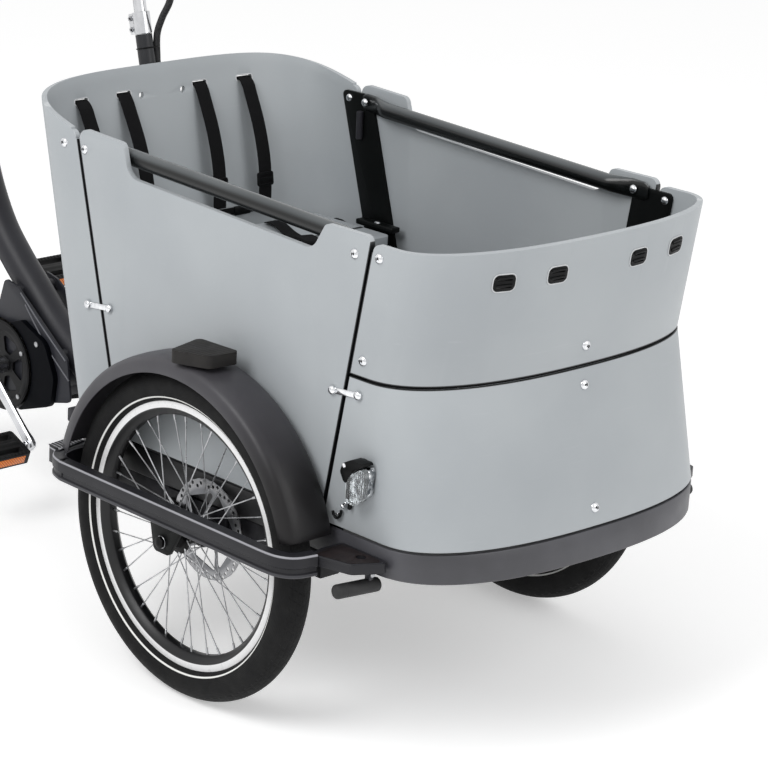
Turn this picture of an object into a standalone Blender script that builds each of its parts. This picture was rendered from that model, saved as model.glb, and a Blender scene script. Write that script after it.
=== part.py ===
"""Cargo tricycle: a front box on two steered wheels, one driven rear wheel and a mid motor.

Units are metres, +Z is up, the front faces -Y and the rider's right hand is at -X.
All pieces are drawn in the axle frame, whose origin is on the floor under the front axle.
One empty then moves the axle frame so that the world origin is under the middle of the
whole tricycle.  The front body turns about the leaning steering axis.
"""
import bpy
import bmesh
from math import asin, atan2, cos, hypot, pi, radians, sin, tan
from mathutils import Matrix, Vector

# Clearances
GAP = 0.0003            # between touching pieces
RUNNING_GAP = 0.0003    # between a bore and its shaft
PANEL_JOINT = 0.005     # open joint between box panels
MID_JOINT = 0.004       # open joint between the two front panels

# Front wheels, 55-406
TRACK = 0.726
FRONT_RADIUS = 0.2596
FRONT_TYRE_TUBE = 0.0275
FRONT_BEAD_SEAT = 0.0049          # how far the tyre's foot sits inside the rim's edge
FRONT_RIM_OUTER = FRONT_RADIUS - 2 * FRONT_TYRE_TUBE + FRONT_BEAD_SEAT
FRONT_RIM_DEPTH = 0.0225
FRONT_RIM_WIDTH = 0.032
FRONT_HUB_HALF = 0.038
FRONT_FLANGE = (0.025, 0.0225)    # radius and distance from the wheel's middle plane
DISC_RADIUS = 0.080
DISC_OFFSET = 0.0365
DISC_THICKNESS = 0.002

# Rear wheel, 47-559
REAR_RADIUS = 0.332
REAR_TYRE_TUBE = 0.0240
REAR_BEAD_SEAT = 0.0025
REAR_RIM_OUTER = REAR_RADIUS - 2 * REAR_TYRE_TUBE + REAR_BEAD_SEAT
REAR_RIM_DEPTH = 0.0240
REAR_RIM_WIDTH = 0.029
REAR_HUB_HALF = 0.0500
REAR_HUB_RADIUS = 0.040
REAR_FLANGE = (0.046, 0.029)
REAR_AXLE_RADIUS = 0.005
CHAINSTAY = REAR_RADIUS + 0.128   # leaves room ahead of the tyre

# Every wheel: sides of the drawn circle (a corner at the lowest point), spokes, casing
WHEEL_SIDES = 24
SPOKES = 36
SPOKE_RADIUS = 0.0010
SPOKE_OFF = 0.0032            # from the flange's middle to the spoke's head
TYRE_WALL = 0.004
AXLE_RADIUS = 0.006

# Box shell, measured at its outside
WHEEL_TO_WALL = 0.0505        # from the front wheel's middle plane to the box's side
BOX_HALF_WIDTH = TRACK / 2 - WHEEL_TO_WALL       # at WALL_Y, WALL_Z
WALL_Y = -0.305
WALL_Z = 0.341
WALL_LEAN = 0.016             # narrower per metre of height
WALL_TAPER = 0.0075           # wider per metre towards the rear
PANEL = 0.009
TRAY_BOTTOM = 0.295
TRAY_TOP = 0.3405
TRAY_WALL = 0.004
FLOOR = 0.010
PANEL_BOTTOM = 0.3445
NOSE_POWER = 2.4
NOSE_FOOT = (TRAY_BOTTOM, -0.344, -0.4930)       # height, where the curve starts, its front
NOSE_LOW = (WALL_Z, -0.356, -0.4875)
NOSE_MID = (0.5775, -0.310, -0.4400)
NOSE_TOP = (0.7785, -0.352, -0.4655)
STERN_POWER = 3.6
STERN_TOP = 0.859
STERN_RISE = 0.044            # from the joint's top to the middle's
STERN_BACK = 0.545            # at the stern's top
STERN_DEPTH = 0.171           # of the curved part
REAR_JOINT = (0.362, 0.815, 0.278)               # y and z of its top, lean
FRONT_JOINT = (-0.307, 0.777, -0.1665)
PANEL_CORNER = 0.013
NOSE_STEPS = 9

# Side panel's top line
REAR_HUMP = 0.820
FRONT_HUMP = 0.787
NOTCH_REAR = (0.232, 0.7655)
NOTCH_FRONT = (-0.187, 0.7437)

# Box frame
RAIL_RADIUS = 0.0135
RAIL_ENDS = ((BOX_HALF_WIDTH - 0.0285, 0.340, 0.7935), (BOX_HALF_WIDTH - 0.033, -0.290, 0.7655))
POST_PLATE = 0.005
POST_LIFT = 0.0025            # the posts end this far above the floor
REAR_POST = (-0.034, 0.036, 0.806)    # edges from the joint line, top
FRONT_POST = (-0.034, 0.042, 0.771)
REAR_POST_SKEW = 0.030        # turns the rear post to meet the curved stern
BENCH_HINGE = (0.365, 0.5795)
BENCH_FRONT = 0.228
BENCH_BEHIND = 0.050
BENCH_HALF = BOX_HALF_WIDTH - 0.0505
BENCH_BOARD = 0.015
BENCH_PIN = 0.004
BENCH_BAR = (0.300, 0.010)    # y and radius

# Harness
STRAP_TOPS = (0.083, 0.178)
STRAP_SPLAY = -0.006
STRAP_WIDTH = 0.028
STRAP_THICKNESS = 0.0016
STRAP_TOP = 0.818
STRAP_LOW = 0.612
STRAP_BOW = 0.020
LAP_OFF = 0.010
CORD_HOLE = (0.045, 0.812, 0.0055)

# Steering
HEAD_LEAN = radians(14.0)
COLUMN_POINT = (0.566, 0.858)     # a point of the steering axis, y and z
COLUMN_RADIUS = 0.0143
COLUMN_WALL = 0.0027
COLUMN_TOP = 0.903
COLUMN_FOOT = 0.030
STEM_RADIUS = 0.0110
STEM_SLEEVE = 0.0150
STEM_SLEEVE_TOP = 0.940
STEM_LOW = 0.820
STEM_TOP = 1.050
HEAD_RADIUS = 0.0240
HEAD_BORE = 0.0175
HEAD_LOW = 0.176
HEAD_HIGH = 0.272
YOKE_PLATE = 0.008
YOKE_HALF = 0.028
KINGPIN_RADIUS = 0.0092
BAR_RADIUS = 0.0110
BAR_CENTRE = (0.600, 1.075)
BAR_BEND = (0.262, 0.660, 1.128)
BAR_END = (0.335, 0.860, 1.112)
GRIP_LENGTH = 0.128
GRIP_RADIUS = 0.0155
SHIFTER_LENGTH = 0.042
LEVER_OFFSET = 0.050
LEVER_LENGTH = 0.095

# Drive
BB = (0.887, 0.249)
CRANK_LENGTH = 0.170
CRANK_ANGLE = radians(41.0)       # right arm, below the level ahead
CRANK_ARM = (0.085, 0.097)        # inner and outer face
SPINDLE_RADIUS = 0.0090
CHAIN_LINE = 0.052
CHAIN_HALF = 0.0028
CHAINRING_RADIUS = 0.0765
GUARD_RING = (0.084, 0.060, 0.063)
SPROCKET_RADIUS = 0.0385
PEDAL = (0.090, 0.066, 0.026)     # across, along, thick
PEDAL_START = 0.114
PEDAL_WINDOW = (0.0115, 0.0245)   # each open part lies so far from the spindle
PEDAL_END = 0.011                 # solid at each end of the windows
PEDAL_TILT = radians(22.0)        # they hang with their front edge down
PEDAL_AXLE = 0.0050
MOTOR_HALF = 0.0427
MOTOR_RADIUS = 0.070
MOTOR_LOBE = (0.792, 0.250, 0.030)
BRACKET_PLATE = (0.0430, 0.0475)   # inner and outer face

# Frame
BEAM_RADIUS = 0.0300
BEAM_PATH = ((0.425, 0.2315), (0.56, 0.238), (0.66, 0.258), (0.74, 0.297), (0.80, 0.333),
             (0.86, 0.381), (0.92, 0.430), (0.975, 0.485), (1.02, 0.56), (1.046, 0.635),
             (1.058, 0.685))
SEAT_SLEEVE = 0.0175
POST_RADIUS = 0.0136
SEAT_LOW = (1.0450, 0.640)
SEAT_HIGH = (1.0885, 0.790)
SEAT_SLOPE = (SEAT_HIGH[0] - SEAT_LOW[0]) / (SEAT_HIGH[1] - SEAT_LOW[1])
POST_FOOT = 0.645
POST_HEAD = 0.926
STAY_RADIUS = 0.0095
DROPOUT = (0.067, 0.073)
BRIDGE_RADIUS = 0.0055            # the tube between the stays, on the fender
STOP_BAR = (0.630, 0.2275, 0.0125, 0.100)         # y, z, half height, half length

# Saddle
SADDLE_NOSE = 1.020
SADDLE_BACK = 1.290
SADDLE_HALF = 0.100
SADDLE_BASE = 0.945
SADDLE_SHELL = 0.006
SADDLE_TOP = 1.002

# Front chassis and wheel guards
BEAM_OUTER = BOX_HALF_WIDTH - 0.0025
BEAM_INNER = BEAM_OUTER - 0.040
BEAM_ENDS = (-0.235, 0.330)
CROSS_BEAMS = (-0.210, 0.0)
CHASSIS_LOW = 0.2497
CHASSIS_HIGH = TRAY_BOTTOM - GAP
DROP_PLATE = 0.006
GUARD_X = TRACK / 2 + 0.066
GUARD_HALF = 0.011
GUARD_LOW = FRONT_RADIUS + 0.0354
GUARD_HIGH = GUARD_LOW + 0.0335
GUARD_REAR = 0.2735           # its rear run, behind the wheel
STEP_TREAD = (GUARD_LOW + 0.008, GUARD_LOW + 0.037)       # faces of the step at its rear
OUTRIGGER = (GUARD_REAR - 0.0095, GUARD_REAR + 0.0135)
AXLE_BRACKET = (GUARD_X - GUARD_HALF - 0.0045, GUARD_X - GUARD_HALF + 0.0015)
FRONT_BRACKET = (GUARD_LOW + 0.0145, GUARD_LOW + 0.0295)  # its low and high face
PEG = ((BOX_HALF_WIDTH + 0.0687, -0.340), (BOX_HALF_WIDTH - 0.007, -0.352), GUARD_LOW - 0.0145,
       0.0110)
FENDER_HALF = 0.045
FENDER_WALL = 0.0025
FENDER_RADIUS = FRONT_RADIUS + 0.0246
FENDER_SKIRT = 0.026           # how far its sides reach in
FENDER_START = asin((GUARD_HIGH + GAP - FRONT_RADIUS) /
                    (FENDER_RADIUS - FENDER_SKIRT - FENDER_WALL))
STEP_PAD = 0.020
REAR_FENDER_GAP = 0.016
REAR_FENDER_WALL = 0.002
REAR_FENDER_HALF = 0.033

# Luggage carrier
DECK = 2 * REAR_RADIUS + 0.106    # over the tyre, its fender and the battery
DECK_HALF = 0.060
DECK_FRONT = SEAT_LOW[0] + (DECK - SEAT_LOW[1]) * SEAT_SLOPE + 0.0273
DECK_BACK = DECK_FRONT + 0.450
DECK_RADIUS = 0.0055
BATTERY = (0.055, DECK_FRONT + 0.030, DECK_BACK - 0.060, DECK - 0.0735, DECK - 0.0095)

AXLE_BACK = BB[0] + (CHAINSTAY ** 2 - (REAR_RADIUS - BB[1]) ** 2) ** 0.5
REAR_EDGE = AXLE_BACK + REAR_RADIUS + REAR_FENDER_GAP + REAR_FENDER_WALL
AXLE_Y = -(NOSE_FOOT[2] + REAR_EDGE) / 2.0
WELD = 0.00001
FLAT = radians(0.05)              # faces this close to one plane are joined after a Boolean

COLOURS = {
    "panel": ((0.39, 0.42, 0.44), 0.45, 0.0),
    "anthracite": ((0.055, 0.055, 0.06), 0.45, 0.2),
    "black_metal": ((0.012, 0.012, 0.013), 0.4, 0.3),
    "black_plastic": ((0.015, 0.015, 0.015), 0.55, 0.0),
    "rubber": ((0.012, 0.012, 0.012), 0.8, 0.0),
    "steel": ((0.62, 0.62, 0.63), 0.25, 1.0),
    "aluminium": ((0.70, 0.71, 0.72), 0.35, 1.0),
    "webbing": ((0.01, 0.01, 0.011), 0.85, 0.0),
    "lens": ((0.85, 0.88, 0.90), 0.08, 0.0),
    "red_lens": ((0.55, 0.02, 0.02), 0.2, 0.0),
    "saddle": ((0.02, 0.02, 0.02), 0.6, 0.0),
}

for old in list(bpy.data.objects):
    bpy.data.objects.remove(old, do_unlink=True)

parts = bpy.data.collections.new("cargo_tricycle")
bpy.context.scene.collection.children.link(parts)
workshop = bpy.data.collections.new("workshop")
bpy.context.scene.collection.children.link(workshop)


# Empties: the axle frame and one for each moving body

def empty(name, parent, point, turn=None):
    """An empty at a point of the axle frame, turned by a matrix if one is given."""
    obj = bpy.data.objects.new(name, None)
    obj.empty_display_size = 0.05
    workshop.objects.link(obj)
    place = Matrix.Translation(point) @ (turn if turn else Matrix.Identity(4))
    if parent is None:
        obj.matrix_world = Matrix.Translation((0.0, AXLE_Y, 0.0))
    else:
        obj.parent = parent
        obj.matrix_basis = PLACES[parent.name].inverted() @ place
    PLACES[name] = place if parent else Matrix.Identity(4)
    return obj


def column_y(z):
    """The steering axis at height z."""
    return COLUMN_POINT[0] - (COLUMN_POINT[1] - z) * tan(HEAD_LEAN)


PLACES = {}
axle_frame = empty("axle_frame", None, (0.0, 0.0, 0.0))
steer_turn = Matrix.Rotation(-HEAD_LEAN, 4, "X")
crank_point = (0.0, BB[0], BB[1])
front = empty("front_axis", axle_frame, (0.0, column_y(HEAD_HIGH), HEAD_HIGH), steer_turn)
wheel_axes = {
    -1: empty("front_wheel_axis_right", front, (-TRACK / 2, 0.0, FRONT_RADIUS)),
    1: empty("front_wheel_axis_left", front, (TRACK / 2, 0.0, FRONT_RADIUS)),
}
rear_wheel = empty("rear_wheel_axis", axle_frame, (0.0, AXLE_BACK, REAR_RADIUS))
sprocket_axis = empty("sprocket_axis", axle_frame, (-CHAIN_LINE, AXLE_BACK, REAR_RADIUS))
crank = empty("crank_axis", axle_frame, crank_point)
bench_axis = empty("bench_axis", front, (0.0, *BENCH_HINGE))


def finish(obj, name, colour, parent):
    """Name a finished solid, give it its material and hang it under its body's empty."""
    rgb, rough, metal = COLOURS[colour]
    mat = bpy.data.materials.new(name)
    mat.use_nodes = True
    shader = mat.node_tree.nodes["Principled BSDF"]
    shader.inputs["Base Color"].default_value = (*rgb, 1.0)
    shader.inputs["Roughness"].default_value = rough
    shader.inputs["Metallic"].default_value = metal
    mat.diffuse_color = (*rgb, 1.0)
    obj.name = name
    obj.data.name = name
    obj.data.materials.clear()
    obj.data.materials.append(mat)
    obj.data.shade_smooth()
    obj.data.set_sharp_from_angle(angle=radians(35.0))
    workshop.objects.unlink(obj)
    parts.objects.link(obj)
    obj.parent = parent
    obj.matrix_parent_inverse = PLACES[parent.name].inverted()
    return obj


# Builders: each returns one closed mesh object drawn in the axle frame

def new_object(name, data):
    obj = bpy.data.objects.new(name, data)
    workshop.objects.link(obj)
    return obj


def realise(obj):
    """Apply curve data and modifiers, weld the caps and point the faces outwards."""
    bpy.context.view_layer.update()
    shape = obj.evaluated_get(bpy.context.evaluated_depsgraph_get())
    mesh = bpy.data.meshes.new_from_object(shape)
    mesh.transform(obj.matrix_world)
    bm = bmesh.new()
    bm.from_mesh(mesh)
    bmesh.ops.remove_doubles(bm, verts=bm.verts, dist=WELD)
    bmesh.ops.recalc_face_normals(bm, faces=bm.faces)
    bm.to_mesh(mesh)
    bm.free()
    solid = new_object(obj.name, mesh)
    bpy.data.objects.remove(obj, do_unlink=True)
    return solid


def bevelled(obj, width, segments=1, angle=30.0):
    """Round the sharp edges of a solid."""
    mod = obj.modifiers.new("Bevel", "BEVEL")
    mod.width = width
    mod.segments = segments
    mod.limit_method = "ANGLE"
    mod.angle_limit = radians(angle)
    return realise(obj)


def block(low, high, bevel=0.0, turn=None, segments=1):
    """A box between two corners, turned about its centre by a matrix if one is given."""
    low, high = Vector(low), Vector(high)
    bm = bmesh.new()
    bmesh.ops.create_cube(bm, size=1.0)
    size = Matrix.Diagonal((*(high - low), 1.0))
    bmesh.ops.transform(bm, matrix=size, verts=bm.verts)
    mesh = bpy.data.meshes.new("block")
    bm.to_mesh(mesh)
    bm.free()
    obj = new_object("block", mesh)
    if bevel:
        obj = bevelled(obj, bevel, segments)
    obj.data.transform(Matrix.Translation((low + high) / 2) @ (turn if turn else Matrix.Identity(4)))
    return obj


def rod(start, end, radius, sides=12, end_radius=None):
    """A straight round bar, or a cone, between two points."""
    start, end = Vector(start), Vector(end)
    bm = bmesh.new()
    bmesh.ops.create_cone(
        bm, cap_ends=True, segments=sides, radius1=radius,
        radius2=radius if end_radius is None else end_radius, depth=(end - start).length)
    aim = (end - start).to_track_quat("Z", "Y").to_matrix().to_4x4()
    bmesh.ops.transform(bm, matrix=Matrix.Translation((start + end) / 2) @ aim, verts=bm.verts)
    mesh = bpy.data.meshes.new("rod")
    bm.to_mesh(mesh)
    bm.free()
    return new_object("rod", mesh)


def smooth_path(points, steps):
    """Points along a smooth curve through the given points, a few steps for each span."""
    pts = [Vector(p) for p in points]
    pts = [2 * pts[0] - pts[1]] + pts + [2 * pts[-1] - pts[-2]]
    path = []
    for i in range(1, len(pts) - 2):
        for k in range(steps):
            t = k / steps
            a, b, c, d = pts[i - 1:i + 3]
            path.append(0.5 * (2 * b + (c - a) * t + (2 * a - 5 * b + 4 * c - d) * t ** 2
                               + (3 * b - a - 3 * c + d) * t ** 3))
    path.append(pts[-2])
    return path


def curve_object(name, points, cyclic=False, flat=False):
    data = bpy.data.curves.new(name, "CURVE")
    data.dimensions = "2D" if flat else "3D"
    loops = points if flat else [points]
    for loop in loops:
        spline = data.splines.new("POLY")
        spline.points.add(len(loop) - 1)
        for slot, p in zip(spline.points, loop):
            slot.co = (*p, 0.0, 1.0) if flat else (*p, 1.0)
        spline.use_cyclic_u = cyclic or flat
    return new_object(name, data)


def tube(points, radius, sides=2, cyclic=False):
    """A round tube along a path; sides 0, 1, 2, 4 give 4, 6, 8 or 12 flats."""
    obj = curve_object("tube", points, cyclic)
    obj.data.bevel_depth = radius
    obj.data.bevel_resolution = sides
    obj.data.use_fill_caps = not cyclic
    return realise(obj)


def swept(points, section):
    """A bar of any flat section along a path that keeps its section upright."""
    profile = curve_object("section", [section], flat=True)
    obj = curve_object("swept", points)
    obj.data.twist_mode = "Z_UP"
    obj.data.bevel_mode = "OBJECT"
    obj.data.bevel_object = profile
    obj.data.use_fill_caps = True
    solid = realise(obj)
    bpy.data.objects.remove(profile, do_unlink=True)
    return solid


def plate(loops, low, high, axis="X", bevel=0.0):
    """A flat outline with its holes, given thickness between two places on an axis."""
    obj = curve_object("plate", loops, flat=True)
    obj.data.fill_mode = "BOTH"
    obj.data.extrude = (high - low) / 2
    middle = (high + low) / 2
    # the outline's two coordinates are y and z for X, x and z for Y, x and y for Z
    frames = {
        "X": Matrix(((0, 0, 1, middle), (1, 0, 0, 0), (0, 1, 0, 0), (0, 0, 0, 1))),
        "Y": Matrix(((1, 0, 0, 0), (0, 0, -1, middle), (0, 1, 0, 0), (0, 0, 0, 1))),
        "Z": Matrix.Translation((0, 0, middle)),
    }
    obj.matrix_world = frames[axis]
    solid = realise(obj)
    return bevelled(solid, bevel) if bevel else solid


def turned(profile, centre, sides, axis="X", turn=None):
    """A ring or a turned solid from points of radius and place along its axis.

    A profile that starts and ends on the axis makes a solid; any other is closed to a ring.
    """
    on_axis = profile[0][0] == 0.0 and profile[-1][0] == 0.0
    mesh = bpy.data.meshes.new("turned")
    edges = [(i, i + 1) for i in range(len(profile) - 1)]
    if not on_axis:
        edges.append((len(profile) - 1, 0))
    mesh.from_pydata([(r, 0.0, h) for r, h in profile], edges, [])
    obj = new_object("turned", mesh)
    mod = obj.modifiers.new("Screw", "SCREW")
    mod.steps = sides
    mod.render_steps = sides
    mod.use_merge_vertices = True
    mod.merge_threshold = 0.00001
    aims = {"X": Matrix.Rotation(pi / 2, 4, "Y"), "Y": Matrix.Rotation(-pi / 2, 4, "X"),
            "Z": Matrix.Identity(4)}
    obj.matrix_world = Matrix.Translation(centre) @ (turn if turn else aims[axis])
    return realise(obj)


def skin(rows, thickness, offset=-1.0):
    """A curved sheet from rows of points, thickened behind its face or, with 0, both ways."""
    count = len(rows[0])
    verts = [p for row in rows for p in row]
    faces = [(i * count + j, i * count + j + 1, (i + 1) * count + j + 1, (i + 1) * count + j)
             for i in range(len(rows) - 1) for j in range(count - 1)]
    mesh = bpy.data.meshes.new("skin")
    mesh.from_pydata(verts, [], faces)
    obj = new_object("skin", mesh)
    mod = obj.modifiers.new("Solidify", "SOLIDIFY")
    mod.thickness = thickness
    mod.offset = offset
    mod.use_even_offset = True
    return realise(obj)


def combine(first, others, operation):
    for other in others:
        mod = first.modifiers.new("Boolean", "BOOLEAN")
        mod.operation = operation
        mod.solver = "EXACT"
        mod.object = other
        first = realise(first)
        bpy.data.objects.remove(other, do_unlink=True)
    bm = bmesh.new()
    bm.from_mesh(first.data)
    bmesh.ops.dissolve_limit(bm, angle_limit=FLAT, verts=bm.verts, edges=bm.edges)
    bm.to_mesh(first.data)
    bm.free()
    return first


def moved(solid, matrix):
    """A solid carried by a matrix, which may mirror it."""
    solid.data.transform(matrix)
    if matrix.determinant() < 0:
        solid.data.flip_normals()
    return solid


def mirror(side):
    """Keeps the left side for 1 and mirrors it to the right for -1."""
    return Matrix.Diagonal((side, 1, 1, 1))


def loft(rings):
    """A closed solid through rings of points, with flat ends."""
    count = len(rings[0])
    verts = [p for ring in rings for p in ring]
    faces = [(i * count + j, i * count + (j + 1) % count,
              (i + 1) * count + (j + 1) % count, (i + 1) * count + j)
             for i in range(len(rings) - 1) for j in range(count)]
    faces.append(tuple(range(count)))
    faces.append(tuple(range(len(verts) - count, len(verts))))
    mesh = bpy.data.meshes.new("loft")
    mesh.from_pydata(verts, [], faces)
    return realise(new_object("loft", mesh))


def fuse(solids):
    """One solid from several that overlap."""
    return combine(solids[0], solids[1:], "UNION")


def cut(solid, tools):
    return combine(solid, tools, "DIFFERENCE")


def group(solids):
    """Several separate solids in one object."""
    bm = bmesh.new()
    for solid in solids:
        bm.from_mesh(solid.data)
        bpy.data.objects.remove(solid, do_unlink=True)
    mesh = bpy.data.meshes.new("group")
    bm.to_mesh(mesh)
    bm.free()
    return new_object("group", mesh)


def rounded(corners, steps=3):
    """A closed outline from corners of two coordinates and a rounding radius each."""
    outline = []
    count = len(corners)
    for i, (x, y, radius) in enumerate(corners):
        here = Vector((x, y))
        back = (Vector(corners[i - 1][:2]) - here).normalized()
        ahead = (Vector(corners[(i + 1) % count][:2]) - here).normalized()
        if radius == 0.0:
            outline.append((x, y))
            continue
        half = back.angle(ahead) / 2
        reach = radius / tan(half)
        middle = here + (back + ahead).normalized() * (radius / sin(half))
        first = here + back * reach - middle
        last = here + ahead * reach - middle
        start = atan2(first.y, first.x)
        sweep = atan2(first.x * last.y - first.y * last.x, first.dot(last))
        for k in range(steps + 1):
            angle = start + sweep * k / steps
            outline.append((middle.x + radius * cos(angle), middle.y + radius * sin(angle)))
    return outline


def circle(x, y, radius, sides, start=0.0):
    return [(x + radius * cos(start + 2 * pi * k / sides),
             y + radius * sin(start + 2 * pi * k / sides)) for k in range(sides)]


def clear(radius, sides):
    """The corner radius of a bore with this many sides that turns freely on a round shaft."""
    return (radius + RUNNING_GAP) / cos(pi / sides)


# Wheels

def tyre_section(outer, tube_radius, rim_outer, rim_width):
    """The casing of an open tyre: sides and a flat tread, two beads and an inner arc."""
    core = outer - tube_radius
    bead = rim_outer + GAP
    shoulder = bead + 0.0018
    toe = rim_width / 2 - 0.001
    start = asin((shoulder - core) / tube_radius)
    arc = [start + (pi - 2 * start) * k / 5 for k in range(6)]
    section = [(bead, toe)]
    section += [(core + tube_radius * (sin(a) if sin(a) < 0.5 else 1.0), tube_radius * cos(a))
                for a in arc]
    inner = tube_radius - TYRE_WALL
    rest = asin((shoulder - core) / inner)
    hollow = [pi - rest - (pi - 2 * rest) * k / 3 for k in range(4)]
    section += [(bead, -toe), (bead, -toe + TYRE_WALL)]
    section += [(core + inner * sin(a), inner * cos(a)) for a in hollow]
    section += [(bead, toe - TYRE_WALL)]
    return section


def spokes(x, y, height, flange, rim_inner):
    """Laced spokes: each flange sends pairs forward and back from its two faces."""
    rods = []
    reach = 2 * pi / SPOKES * 5.0
    for k in range(SPOKES):
        side = 1 if k % 2 else -1
        forward = 1 if (k // 2) % 2 else -1
        at_rim = 2 * pi * (k + 0.5) / SPOKES
        at_hub = at_rim - forward * reach
        hub_r = flange[0] - 0.0015
        start = (x + side * (flange[1] + SPOKE_OFF * forward),
                 y + hub_r * cos(at_hub), height + hub_r * sin(at_hub))
        end = (x + side * (0.002 + 0.001 * forward),
               y + rim_inner * cos(at_rim), height + rim_inner * sin(at_rim))
        rods.append(rod(start, end, SPOKE_RADIUS, sides=3))
    return group(rods)


def wheel(name, x, y, outer, tube_radius, rim_outer, depth, width, flange, parent):
    """The tyre's casing, and the rim with its spokes."""
    centre = (x, y, outer)
    casing = turned(tyre_section(outer, tube_radius, rim_outer, width), centre, WHEEL_SIDES)
    finish(casing, "tyre_" + name, "rubber", parent)
    inner = rim_outer - depth
    band = rim_outer - 0.012
    half = width / 2
    ring = turned([(rim_outer, half), (band, half), (inner, half * 0.45),
                   (inner, -half * 0.45), (band, -half), (rim_outer, -half)],
                  centre, WHEEL_SIDES)
    wires = spokes(x, y, outer, flange, inner + 0.0055)
    finish(fuse([ring, wires]), "rim_" + name, "aluminium", parent)


def front_hub(side, name):
    """Hub shell with two flanges, and the brake disc on its inner end."""
    x = side * TRACK / 2
    bore = clear(AXLE_RADIUS, 12)
    half = FRONT_HUB_HALF
    radius, flange = FRONT_FLANGE
    shell = turned([(bore, half), (0.0125, half), (0.0160, flange + 0.0035),
                    (radius, flange + 0.0015), (radius, flange - 0.0015),
                    (0.0155, flange - 0.004), (0.0155, 0.004 - flange),
                    (radius, 0.0015 - flange), (radius, -flange - 0.0015),
                    (0.0160, -flange - 0.0035), (0.0125, -half), (bore, -half)],
                   (x, 0.0, FRONT_RADIUS), 12)
    windows = []
    arms = 5
    for k in range(arms):
        a = 2 * pi * k / arms
        windows.append([(r * cos(a + t), FRONT_RADIUS + r * sin(a + t)) for r, t in (
            (0.028, 0.20), (0.028, 1.00), (0.059, 1.65), (0.059, 0.75))])
    disc_x = x - side * DISC_OFFSET
    disc = plate([circle(0.0, FRONT_RADIUS, DISC_RADIUS, 20),
                  circle(0.0, FRONT_RADIUS, 0.0100, 6)] + windows,
                 disc_x - DISC_THICKNESS / 2, disc_x + DISC_THICKNESS / 2)
    finish(fuse([shell, disc]), name, "aluminium", wheel_axes[side])


def front_axle(side, name):
    """The axle bolt, screwed into the side beam and held by a nut outside the bracket."""
    inner = BEAM_OUTER + DROP_PLATE + GAP
    hub_inner = TRACK / 2 - FRONT_HUB_HALF - GAP
    hub_outer = TRACK / 2 + FRONT_HUB_HALF + GAP
    bracket = AXLE_BRACKET[0] - GAP
    outer = AXLE_BRACKET[1] + GAP
    profile = [(0.0, outer + 0.009), (AXLE_RADIUS, outer + 0.009), (AXLE_RADIUS, outer + 0.007),
               (0.0105, outer + 0.006), (0.0105, outer), (AXLE_RADIUS, outer),
               (AXLE_RADIUS, bracket), (0.0095, bracket), (0.0095, hub_outer),
               (AXLE_RADIUS, hub_outer), (AXLE_RADIUS, hub_inner), (0.0095, hub_inner),
               (0.0095, inner), (AXLE_RADIUS, inner), (AXLE_RADIUS, inner - 0.016),
               (0.0, inner - 0.016)]
    solid = turned([(r, side * h) for r, h in profile], (0.0, 0.0, FRONT_RADIUS), 10)
    finish(solid, name, "steel", front)


def caliper(side, name):
    """The brake caliper, a block that straddles the disc behind the axle."""
    plane = TRACK / 2 - DISC_OFFSET
    low, high = BEAM_OUTER + DROP_PLATE + GAP, plane + 0.0105
    y = DISC_RADIUS * 0.92
    body = block((low, y - 0.019, FRONT_RADIUS - 0.024), (high, y + 0.024, FRONT_RADIUS + 0.024),
                 bevel=0.004)
    slot = block((plane - 0.0022, y - 0.05, FRONT_RADIUS - 0.05),
                 (plane + 0.0022, DISC_RADIUS + 0.003, FRONT_RADIUS + 0.05))
    finish(moved(cut(body, [slot]), mirror(side)), name, "black_metal", front)


for side, label in ((-1, "right"), (1, "left")):
    wheel("front_" + label, side * TRACK / 2, 0.0, FRONT_RADIUS, FRONT_TYRE_TUBE,
          FRONT_RIM_OUTER, FRONT_RIM_DEPTH, FRONT_RIM_WIDTH, FRONT_FLANGE, wheel_axes[side])
    front_hub(side, "hub_front_" + label)
    front_axle(side, "front_axle_" + label)
    caliper(side, "brake_caliper_" + label)

wheel("rear", 0.0, AXLE_BACK, REAR_RADIUS, REAR_TYRE_TUBE, REAR_RIM_OUTER, REAR_RIM_DEPTH,
      REAR_RIM_WIDTH, REAR_FLANGE, rear_wheel)


def rear_hub():
    bore = REAR_AXLE_RADIUS + RUNNING_GAP
    radius, flange = REAR_FLANGE
    half = REAR_HUB_HALF - GAP
    shell = turned([(bore, half), (0.030, half), (0.036, flange + 0.004),
                    (radius, flange + 0.0015), (radius, flange - 0.0015),
                    (REAR_HUB_RADIUS, flange - 0.004), (REAR_HUB_RADIUS, 0.004 - flange),
                    (radius, 0.0015 - flange), (radius, -flange - 0.0015),
                    (0.036, -flange - 0.004), (0.024, -half), (bore, -half)],
                   (0.0, AXLE_BACK, REAR_RADIUS), 14)
    finish(shell, "hub_rear", "aluminium", rear_wheel)


def rear_axle():
    """The fixed axle with its nuts and, on the left, the roller brake's drum."""
    r = REAR_AXLE_RADIUS
    drum = (REAR_HUB_HALF + GAP, DROPOUT[0] - GAP)
    nut = DROPOUT[1] + 0.0055 + GAP
    profile = [(0.0, nut + 0.010), (r, nut + 0.010), (r, nut + 0.007), (0.009, nut + 0.007),
               (0.009, nut), (r, nut), (r, drum[1]), (0.010, drum[1]), (0.010, drum[0] + 0.0055),
               (0.043, drum[0] + 0.0045), (0.043, drum[0]), (r, drum[0]), (r, -nut),
               (0.009, -nut), (0.009, -nut - 0.007), (r, -nut - 0.007), (r, -nut - 0.010),
               (0.0, -nut - 0.010)]
    solid = turned(profile, (0.0, AXLE_BACK, REAR_RADIUS), 8)
    finish(solid, "rear_axle", "steel", axle_frame)


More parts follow.
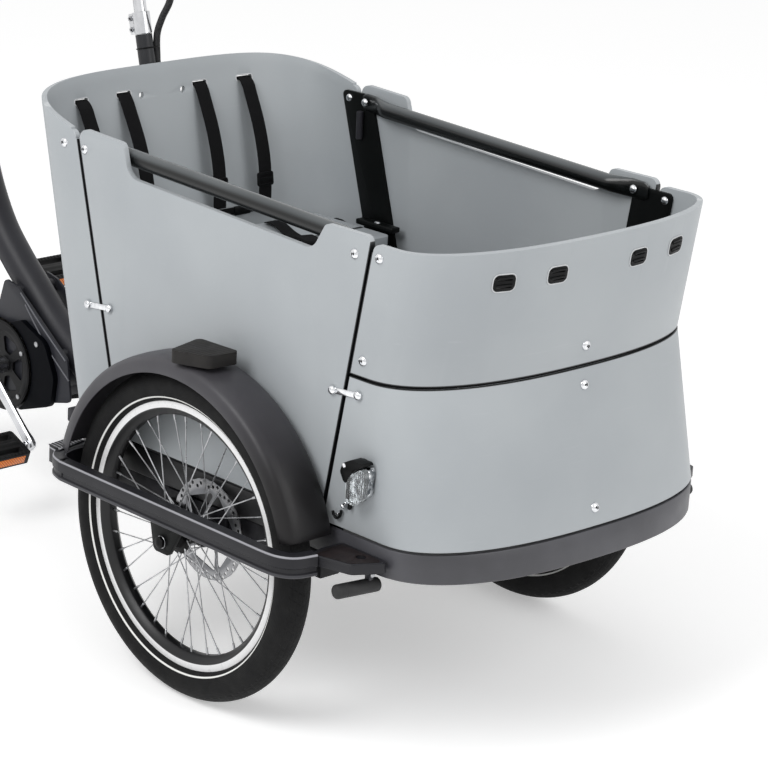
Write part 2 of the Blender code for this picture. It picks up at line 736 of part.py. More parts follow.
def sprocket():
    half = 0.0015
    hub_end = REAR_HUB_HALF + GAP - CHAIN_LINE
    bore = REAR_AXLE_RADIUS + RUNNING_GAP
    solid = turned([(bore, -hub_end), (0.020, -hub_end), (0.020, half), (SPROCKET_RADIUS, half),
                    (SPROCKET_RADIUS, -half), (0.020, -half), (0.018, -0.0035), (bore, -0.0035)],
                   (-CHAIN_LINE, AXLE_BACK, REAR_RADIUS), 14)
    finish(solid, "sprocket", "steel", sprocket_axis)


rear_hub()
rear_axle()
sprocket()


# Box shell

def joint_y(joint, z):
    """A panel joint's place at height z."""
    return joint[0] - (joint[1] - z) * joint[2]


def wall_half(y, z):
    """Half width of the box at its outside."""
    return BOX_HALF_WIDTH + WALL_TAPER * (y - WALL_Y) - WALL_LEAN * (z - WALL_Z)


def stern_back(z):
    return STERN_BACK - (STERN_TOP - z) * tan(HEAD_LEAN)


def nose_at(z):
    """Where the nose's curve starts and how far forward it reaches at height z."""
    levels = (NOSE_FOOT, NOSE_LOW, NOSE_MID, NOSE_TOP)
    for low, high in zip(levels, levels[1:]):
        if z <= high[0] or high is NOSE_TOP:
            t = (z - low[0]) / (high[0] - low[0])
            return tuple(a + (b - a) * t for a, b in zip(low[1:], high[1:]))


def nose_half(z, inset=0.0):
    """From the widest point of the nose to its middle, on the left side."""
    start, tip = nose_at(z)
    half = wall_half(start, z) - inset
    depth = tip + inset - start
    power = 2.0 / NOSE_POWER
    angles = [pi / 2 * k / NOSE_STEPS for k in range(NOSE_STEPS + 1)]
    return [(half * max(cos(a), 0.0) ** power, start + depth * sin(a) ** power) for a in angles]


def stern_point(a, z, inset=0.0):
    """A point of the stern; the angle runs from its side to its middle."""
    back = stern_back(z)
    start = back - STERN_DEPTH
    half = wall_half(start, z) - inset
    power = 2.0 / STERN_POWER
    depth = STERN_DEPTH - inset
    return half * max(cos(a), 0.0) ** power, start + depth * sin(a) ** power


def box_outline(nose_z, stern_z, inset=0.0):
    """The whole outline of the box seen from above."""
    angles = [pi / 2 * k / NOSE_STEPS for k in range(NOSE_STEPS + 1)]
    half = nose_half(nose_z, inset)[::-1] + [stern_point(a, stern_z, inset) for a in angles]
    return half + [(-x, y) for x, y in half[-2:0:-1]]


def corner_cutter(y, z, radius, ahead):
    """Rounds a panel's top corner at y, z; ahead is 1 or -1, the side where the panel lies."""
    past = 0.003
    steps = 4
    arc = [(y + ahead * radius * (1 - sin(a)), z - radius * (1 - cos(a)))
           for a in [pi / 2 * k / steps for k in range(steps + 1)]]
    outline = arc + [(y - ahead * past, z - radius), (y - ahead * past, z + past),
                     (y + ahead * radius, z + past)]
    return plate([outline], -0.5, 0.5)


def front_panel(name, low, high, top_corner):
    """One of the two curved front panels, from joint line to joint line."""
    rows = []
    for z in (low, high):
        edge = joint_y(FRONT_JOINT, z) - PANEL_JOINT / 2
        half = [(wall_half(edge, z), edge)] + nose_half(z)
        rows.append([(x, y, z) for x, y in half] + [(-x, y, z) for x, y in half[-2::-1]])
    solid = skin(rows[::-1], PANEL)
    if top_corner:
        edge = joint_y(FRONT_JOINT, high) - PANEL_JOINT / 2
        solid = cut(solid, [corner_cutter(edge, high, PANEL_CORNER, -1)])
    finish(solid, name, "panel", front)


def rear_panel():
    """The curved stern, highest in the middle, with its strap slots and two cord holes."""
    angles = [pi / 2 * k / NOSE_STEPS for k in range(NOSE_STEPS + 1)]
    side_top = STERN_TOP - STERN_RISE
    rows = []
    for top in (False, True):
        half = []
        for a in angles:
            z = side_top + STERN_RISE * sin(a) ** (2.0 / STERN_POWER) if top else PANEL_BOTTOM
            x, y = stern_point(a, z)
            half.append((x, y, z))
        z = half[0][2]
        edge = joint_y(REAR_JOINT, z) + PANEL_JOINT / 2
        half = [(wall_half(edge, z), edge, z)] + half[1:]
        rows.append(half + [(-x, y, z) for x, y, z in half[-2::-1]])
    solid = skin(rows, PANEL)
    edge = joint_y(REAR_JOINT, side_top) + PANEL_JOINT / 2
    tools = [corner_cutter(edge, side_top, PANEL_CORNER, 1)]
    for side in (-1, 1):
        for x in STRAP_TOPS:
            slot = [(side * x - 0.016, STRAP_TOP - 0.005, 0.0045),
                    (side * x + 0.016, STRAP_TOP - 0.005, 0.0045),
                    (side * x + 0.016, STRAP_TOP + 0.005, 0.0045),
                    (side * x - 0.016, STRAP_TOP + 0.005, 0.0045)]
            tools.append(plate([rounded(slot, 2)], 0.45, 0.60, axis="Y"))
        x, z, radius = CORD_HOLE
        tools.append(rod((side * x, 0.45, z), (side * x, 0.60, z), radius, sides=8))
    finish(cut(solid, tools), "rear_panel", "panel", front)


def wall_frame(side, skew=0.0):
    """Lays a plate drawn in y and z against the leaning side wall; x = 0 is the outside."""
    line = joint_y(REAR_JOINT, 0.0) + REAR_POST[0]
    across = Vector((1.0, WALL_TAPER - skew, -WALL_LEAN + skew * REAR_JOINT[2]))
    shift = BOX_HALF_WIDTH - WALL_TAPER * WALL_Y + WALL_LEAN * WALL_Z + skew * line
    return Matrix((side * Vector((*across, shift)), (0, 1, 0, 0), (0, 0, 1, 0), (0, 0, 0, 1)))


def side_panel(side, name):
    """The flat side, with a low middle between two humps."""
    near = PANEL_JOINT / 2
    rear_low = joint_y(REAR_JOINT, PANEL_BOTTOM) - near
    rear_high = joint_y(REAR_JOINT, REAR_HUMP + 0.002) - near
    front_low = joint_y(FRONT_JOINT, PANEL_BOTTOM) + near
    front_high = joint_y(FRONT_JOINT, FRONT_HUMP) + near
    outline = rounded([
        (front_low, PANEL_BOTTOM, 0.005), (rear_low, PANEL_BOTTOM, 0.005),
        (rear_high, REAR_HUMP + 0.002, 0.018),
        (NOTCH_REAR[0] + 0.015, REAR_HUMP - 0.0035, 0.012), (*NOTCH_REAR, 0.030),
        (*NOTCH_FRONT, 0.025), (NOTCH_FRONT[0] - 0.025, FRONT_HUMP, 0.012),
        (front_high, FRONT_HUMP, 0.012)], 4)
    solid = plate([outline], -PANEL, 0.0)
    finish(moved(solid, wall_frame(side)), name, "panel", front)


def base_tray():
    """The shallow tray that carries the panels and the floor."""
    low = [(x, y, TRAY_BOTTOM) for x, y in box_outline(TRAY_BOTTOM, TRAY_BOTTOM)]
    high = [(x, y, TRAY_TOP) for x, y in box_outline(TRAY_TOP, TRAY_TOP)]
    inner = box_outline(TRAY_TOP, TRAY_BOTTOM + TRAY_WALL, TRAY_WALL)
    hollow = plate([inner], TRAY_BOTTOM + TRAY_WALL, TRAY_TOP + 0.02, axis="Z")
    finish(cut(loft([low, high]), [hollow]), "base_tray", "anthracite", front)
    board = box_outline(TRAY_TOP, TRAY_BOTTOM + TRAY_WALL, TRAY_WALL + GAP)
    low = TRAY_BOTTOM + TRAY_WALL + GAP
    finish(plate([board], low, low + FLOOR, axis="Z"), "box_floor", "black_plastic", front)
    return low + FLOOR


rear_panel()
for side, label in ((-1, "right"), (1, "left")):
    side_panel(side, "side_panel_" + label)
front_panel("front_panel_upper", NOSE_MID[0] + MID_JOINT / 2, NOSE_TOP[0], True)
front_panel("front_panel_lower", PANEL_BOTTOM, NOSE_MID[0] - MID_JOINT / 2, False)
floor_top = base_tray()


def box_frame():
    """Four corner posts, a rail along each side and the bench's bar with its two pins."""
    solids = []
    outer = -PANEL - GAP
    inner = outer - POST_PLATE
    foot = floor_top + POST_LIFT
    hinge_y, hinge_z = BENCH_HINGE
    for side in (-1, 1):
        for joint, edges, skew in ((REAR_JOINT, REAR_POST, REAR_POST_SKEW),
                                   (FRONT_JOINT, FRONT_POST, 0.0)):
            back, ahead, top = edges
            outline = rounded([
                (joint_y(joint, foot) + back, foot, 0.0),
                (joint_y(joint, foot) + ahead, foot, 0.0),
                (joint_y(joint, top) + ahead, top, 0.008),
                (joint_y(joint, top) + back, top, 0.008)], 2)
            solids.append(moved(plate([outline], inner, outer), wall_frame(side, skew)))
        start, end = [(side * x, y, z) for x, y, z in RAIL_ENDS]
        solids.append(rod(start, end, RAIL_RADIUS, sides=12))
        ear = rounded([(BENCH_BAR[0] - 0.008, hinge_z - 0.026, 0.004),
                       (BENCH_BAR[0] + 0.010, hinge_z - 0.026, 0.004),
                       (hinge_y + 0.009, hinge_z - 0.008, 0.004),
                       (hinge_y + 0.009, hinge_z + 0.008, 0.006),
                       (hinge_y - 0.010, hinge_z + 0.008, 0.006),
                       (BENCH_BAR[0] - 0.008, hinge_z - 0.012, 0.004)], 2)
        low, high = BENCH_HALF + 0.0015, BENCH_HALF + 0.0065
        solids.append(moved(plate([ear], low, high), mirror(side)))
        solids.append(rod((side * (low + 0.002), hinge_y, hinge_z),
                          (side * (BENCH_HALF - 0.011), hinge_y, hinge_z), BENCH_PIN, sides=8))
    y, radius = BENCH_BAR
    z = hinge_z - BENCH_BOARD / 2 - GAP - radius
    reach = wall_half(y, z) + outer - 0.0035
    solids.append(rod((-reach, y, z), (reach, y, z), radius, sides=12))
    finish(fuse(solids), "box_frame", "black_metal", front)


def bench():
    """The seat board, which folds up about two pins near its rear edge."""
    y, z = BENCH_HINGE
    board = block((-BENCH_HALF, BENCH_FRONT, z - BENCH_BOARD / 2),
                  (BENCH_HALF, y + BENCH_BEHIND, z + BENCH_BOARD / 2), bevel=0.004)
    radius = clear(BENCH_PIN, 8)
    bores = [rod((side * (BENCH_HALF - 0.012), y, z), (side * (BENCH_HALF + 0.01), y, z),
                 radius, sides=8) for side in (-1, 1)]
    finish(cut(board, bores), "bench_seat", "panel", bench_axis)


def ribbon(points, width, thickness, across=(1, 0, 0)):
    """A flat strap along a path."""
    side = Vector(across) * width / 2
    rows = [[tuple(Vector(p) - side), tuple(Vector(p) + side)] for p in points]
    return skin(rows, thickness, offset=0.0)


def stern_inside(x, z):
    """The stern's inner face at x and z."""
    back = stern_back(z)
    start = back - STERN_DEPTH
    share = abs(x) / wall_half(start, z)
    slope = 1.0 + 1.2 * share ** 4
    return start + STERN_DEPTH * (1.0 - share ** STERN_POWER) ** (1.0 / STERN_POWER) - PANEL * slope


def harness(side, name):
    """One child's harness: two shoulder straps joined by a lap strap."""
    solids = []
    for top in STRAP_TOPS:
        points = []
        for t in (0.0, 0.12, 0.35, 0.6, 0.8, 1.0):
            x = top + STRAP_SPLAY * t
            z = STRAP_TOP + (STRAP_LOW - STRAP_TOP) * t
            bow = 0.0009 + STRAP_BOW * sin(pi * 0.9 * t) + LAP_OFF * t
            points.append((side * x, stern_inside(x + STRAP_WIDTH / 2, z) - bow, z))
        solids.append(ribbon(points, STRAP_WIDTH, STRAP_THICKNESS))
    first = STRAP_TOPS[0] + STRAP_SPLAY - STRAP_WIDTH / 2
    last = STRAP_TOPS[1] + STRAP_SPLAY + STRAP_WIDTH / 2
    points = []
    for k in range(6):
        x = first + (last - first) * k / 5
        y = stern_inside(x + STRAP_WIDTH / 2, STRAP_LOW) - bow
        points.append((side * x, y, STRAP_LOW + 0.004))
    solids.append(ribbon(points, STRAP_WIDTH, 4 * STRAP_THICKNESS, across=(0, 0, 1)))
    finish(fuse(solids), name, "webbing", front)


box_frame()
bench()
for side, label in ((-1, "right"), (1, "left")):
    harness(side, "harness_" + label)


# Front chassis, wheel guards and fenders

STEER = Matrix.Translation((0.0, column_y(0.0), 0.0)) @ steer_turn
ALONG_LOW = HEAD_LOW / cos(HEAD_LEAN)       # the head tube's ends, measured along the axis
ALONG_HIGH = HEAD_HIGH / cos(HEAD_LEAN)
YOKE_GAP = 0.0006
YOKE_TOP = ALONG_HIGH + YOKE_GAP + YOKE_PLATE


def front_chassis():
    """Two side beams and three cross beams, with the yoke that holds the head tube."""
    rear_cross = 0.335
    half = 0.0225
    solids = []
    for side in (-1, 1):
        solids.append(moved(block((BEAM_INNER, BEAM_ENDS[0], CHASSIS_LOW),
                                  (BEAM_OUTER, BEAM_ENDS[1], CHASSIS_HIGH - 0.001)), mirror(side)))
        solids.append(moved(block((BEAM_OUTER - 0.002, -0.030, 0.236),
                                  (BEAM_OUTER + DROP_PLATE, 0.112, CHASSIS_HIGH - 0.0015)),
                            mirror(side)))
        solids.append(moved(block((BEAM_OUTER - 0.002, OUTRIGGER[0], CHASSIS_LOW + 0.004),
                                  (BEAM_OUTER + 0.024, OUTRIGGER[1], GUARD_LOW - GAP)),
                            mirror(side)))
    reach = BEAM_INNER + 0.020
    for y in CROSS_BEAMS:
        solids.append(block((-reach, y - half, CHASSIS_LOW + 0.002),
                            (reach, y + half, CHASSIS_HIGH - 0.003)))
    reach = BEAM_OUTER + 0.025
    solids.append(block((-reach, rear_cross - half, CHASSIS_LOW - 0.001),
                        (reach, rear_cross + half, CHASSIS_HIGH)))
    solids.append(block((-YOKE_HALF, 0.345, CHASSIS_LOW + 0.001),
                        (YOKE_HALF, 0.3855, CHASSIS_HIGH - 0.002)))
    solids.append(block((-YOKE_HALF + 0.002, 0.338, 0.163), (YOKE_HALF - 0.002, 0.366, 0.270)))
    lower = ALONG_LOW - YOKE_GAP
    upper = ALONG_HIGH + YOKE_GAP
    solids.append(moved(block((-YOKE_HALF, -0.058, lower - YOKE_PLATE), (YOKE_HALF, 0.024, lower)),
                        STEER))
    solids.append(moved(block((-YOKE_HALF, -0.053, upper), (YOKE_HALF, 0.024, upper + YOKE_PLATE)),
                        STEER))
    radius = clear(KINGPIN_RADIUS, 12)
    tools = [moved(rod((0, 0, ALONG_LOW - 0.03), (0, 0, ALONG_HIGH + 0.03), radius), STEER)]
    for side in (-1, 1):
        tools.append(rod((side * (BEAM_OUTER - 0.0102), 0.0, FRONT_RADIUS),
                         (side * (BEAM_OUTER + 0.02), 0.0, FRONT_RADIUS),
                         clear(AXLE_RADIUS, 10), sides=10))
    finish(cut(fuse(solids), tools), "front_chassis", "anthracite", front)


def wheel_guard(side, name):
    """The side bar that takes the axle's outer end, its front bracket and the rear step."""
    wall = BOX_HALF_WIDTH
    points = [(GUARD_X + inward, y) for inward, y in (
        (-0.047, -0.296), (-0.017, -0.289), (-0.0035, -0.272), (0.0, -0.245), (0.0, -0.190),
        (0.0, 0.205), (-0.0012, 0.230), (-0.0068, 0.249), (-0.0172, 0.262), (-0.0310, 0.269),
        (-0.0500, GUARD_REAR), (wall + 0.0065 - GUARD_X, GUARD_REAR))]
    middle = (GUARD_LOW + GUARD_HIGH) / 2
    half = (GUARD_HIGH - GUARD_LOW) / 2
    groove = 0.003
    section = [(-GUARD_HALF, -half), (GUARD_HALF, -half), (GUARD_HALF, -0.011),
               (GUARD_HALF - groove, -0.009), (GUARD_HALF - groove, -0.003), (GUARD_HALF, -0.001),
               (GUARD_HALF, half - 0.002), (GUARD_HALF - 0.002, half), (-GUARD_HALF + 0.002, half),
               (-GUARD_HALF, half - 0.002)]
    bar = swept([(x, y, middle) for x, y in points], section)
    bracket = rounded([(wall + 0.0735, -0.290, 0.004), (wall + 0.0555, -0.359, 0.010),
                       (wall + 0.008, -0.385, 0.006), (wall + 0.0025, -0.370, 0.006),
                       (wall + 0.0025, -0.283, 0.006), (wall + 0.040, -0.2815, 0.006)], 2)
    low, high = FRONT_BRACKET
    solids = [bar, plate([bracket, circle(wall + 0.022, -0.343, 0.008, 10)], low, high, axis="Z")]
    outer, inner, z, radius = PEG
    solids.append(rod((*outer, z), (*inner, z), radius, sides=12))
    solids.append(block((wall + 0.006, -0.3545, z), (wall + 0.014, -0.344, low + 0.002)))
    low, high = FRONT_RADIUS - 0.0176, GUARD_LOW + 0.013
    ears = rounded([(-0.055, high, 0.004), (0.032, high, 0.004), (0.018, low, 0.010),
                    (-0.018, low, 0.010)], 2)
    hole = circle(0.0, FRONT_RADIUS, clear(AXLE_RADIUS, 10), 10)
    solids.append(plate([ears, hole], *AXLE_BRACKET))
    x, y = wall, GUARD_REAR
    step = rounded([(x + 0.036, y + 0.005, 0.003), (x + 0.1015, y - 0.011, 0.003),
                    (x + 0.0965, y + 0.022, 0.005), (x + 0.0335, y + 0.036, 0.005)], 2)
    solids.append(plate([step], STEP_TREAD[0], STEP_TREAD[1], axis="Z"))
    finish(moved(fuse(solids), mirror(side)), name, "anthracite", front)


def arc_shell(section, centre, start, end, steps, thickness):
    """A curved strip turned part of the way about an axis along X; angles from +Y upwards."""
    mesh = bpy.data.meshes.new("arc")
    mesh.from_pydata([(x, r * cos(start), r * sin(start)) for x, r in section],
                     [(i, i + 1) for i in range(len(section) - 1)], [])
    obj = new_object("arc", mesh)
    mod = obj.modifiers.new("Screw", "SCREW")
    mod.axis = "X"
    mod.angle = end - start
    mod.steps = steps
    mod.render_steps = steps
    wall = obj.modifiers.new("Solidify", "SOLIDIFY")
    wall.thickness = thickness
    wall.offset = 0.0
    wall.use_even_offset = True
    obj.location = centre
    return realise(obj)


def fender(side, name):
    x = side * TRACK / 2
    r = FENDER_RADIUS
    section = [(-0.0448, r - FENDER_SKIRT), (-0.0425, r - 0.011), (-0.0345, r - 0.0025), (0.0, r),
               (0.0345, r - 0.0025), (0.0432, r - 0.011), (FENDER_HALF - 0.0005, r - FENDER_SKIRT)]
    solid = arc_shell([(side * h, radius) for h, radius in section], (x, 0.0, FRONT_RADIUS),
                      FENDER_START, pi - FENDER_START, 10, FENDER_WALL)
    finish(solid, name, "anthracite", front)


def step_pad(side, name):
    """The flat step on top of the fender."""
    low = FRONT_RADIUS + FENDER_RADIUS + FENDER_WALL / 2 + GAP
    x = TRACK / 2
    outline = rounded([(x + 0.055, -0.005, 0.008), (x - 0.021, 0.016, 0.008),
                       (x - 0.026, -0.071, 0.008), (x + 0.028, -0.067, 0.012)], 3)
    solid = plate([outline], low, low + STEP_PAD, axis="Z")
    finish(moved(solid, mirror(side)), name, "black_plastic", front)


def headlamp(side, name):
    """A small lamp on the box's side, near its front."""
    outline = rounded([(-0.342, 0.411, 0.006), (-0.321, 0.395, 0.008), (-0.3045, 0.399, 0.004),
                       (-0.3015, 0.429, 0.004), (-0.2935, 0.441, 0.006), (-0.3000, 0.457, 0.008),
                       (-0.3150, 0.463, 0.006), (-0.3445, 0.453, 0.008)], 1)
    solid = plate([outline], GAP, 0.026)
    finish(moved(solid, wall_frame(side)), name, "lens", front)


front_chassis()
for side, label in ((-1, "right"), (1, "left")):
    wheel_guard(side, "wheel_guard_" + label)
    fender(side, "fender_front_" + label)
    step_pad(side, "step_pad_" + label)
    headlamp(side, "headlamp_" + label)


# Steering column and handlebar

def kingpin():
    """The pin with its two bearing rings, a nut above and a head below."""
    r = KINGPIN_RADIUS
    ring = HEAD_BORE - RUNNING_GAP
    top = YOKE_TOP + GAP
    low = ALONG_LOW - YOKE_GAP - YOKE_PLATE - GAP
    profile = [(0.0, top + 0.010), (r, top + 0.010), (r, top + 0.0075), (0.0108, top + 0.0075),
               (0.0108, top), (r, top), (r, ALONG_HIGH - 0.001), (ring, ALONG_HIGH - 0.001),
               (ring, ALONG_HIGH - 0.012), (r, ALONG_HIGH - 0.012), (r, ALONG_LOW + 0.012),
               (ring, ALONG_LOW + 0.012), (ring, ALONG_LOW + 0.001), (r, ALONG_LOW + 0.001),
               (r, low), (0.014, low), (0.014, low - 0.006), (0.0, low - 0.006)]
    finish(turned(profile, (0.0, column_y(0.0), 0.0), 12, turn=steer_turn), "kingpin", "steel",
           front)


def column_tube():
    foot = YOKE_TOP + GAP
    top = COLUMN_TOP / cos(HEAD_LEAN)
    inner = COLUMN_RADIUS - COLUMN_WALL
    profile = [(inner, top), (COLUMN_RADIUS, top), (COLUMN_RADIUS, foot + 0.006),
               (COLUMN_FOOT, foot + 0.004), (COLUMN_FOOT, foot), (inner, foot)]
    finish(turned(profile, (0.0, column_y(0.0), 0.0), 12, turn=steer_turn), "column_tube",
           "black_metal", front)


def stem():
    """The quill with its clamping sleeve, and the barrel that holds the bar."""
    levels = [z / cos(HEAD_LEAN) for z in (STEM_LOW, COLUMN_TOP, STEM_SLEEVE_TOP, STEM_TOP)]
    low, sleeve, sleeve_top, top = levels
    sleeve += GAP
    profile = [(0.0, top), (STEM_RADIUS, top), (STEM_RADIUS, sleeve_top), (STEM_SLEEVE, sleeve_top),
               (STEM_SLEEVE, sleeve), (STEM_RADIUS, sleeve), (STEM_RADIUS, low), (0.0, low)]
    quill = turned(profile, (0.0, column_y(0.0), 0.0), 12, turn=steer_turn)
    y, z = BAR_CENTRE
    neck = rod((0.0, column_y(STEM_TOP - 0.015), STEM_TOP - 0.015), (0.0, y, z - 0.006), STEM_RADIUS)
    barrel = rod((-0.026, y, z), (0.026, y, z), 0.019)
    bore = rod((-0.05, y, z), (0.05, y, z), clear(BAR_RADIUS, 12))
    finish(cut(fuse([quill, neck, barrel]), [bore]), "handlebar_stem", "aluminium", front)


bar_bend = Vector(BAR_BEND)
bar_end = Vector(BAR_END)
bar_along = (bar_end - bar_bend).normalized()
bar_out = bar_along.cross(Vector((0, 0, 1))).normalized()
bar_up = bar_along.cross(bar_out)
bar_length = (bar_end - bar_bend).length
bar_columns = Matrix((bar_along, bar_out, bar_up)).transposed().to_4x4()
BAR_FRAME = Matrix.Translation(bar_bend) @ bar_columns
LEVER_PIVOT = (0.026, 0.030)      # along the straight part and out from it


def handlebar():
    """The bar, straight in the middle and at its ends, with a bracket for each brake lever."""
    y, z = BAR_CENTRE
    straight = [tuple(bar_bend + bar_along * bar_length * t) for t in (0.0, 0.12)]
    bend = [(0.050, y, z), (0.110, y + 0.002, z + 0.016), (0.190, y + 0.016, z + 0.045)]
    half = smooth_path(bend + straight, 2) + [bar_end - bar_along * 0.003]
    path = [(-p[0], p[1], p[2]) for p in reversed(half)] + [tuple(p) for p in half]
    solids = [tube(path, BAR_RADIUS, 2)]
    pivot, out = LEVER_PIVOT
    for side in (-1, 1):
        place = mirror(side) @ BAR_FRAME
        solids.append(moved(rod((pivot - 0.008, 0, 0), (pivot + 0.008, 0, 0), 0.0155, sides=8),
                            place))
        for low in (-0.0090, 0.0060):
            solids.append(moved(block((pivot - 0.007, 0.004, low),
                                      (pivot + 0.007, out + 0.007, low + 0.003)), place))
        solids.append(moved(rod((pivot, out, -0.008), (pivot, out, 0.008), 0.0030, sides=8), place))
    finish(fuse(solids), "handlebar", "black_metal", front)


def sleeve_on_bar(side, start, end, radius, name, colour, parent):
    bore = clear(BAR_RADIUS, 12)
    ring = turned([(bore, end), (radius - 0.001, end), (radius, end - 0.002), (radius, start + 0.002),
                   (radius - 0.001, start), (bore, start)], (0, 0, 0), 12)
    finish(moved(ring, mirror(side) @ BAR_FRAME), name, colour, parent)


def brake_lever(side, name):
    pivot, out = LEVER_PIVOT
    hub = turned([(0.0033, 0.0055), (0.0075, 0.0055), (0.0075, -0.0055), (0.0033, -0.0055)],
                 (pivot, out, 0.0), 10, axis="Z")
    offset = LEVER_OFFSET - 0.002
    path = smooth_path([(pivot + 0.0055, out + 0.002, 0), (pivot + 0.018, offset, 0),
                        (pivot + 0.055, LEVER_OFFSET, 0), (pivot + LEVER_LENGTH, offset, 0),
                        (pivot + LEVER_LENGTH + 0.006, offset + 0.004, 0)], 2)
    blade = tube([tuple(p) for p in path], 0.0042, 1)
    finish(moved(fuse([hub, blade]), mirror(side) @ BAR_FRAME), name, "black_metal", lever_axes[side])


def bar_point(side, along, out):
    x, y, z = BAR_FRAME @ Vector((along, out, 0.0))
    return side * x, y, z


lever_axes = {side: empty("brake_lever_axis_" + label, front, bar_point(side, *LEVER_PIVOT))
              for side, label in ((-1, "right"), (1, "left"))}
grip_start = bar_length - GRIP_LENGTH
shifter_axis = empty("shifter_axis", front,
                     bar_point(-1, grip_start - SHIFTER_LENGTH / 2, 0.0))


def cable_loom():
    """Brake and motor cables in one sleeve, from the chassis up beside the column."""
    x = 0.02015
    lower = [(x, column_y(z) - 0.002, z) for z in (0.330, 0.450, 0.600, 0.740, 0.858)]
    upper = [(x, 0.566, 0.901), (x, 0.554, 0.932), (x, 0.534, 0.966), (0.024, 0.534, 1.005),
             (0.034, 0.558, 1.044), (0.060, 0.5805, 1.0620), (0.095, 0.5830, 1.0700)]
    path = lower + [tuple(p) for p in smooth_path([lower[-1]] + upper, 2)[1:]]
    finish(tube(path, 0.006, 1), "cable_loom", "rubber", front)


kingpin()
column_tube()
stem()
handlebar()
for side, label in ((-1, "right"), (1, "left")):
    sleeve_on_bar(side, grip_start, bar_length, GRIP_RADIUS, "grip_" + label, "rubber", front)
    brake_lever(side, "brake_lever_" + label)
sleeve_on_bar(-1, grip_start - GAP - SHIFTER_LENGTH, grip_start - GAP, 0.0175, "gear_shifter",
              "black_plastic", shifter_axis)
cable_loom()


# Main frame

seat_turn = Matrix.Rotation(-atan2(SEAT_SLOPE, 1.0), 4, "X")


def seat_y(z):
    return SEAT_LOW[0] + (z - SEAT_LOW[1]) * SEAT_SLOPE


COLLAR = 0.7815                   # height of the seat collar's middle
SEAT_FRAME = Matrix.Translation((0.0, seat_y(COLLAR), COLLAR)) @ seat_turn
LEVER_PIN = (0.0195, -0.027)      # across and ahead, in the seat tube's own frame
seat_axis = empty("seat_post_axis", axle_frame, (0.0, seat_y(COLLAR), COLLAR), seat_turn)
clamp_axis = empty("seat_clamp_axis", axle_frame,
                   tuple(SEAT_FRAME @ Vector((*LEVER_PIN, 0.0064))), seat_turn)


def crossing(start, end, centre, radius):
    """Where a line first comes within a radius of a point."""
    along = (end - start).normalized()
    near = (centre - start).dot(along)
    off = (centre - start - along * near).length
    return start + along * (near - (radius ** 2 - off ** 2) ** 0.5)


def main_frame():
    """The bent main tube with its head tube, seat sleeve, motor plates, stays and dropouts."""
    solids = [tube([(0.0, y, z) for y, z in BEAM_PATH], BEAM_RADIUS, 4)]
    solids.append(moved(rod((0, 0, ALONG_LOW), (0, 0, ALONG_HIGH), HEAD_RADIUS, sides=16), STEER))
    solids.append(rod((0, *SEAT_LOW), (0, *SEAT_HIGH), SEAT_SLEEVE, sides=12))
    solids.append(moved(rod((0, 0, -0.007), (0, 0, 0.007), SEAT_SLEEVE + 0.003, sides=12), SEAT_FRAME))
    solids.append(moved(block((-0.010, -0.034, -0.0062), (0.010, -0.0158, 0.0058)), SEAT_FRAME))
    pin_x, pin_y = LEVER_PIN
    solids.append(moved(rod((-0.013, pin_y, 0), (pin_x + 0.001, pin_y, 0), 0.0025, sides=8),
                        SEAT_FRAME))
    solids.append(moved(rod((pin_x, pin_y, -0.002), (pin_x, pin_y, 0.0115), 0.0022, sides=8),
                        SEAT_FRAME))
    high = 2 * REAR_RADIUS - 0.019
    top = Vector((seat_y(high) + 0.0055, high))
    foot = Vector((AXLE_BACK - 0.0085, REAR_RADIUS + 0.046))
    outline = rounded([(0.700, 0.222, 0.012), (0.800, 0.196, 0.020), (0.880, 0.160, 0.030),
                       (0.985, 0.238, 0.012), (0.985, 0.276, 0.010), (0.925, 0.330, 0.020),
                       (0.898, 0.408, 0.012), (0.860, 0.400, 0.015), (0.712, 0.300, 0.012)], 1)
    for side in (-1, 1):
        sheet = plate([outline, circle(*BB, 0.022, 12)], *BRACKET_PLATE)
        solids.append(moved(sheet, mirror(side)))
        y, z = AXLE_BACK, REAR_RADIUS
        solids.append(rod((side * 0.037, 0.966, 0.2565), (side * 0.070, y - 0.0145, z - 0.002),
                          STAY_RADIUS, sides=10))
        solids.append(rod((side * 0.040, *top), (side * 0.070, *foot), 0.0080, sides=8))
        dropout = rounded([(y - 0.022, z - 0.016, 0.006), (y + 0.018, z - 0.016, 0.010),
                           (y + 0.018, z + 0.018, 0.010), (y + 0.010, z + 0.058, 0.006),
                           (y - 0.022, z + 0.058, 0.006)], 2)
        hole = circle(y, z, clear(REAR_AXLE_RADIUS, 10), 10)
        solids.append(moved(plate([dropout, hole], *DROPOUT), mirror(side)))
    reach = (BRACKET_PLATE[0] + BRACKET_PLATE[1]) / 2
    for y, z in ((0.742, 0.297), (0.873, 0.387)):
        solids.append(rod((-reach, y, z), (reach, y, z), 0.012, sides=10))
    solids.append(rod((-0.042, *top), (0.042, *top), 0.0090, sides=10))
    reach = REAR_RADIUS + REAR_FENDER_GAP + REAR_FENDER_WALL + BRIDGE_RADIUS - 0.0006
    bridge = crossing(top, foot, Vector((AXLE_BACK, REAR_RADIUS)), reach)
    solids.append(rod((-0.046, *bridge), (0.046, *bridge), BRIDGE_RADIUS, sides=8))
    y, z, half, reach = STOP_BAR
    solids.append(block((-reach, y - half, z - half), (reach, y + half, z + half)))
    solids.append(block((-0.010, y - half + 0.002, z), (0.010, y + half - 0.002, z + 0.040)))
    tools = [moved(rod((0, 0, ALONG_LOW - 0.05), (0, 0, ALONG_HIGH + 0.05), HEAD_BORE / cos(pi / 12),
                       sides=12), STEER),
             rod((0, seat_y(0.580), 0.580), (0, seat_y(0.820), 0.820), clear(POST_RADIUS, 12), sides=12)]
    finish(cut(fuse(solids), tools), "main_frame", "anthracite", axle_frame)


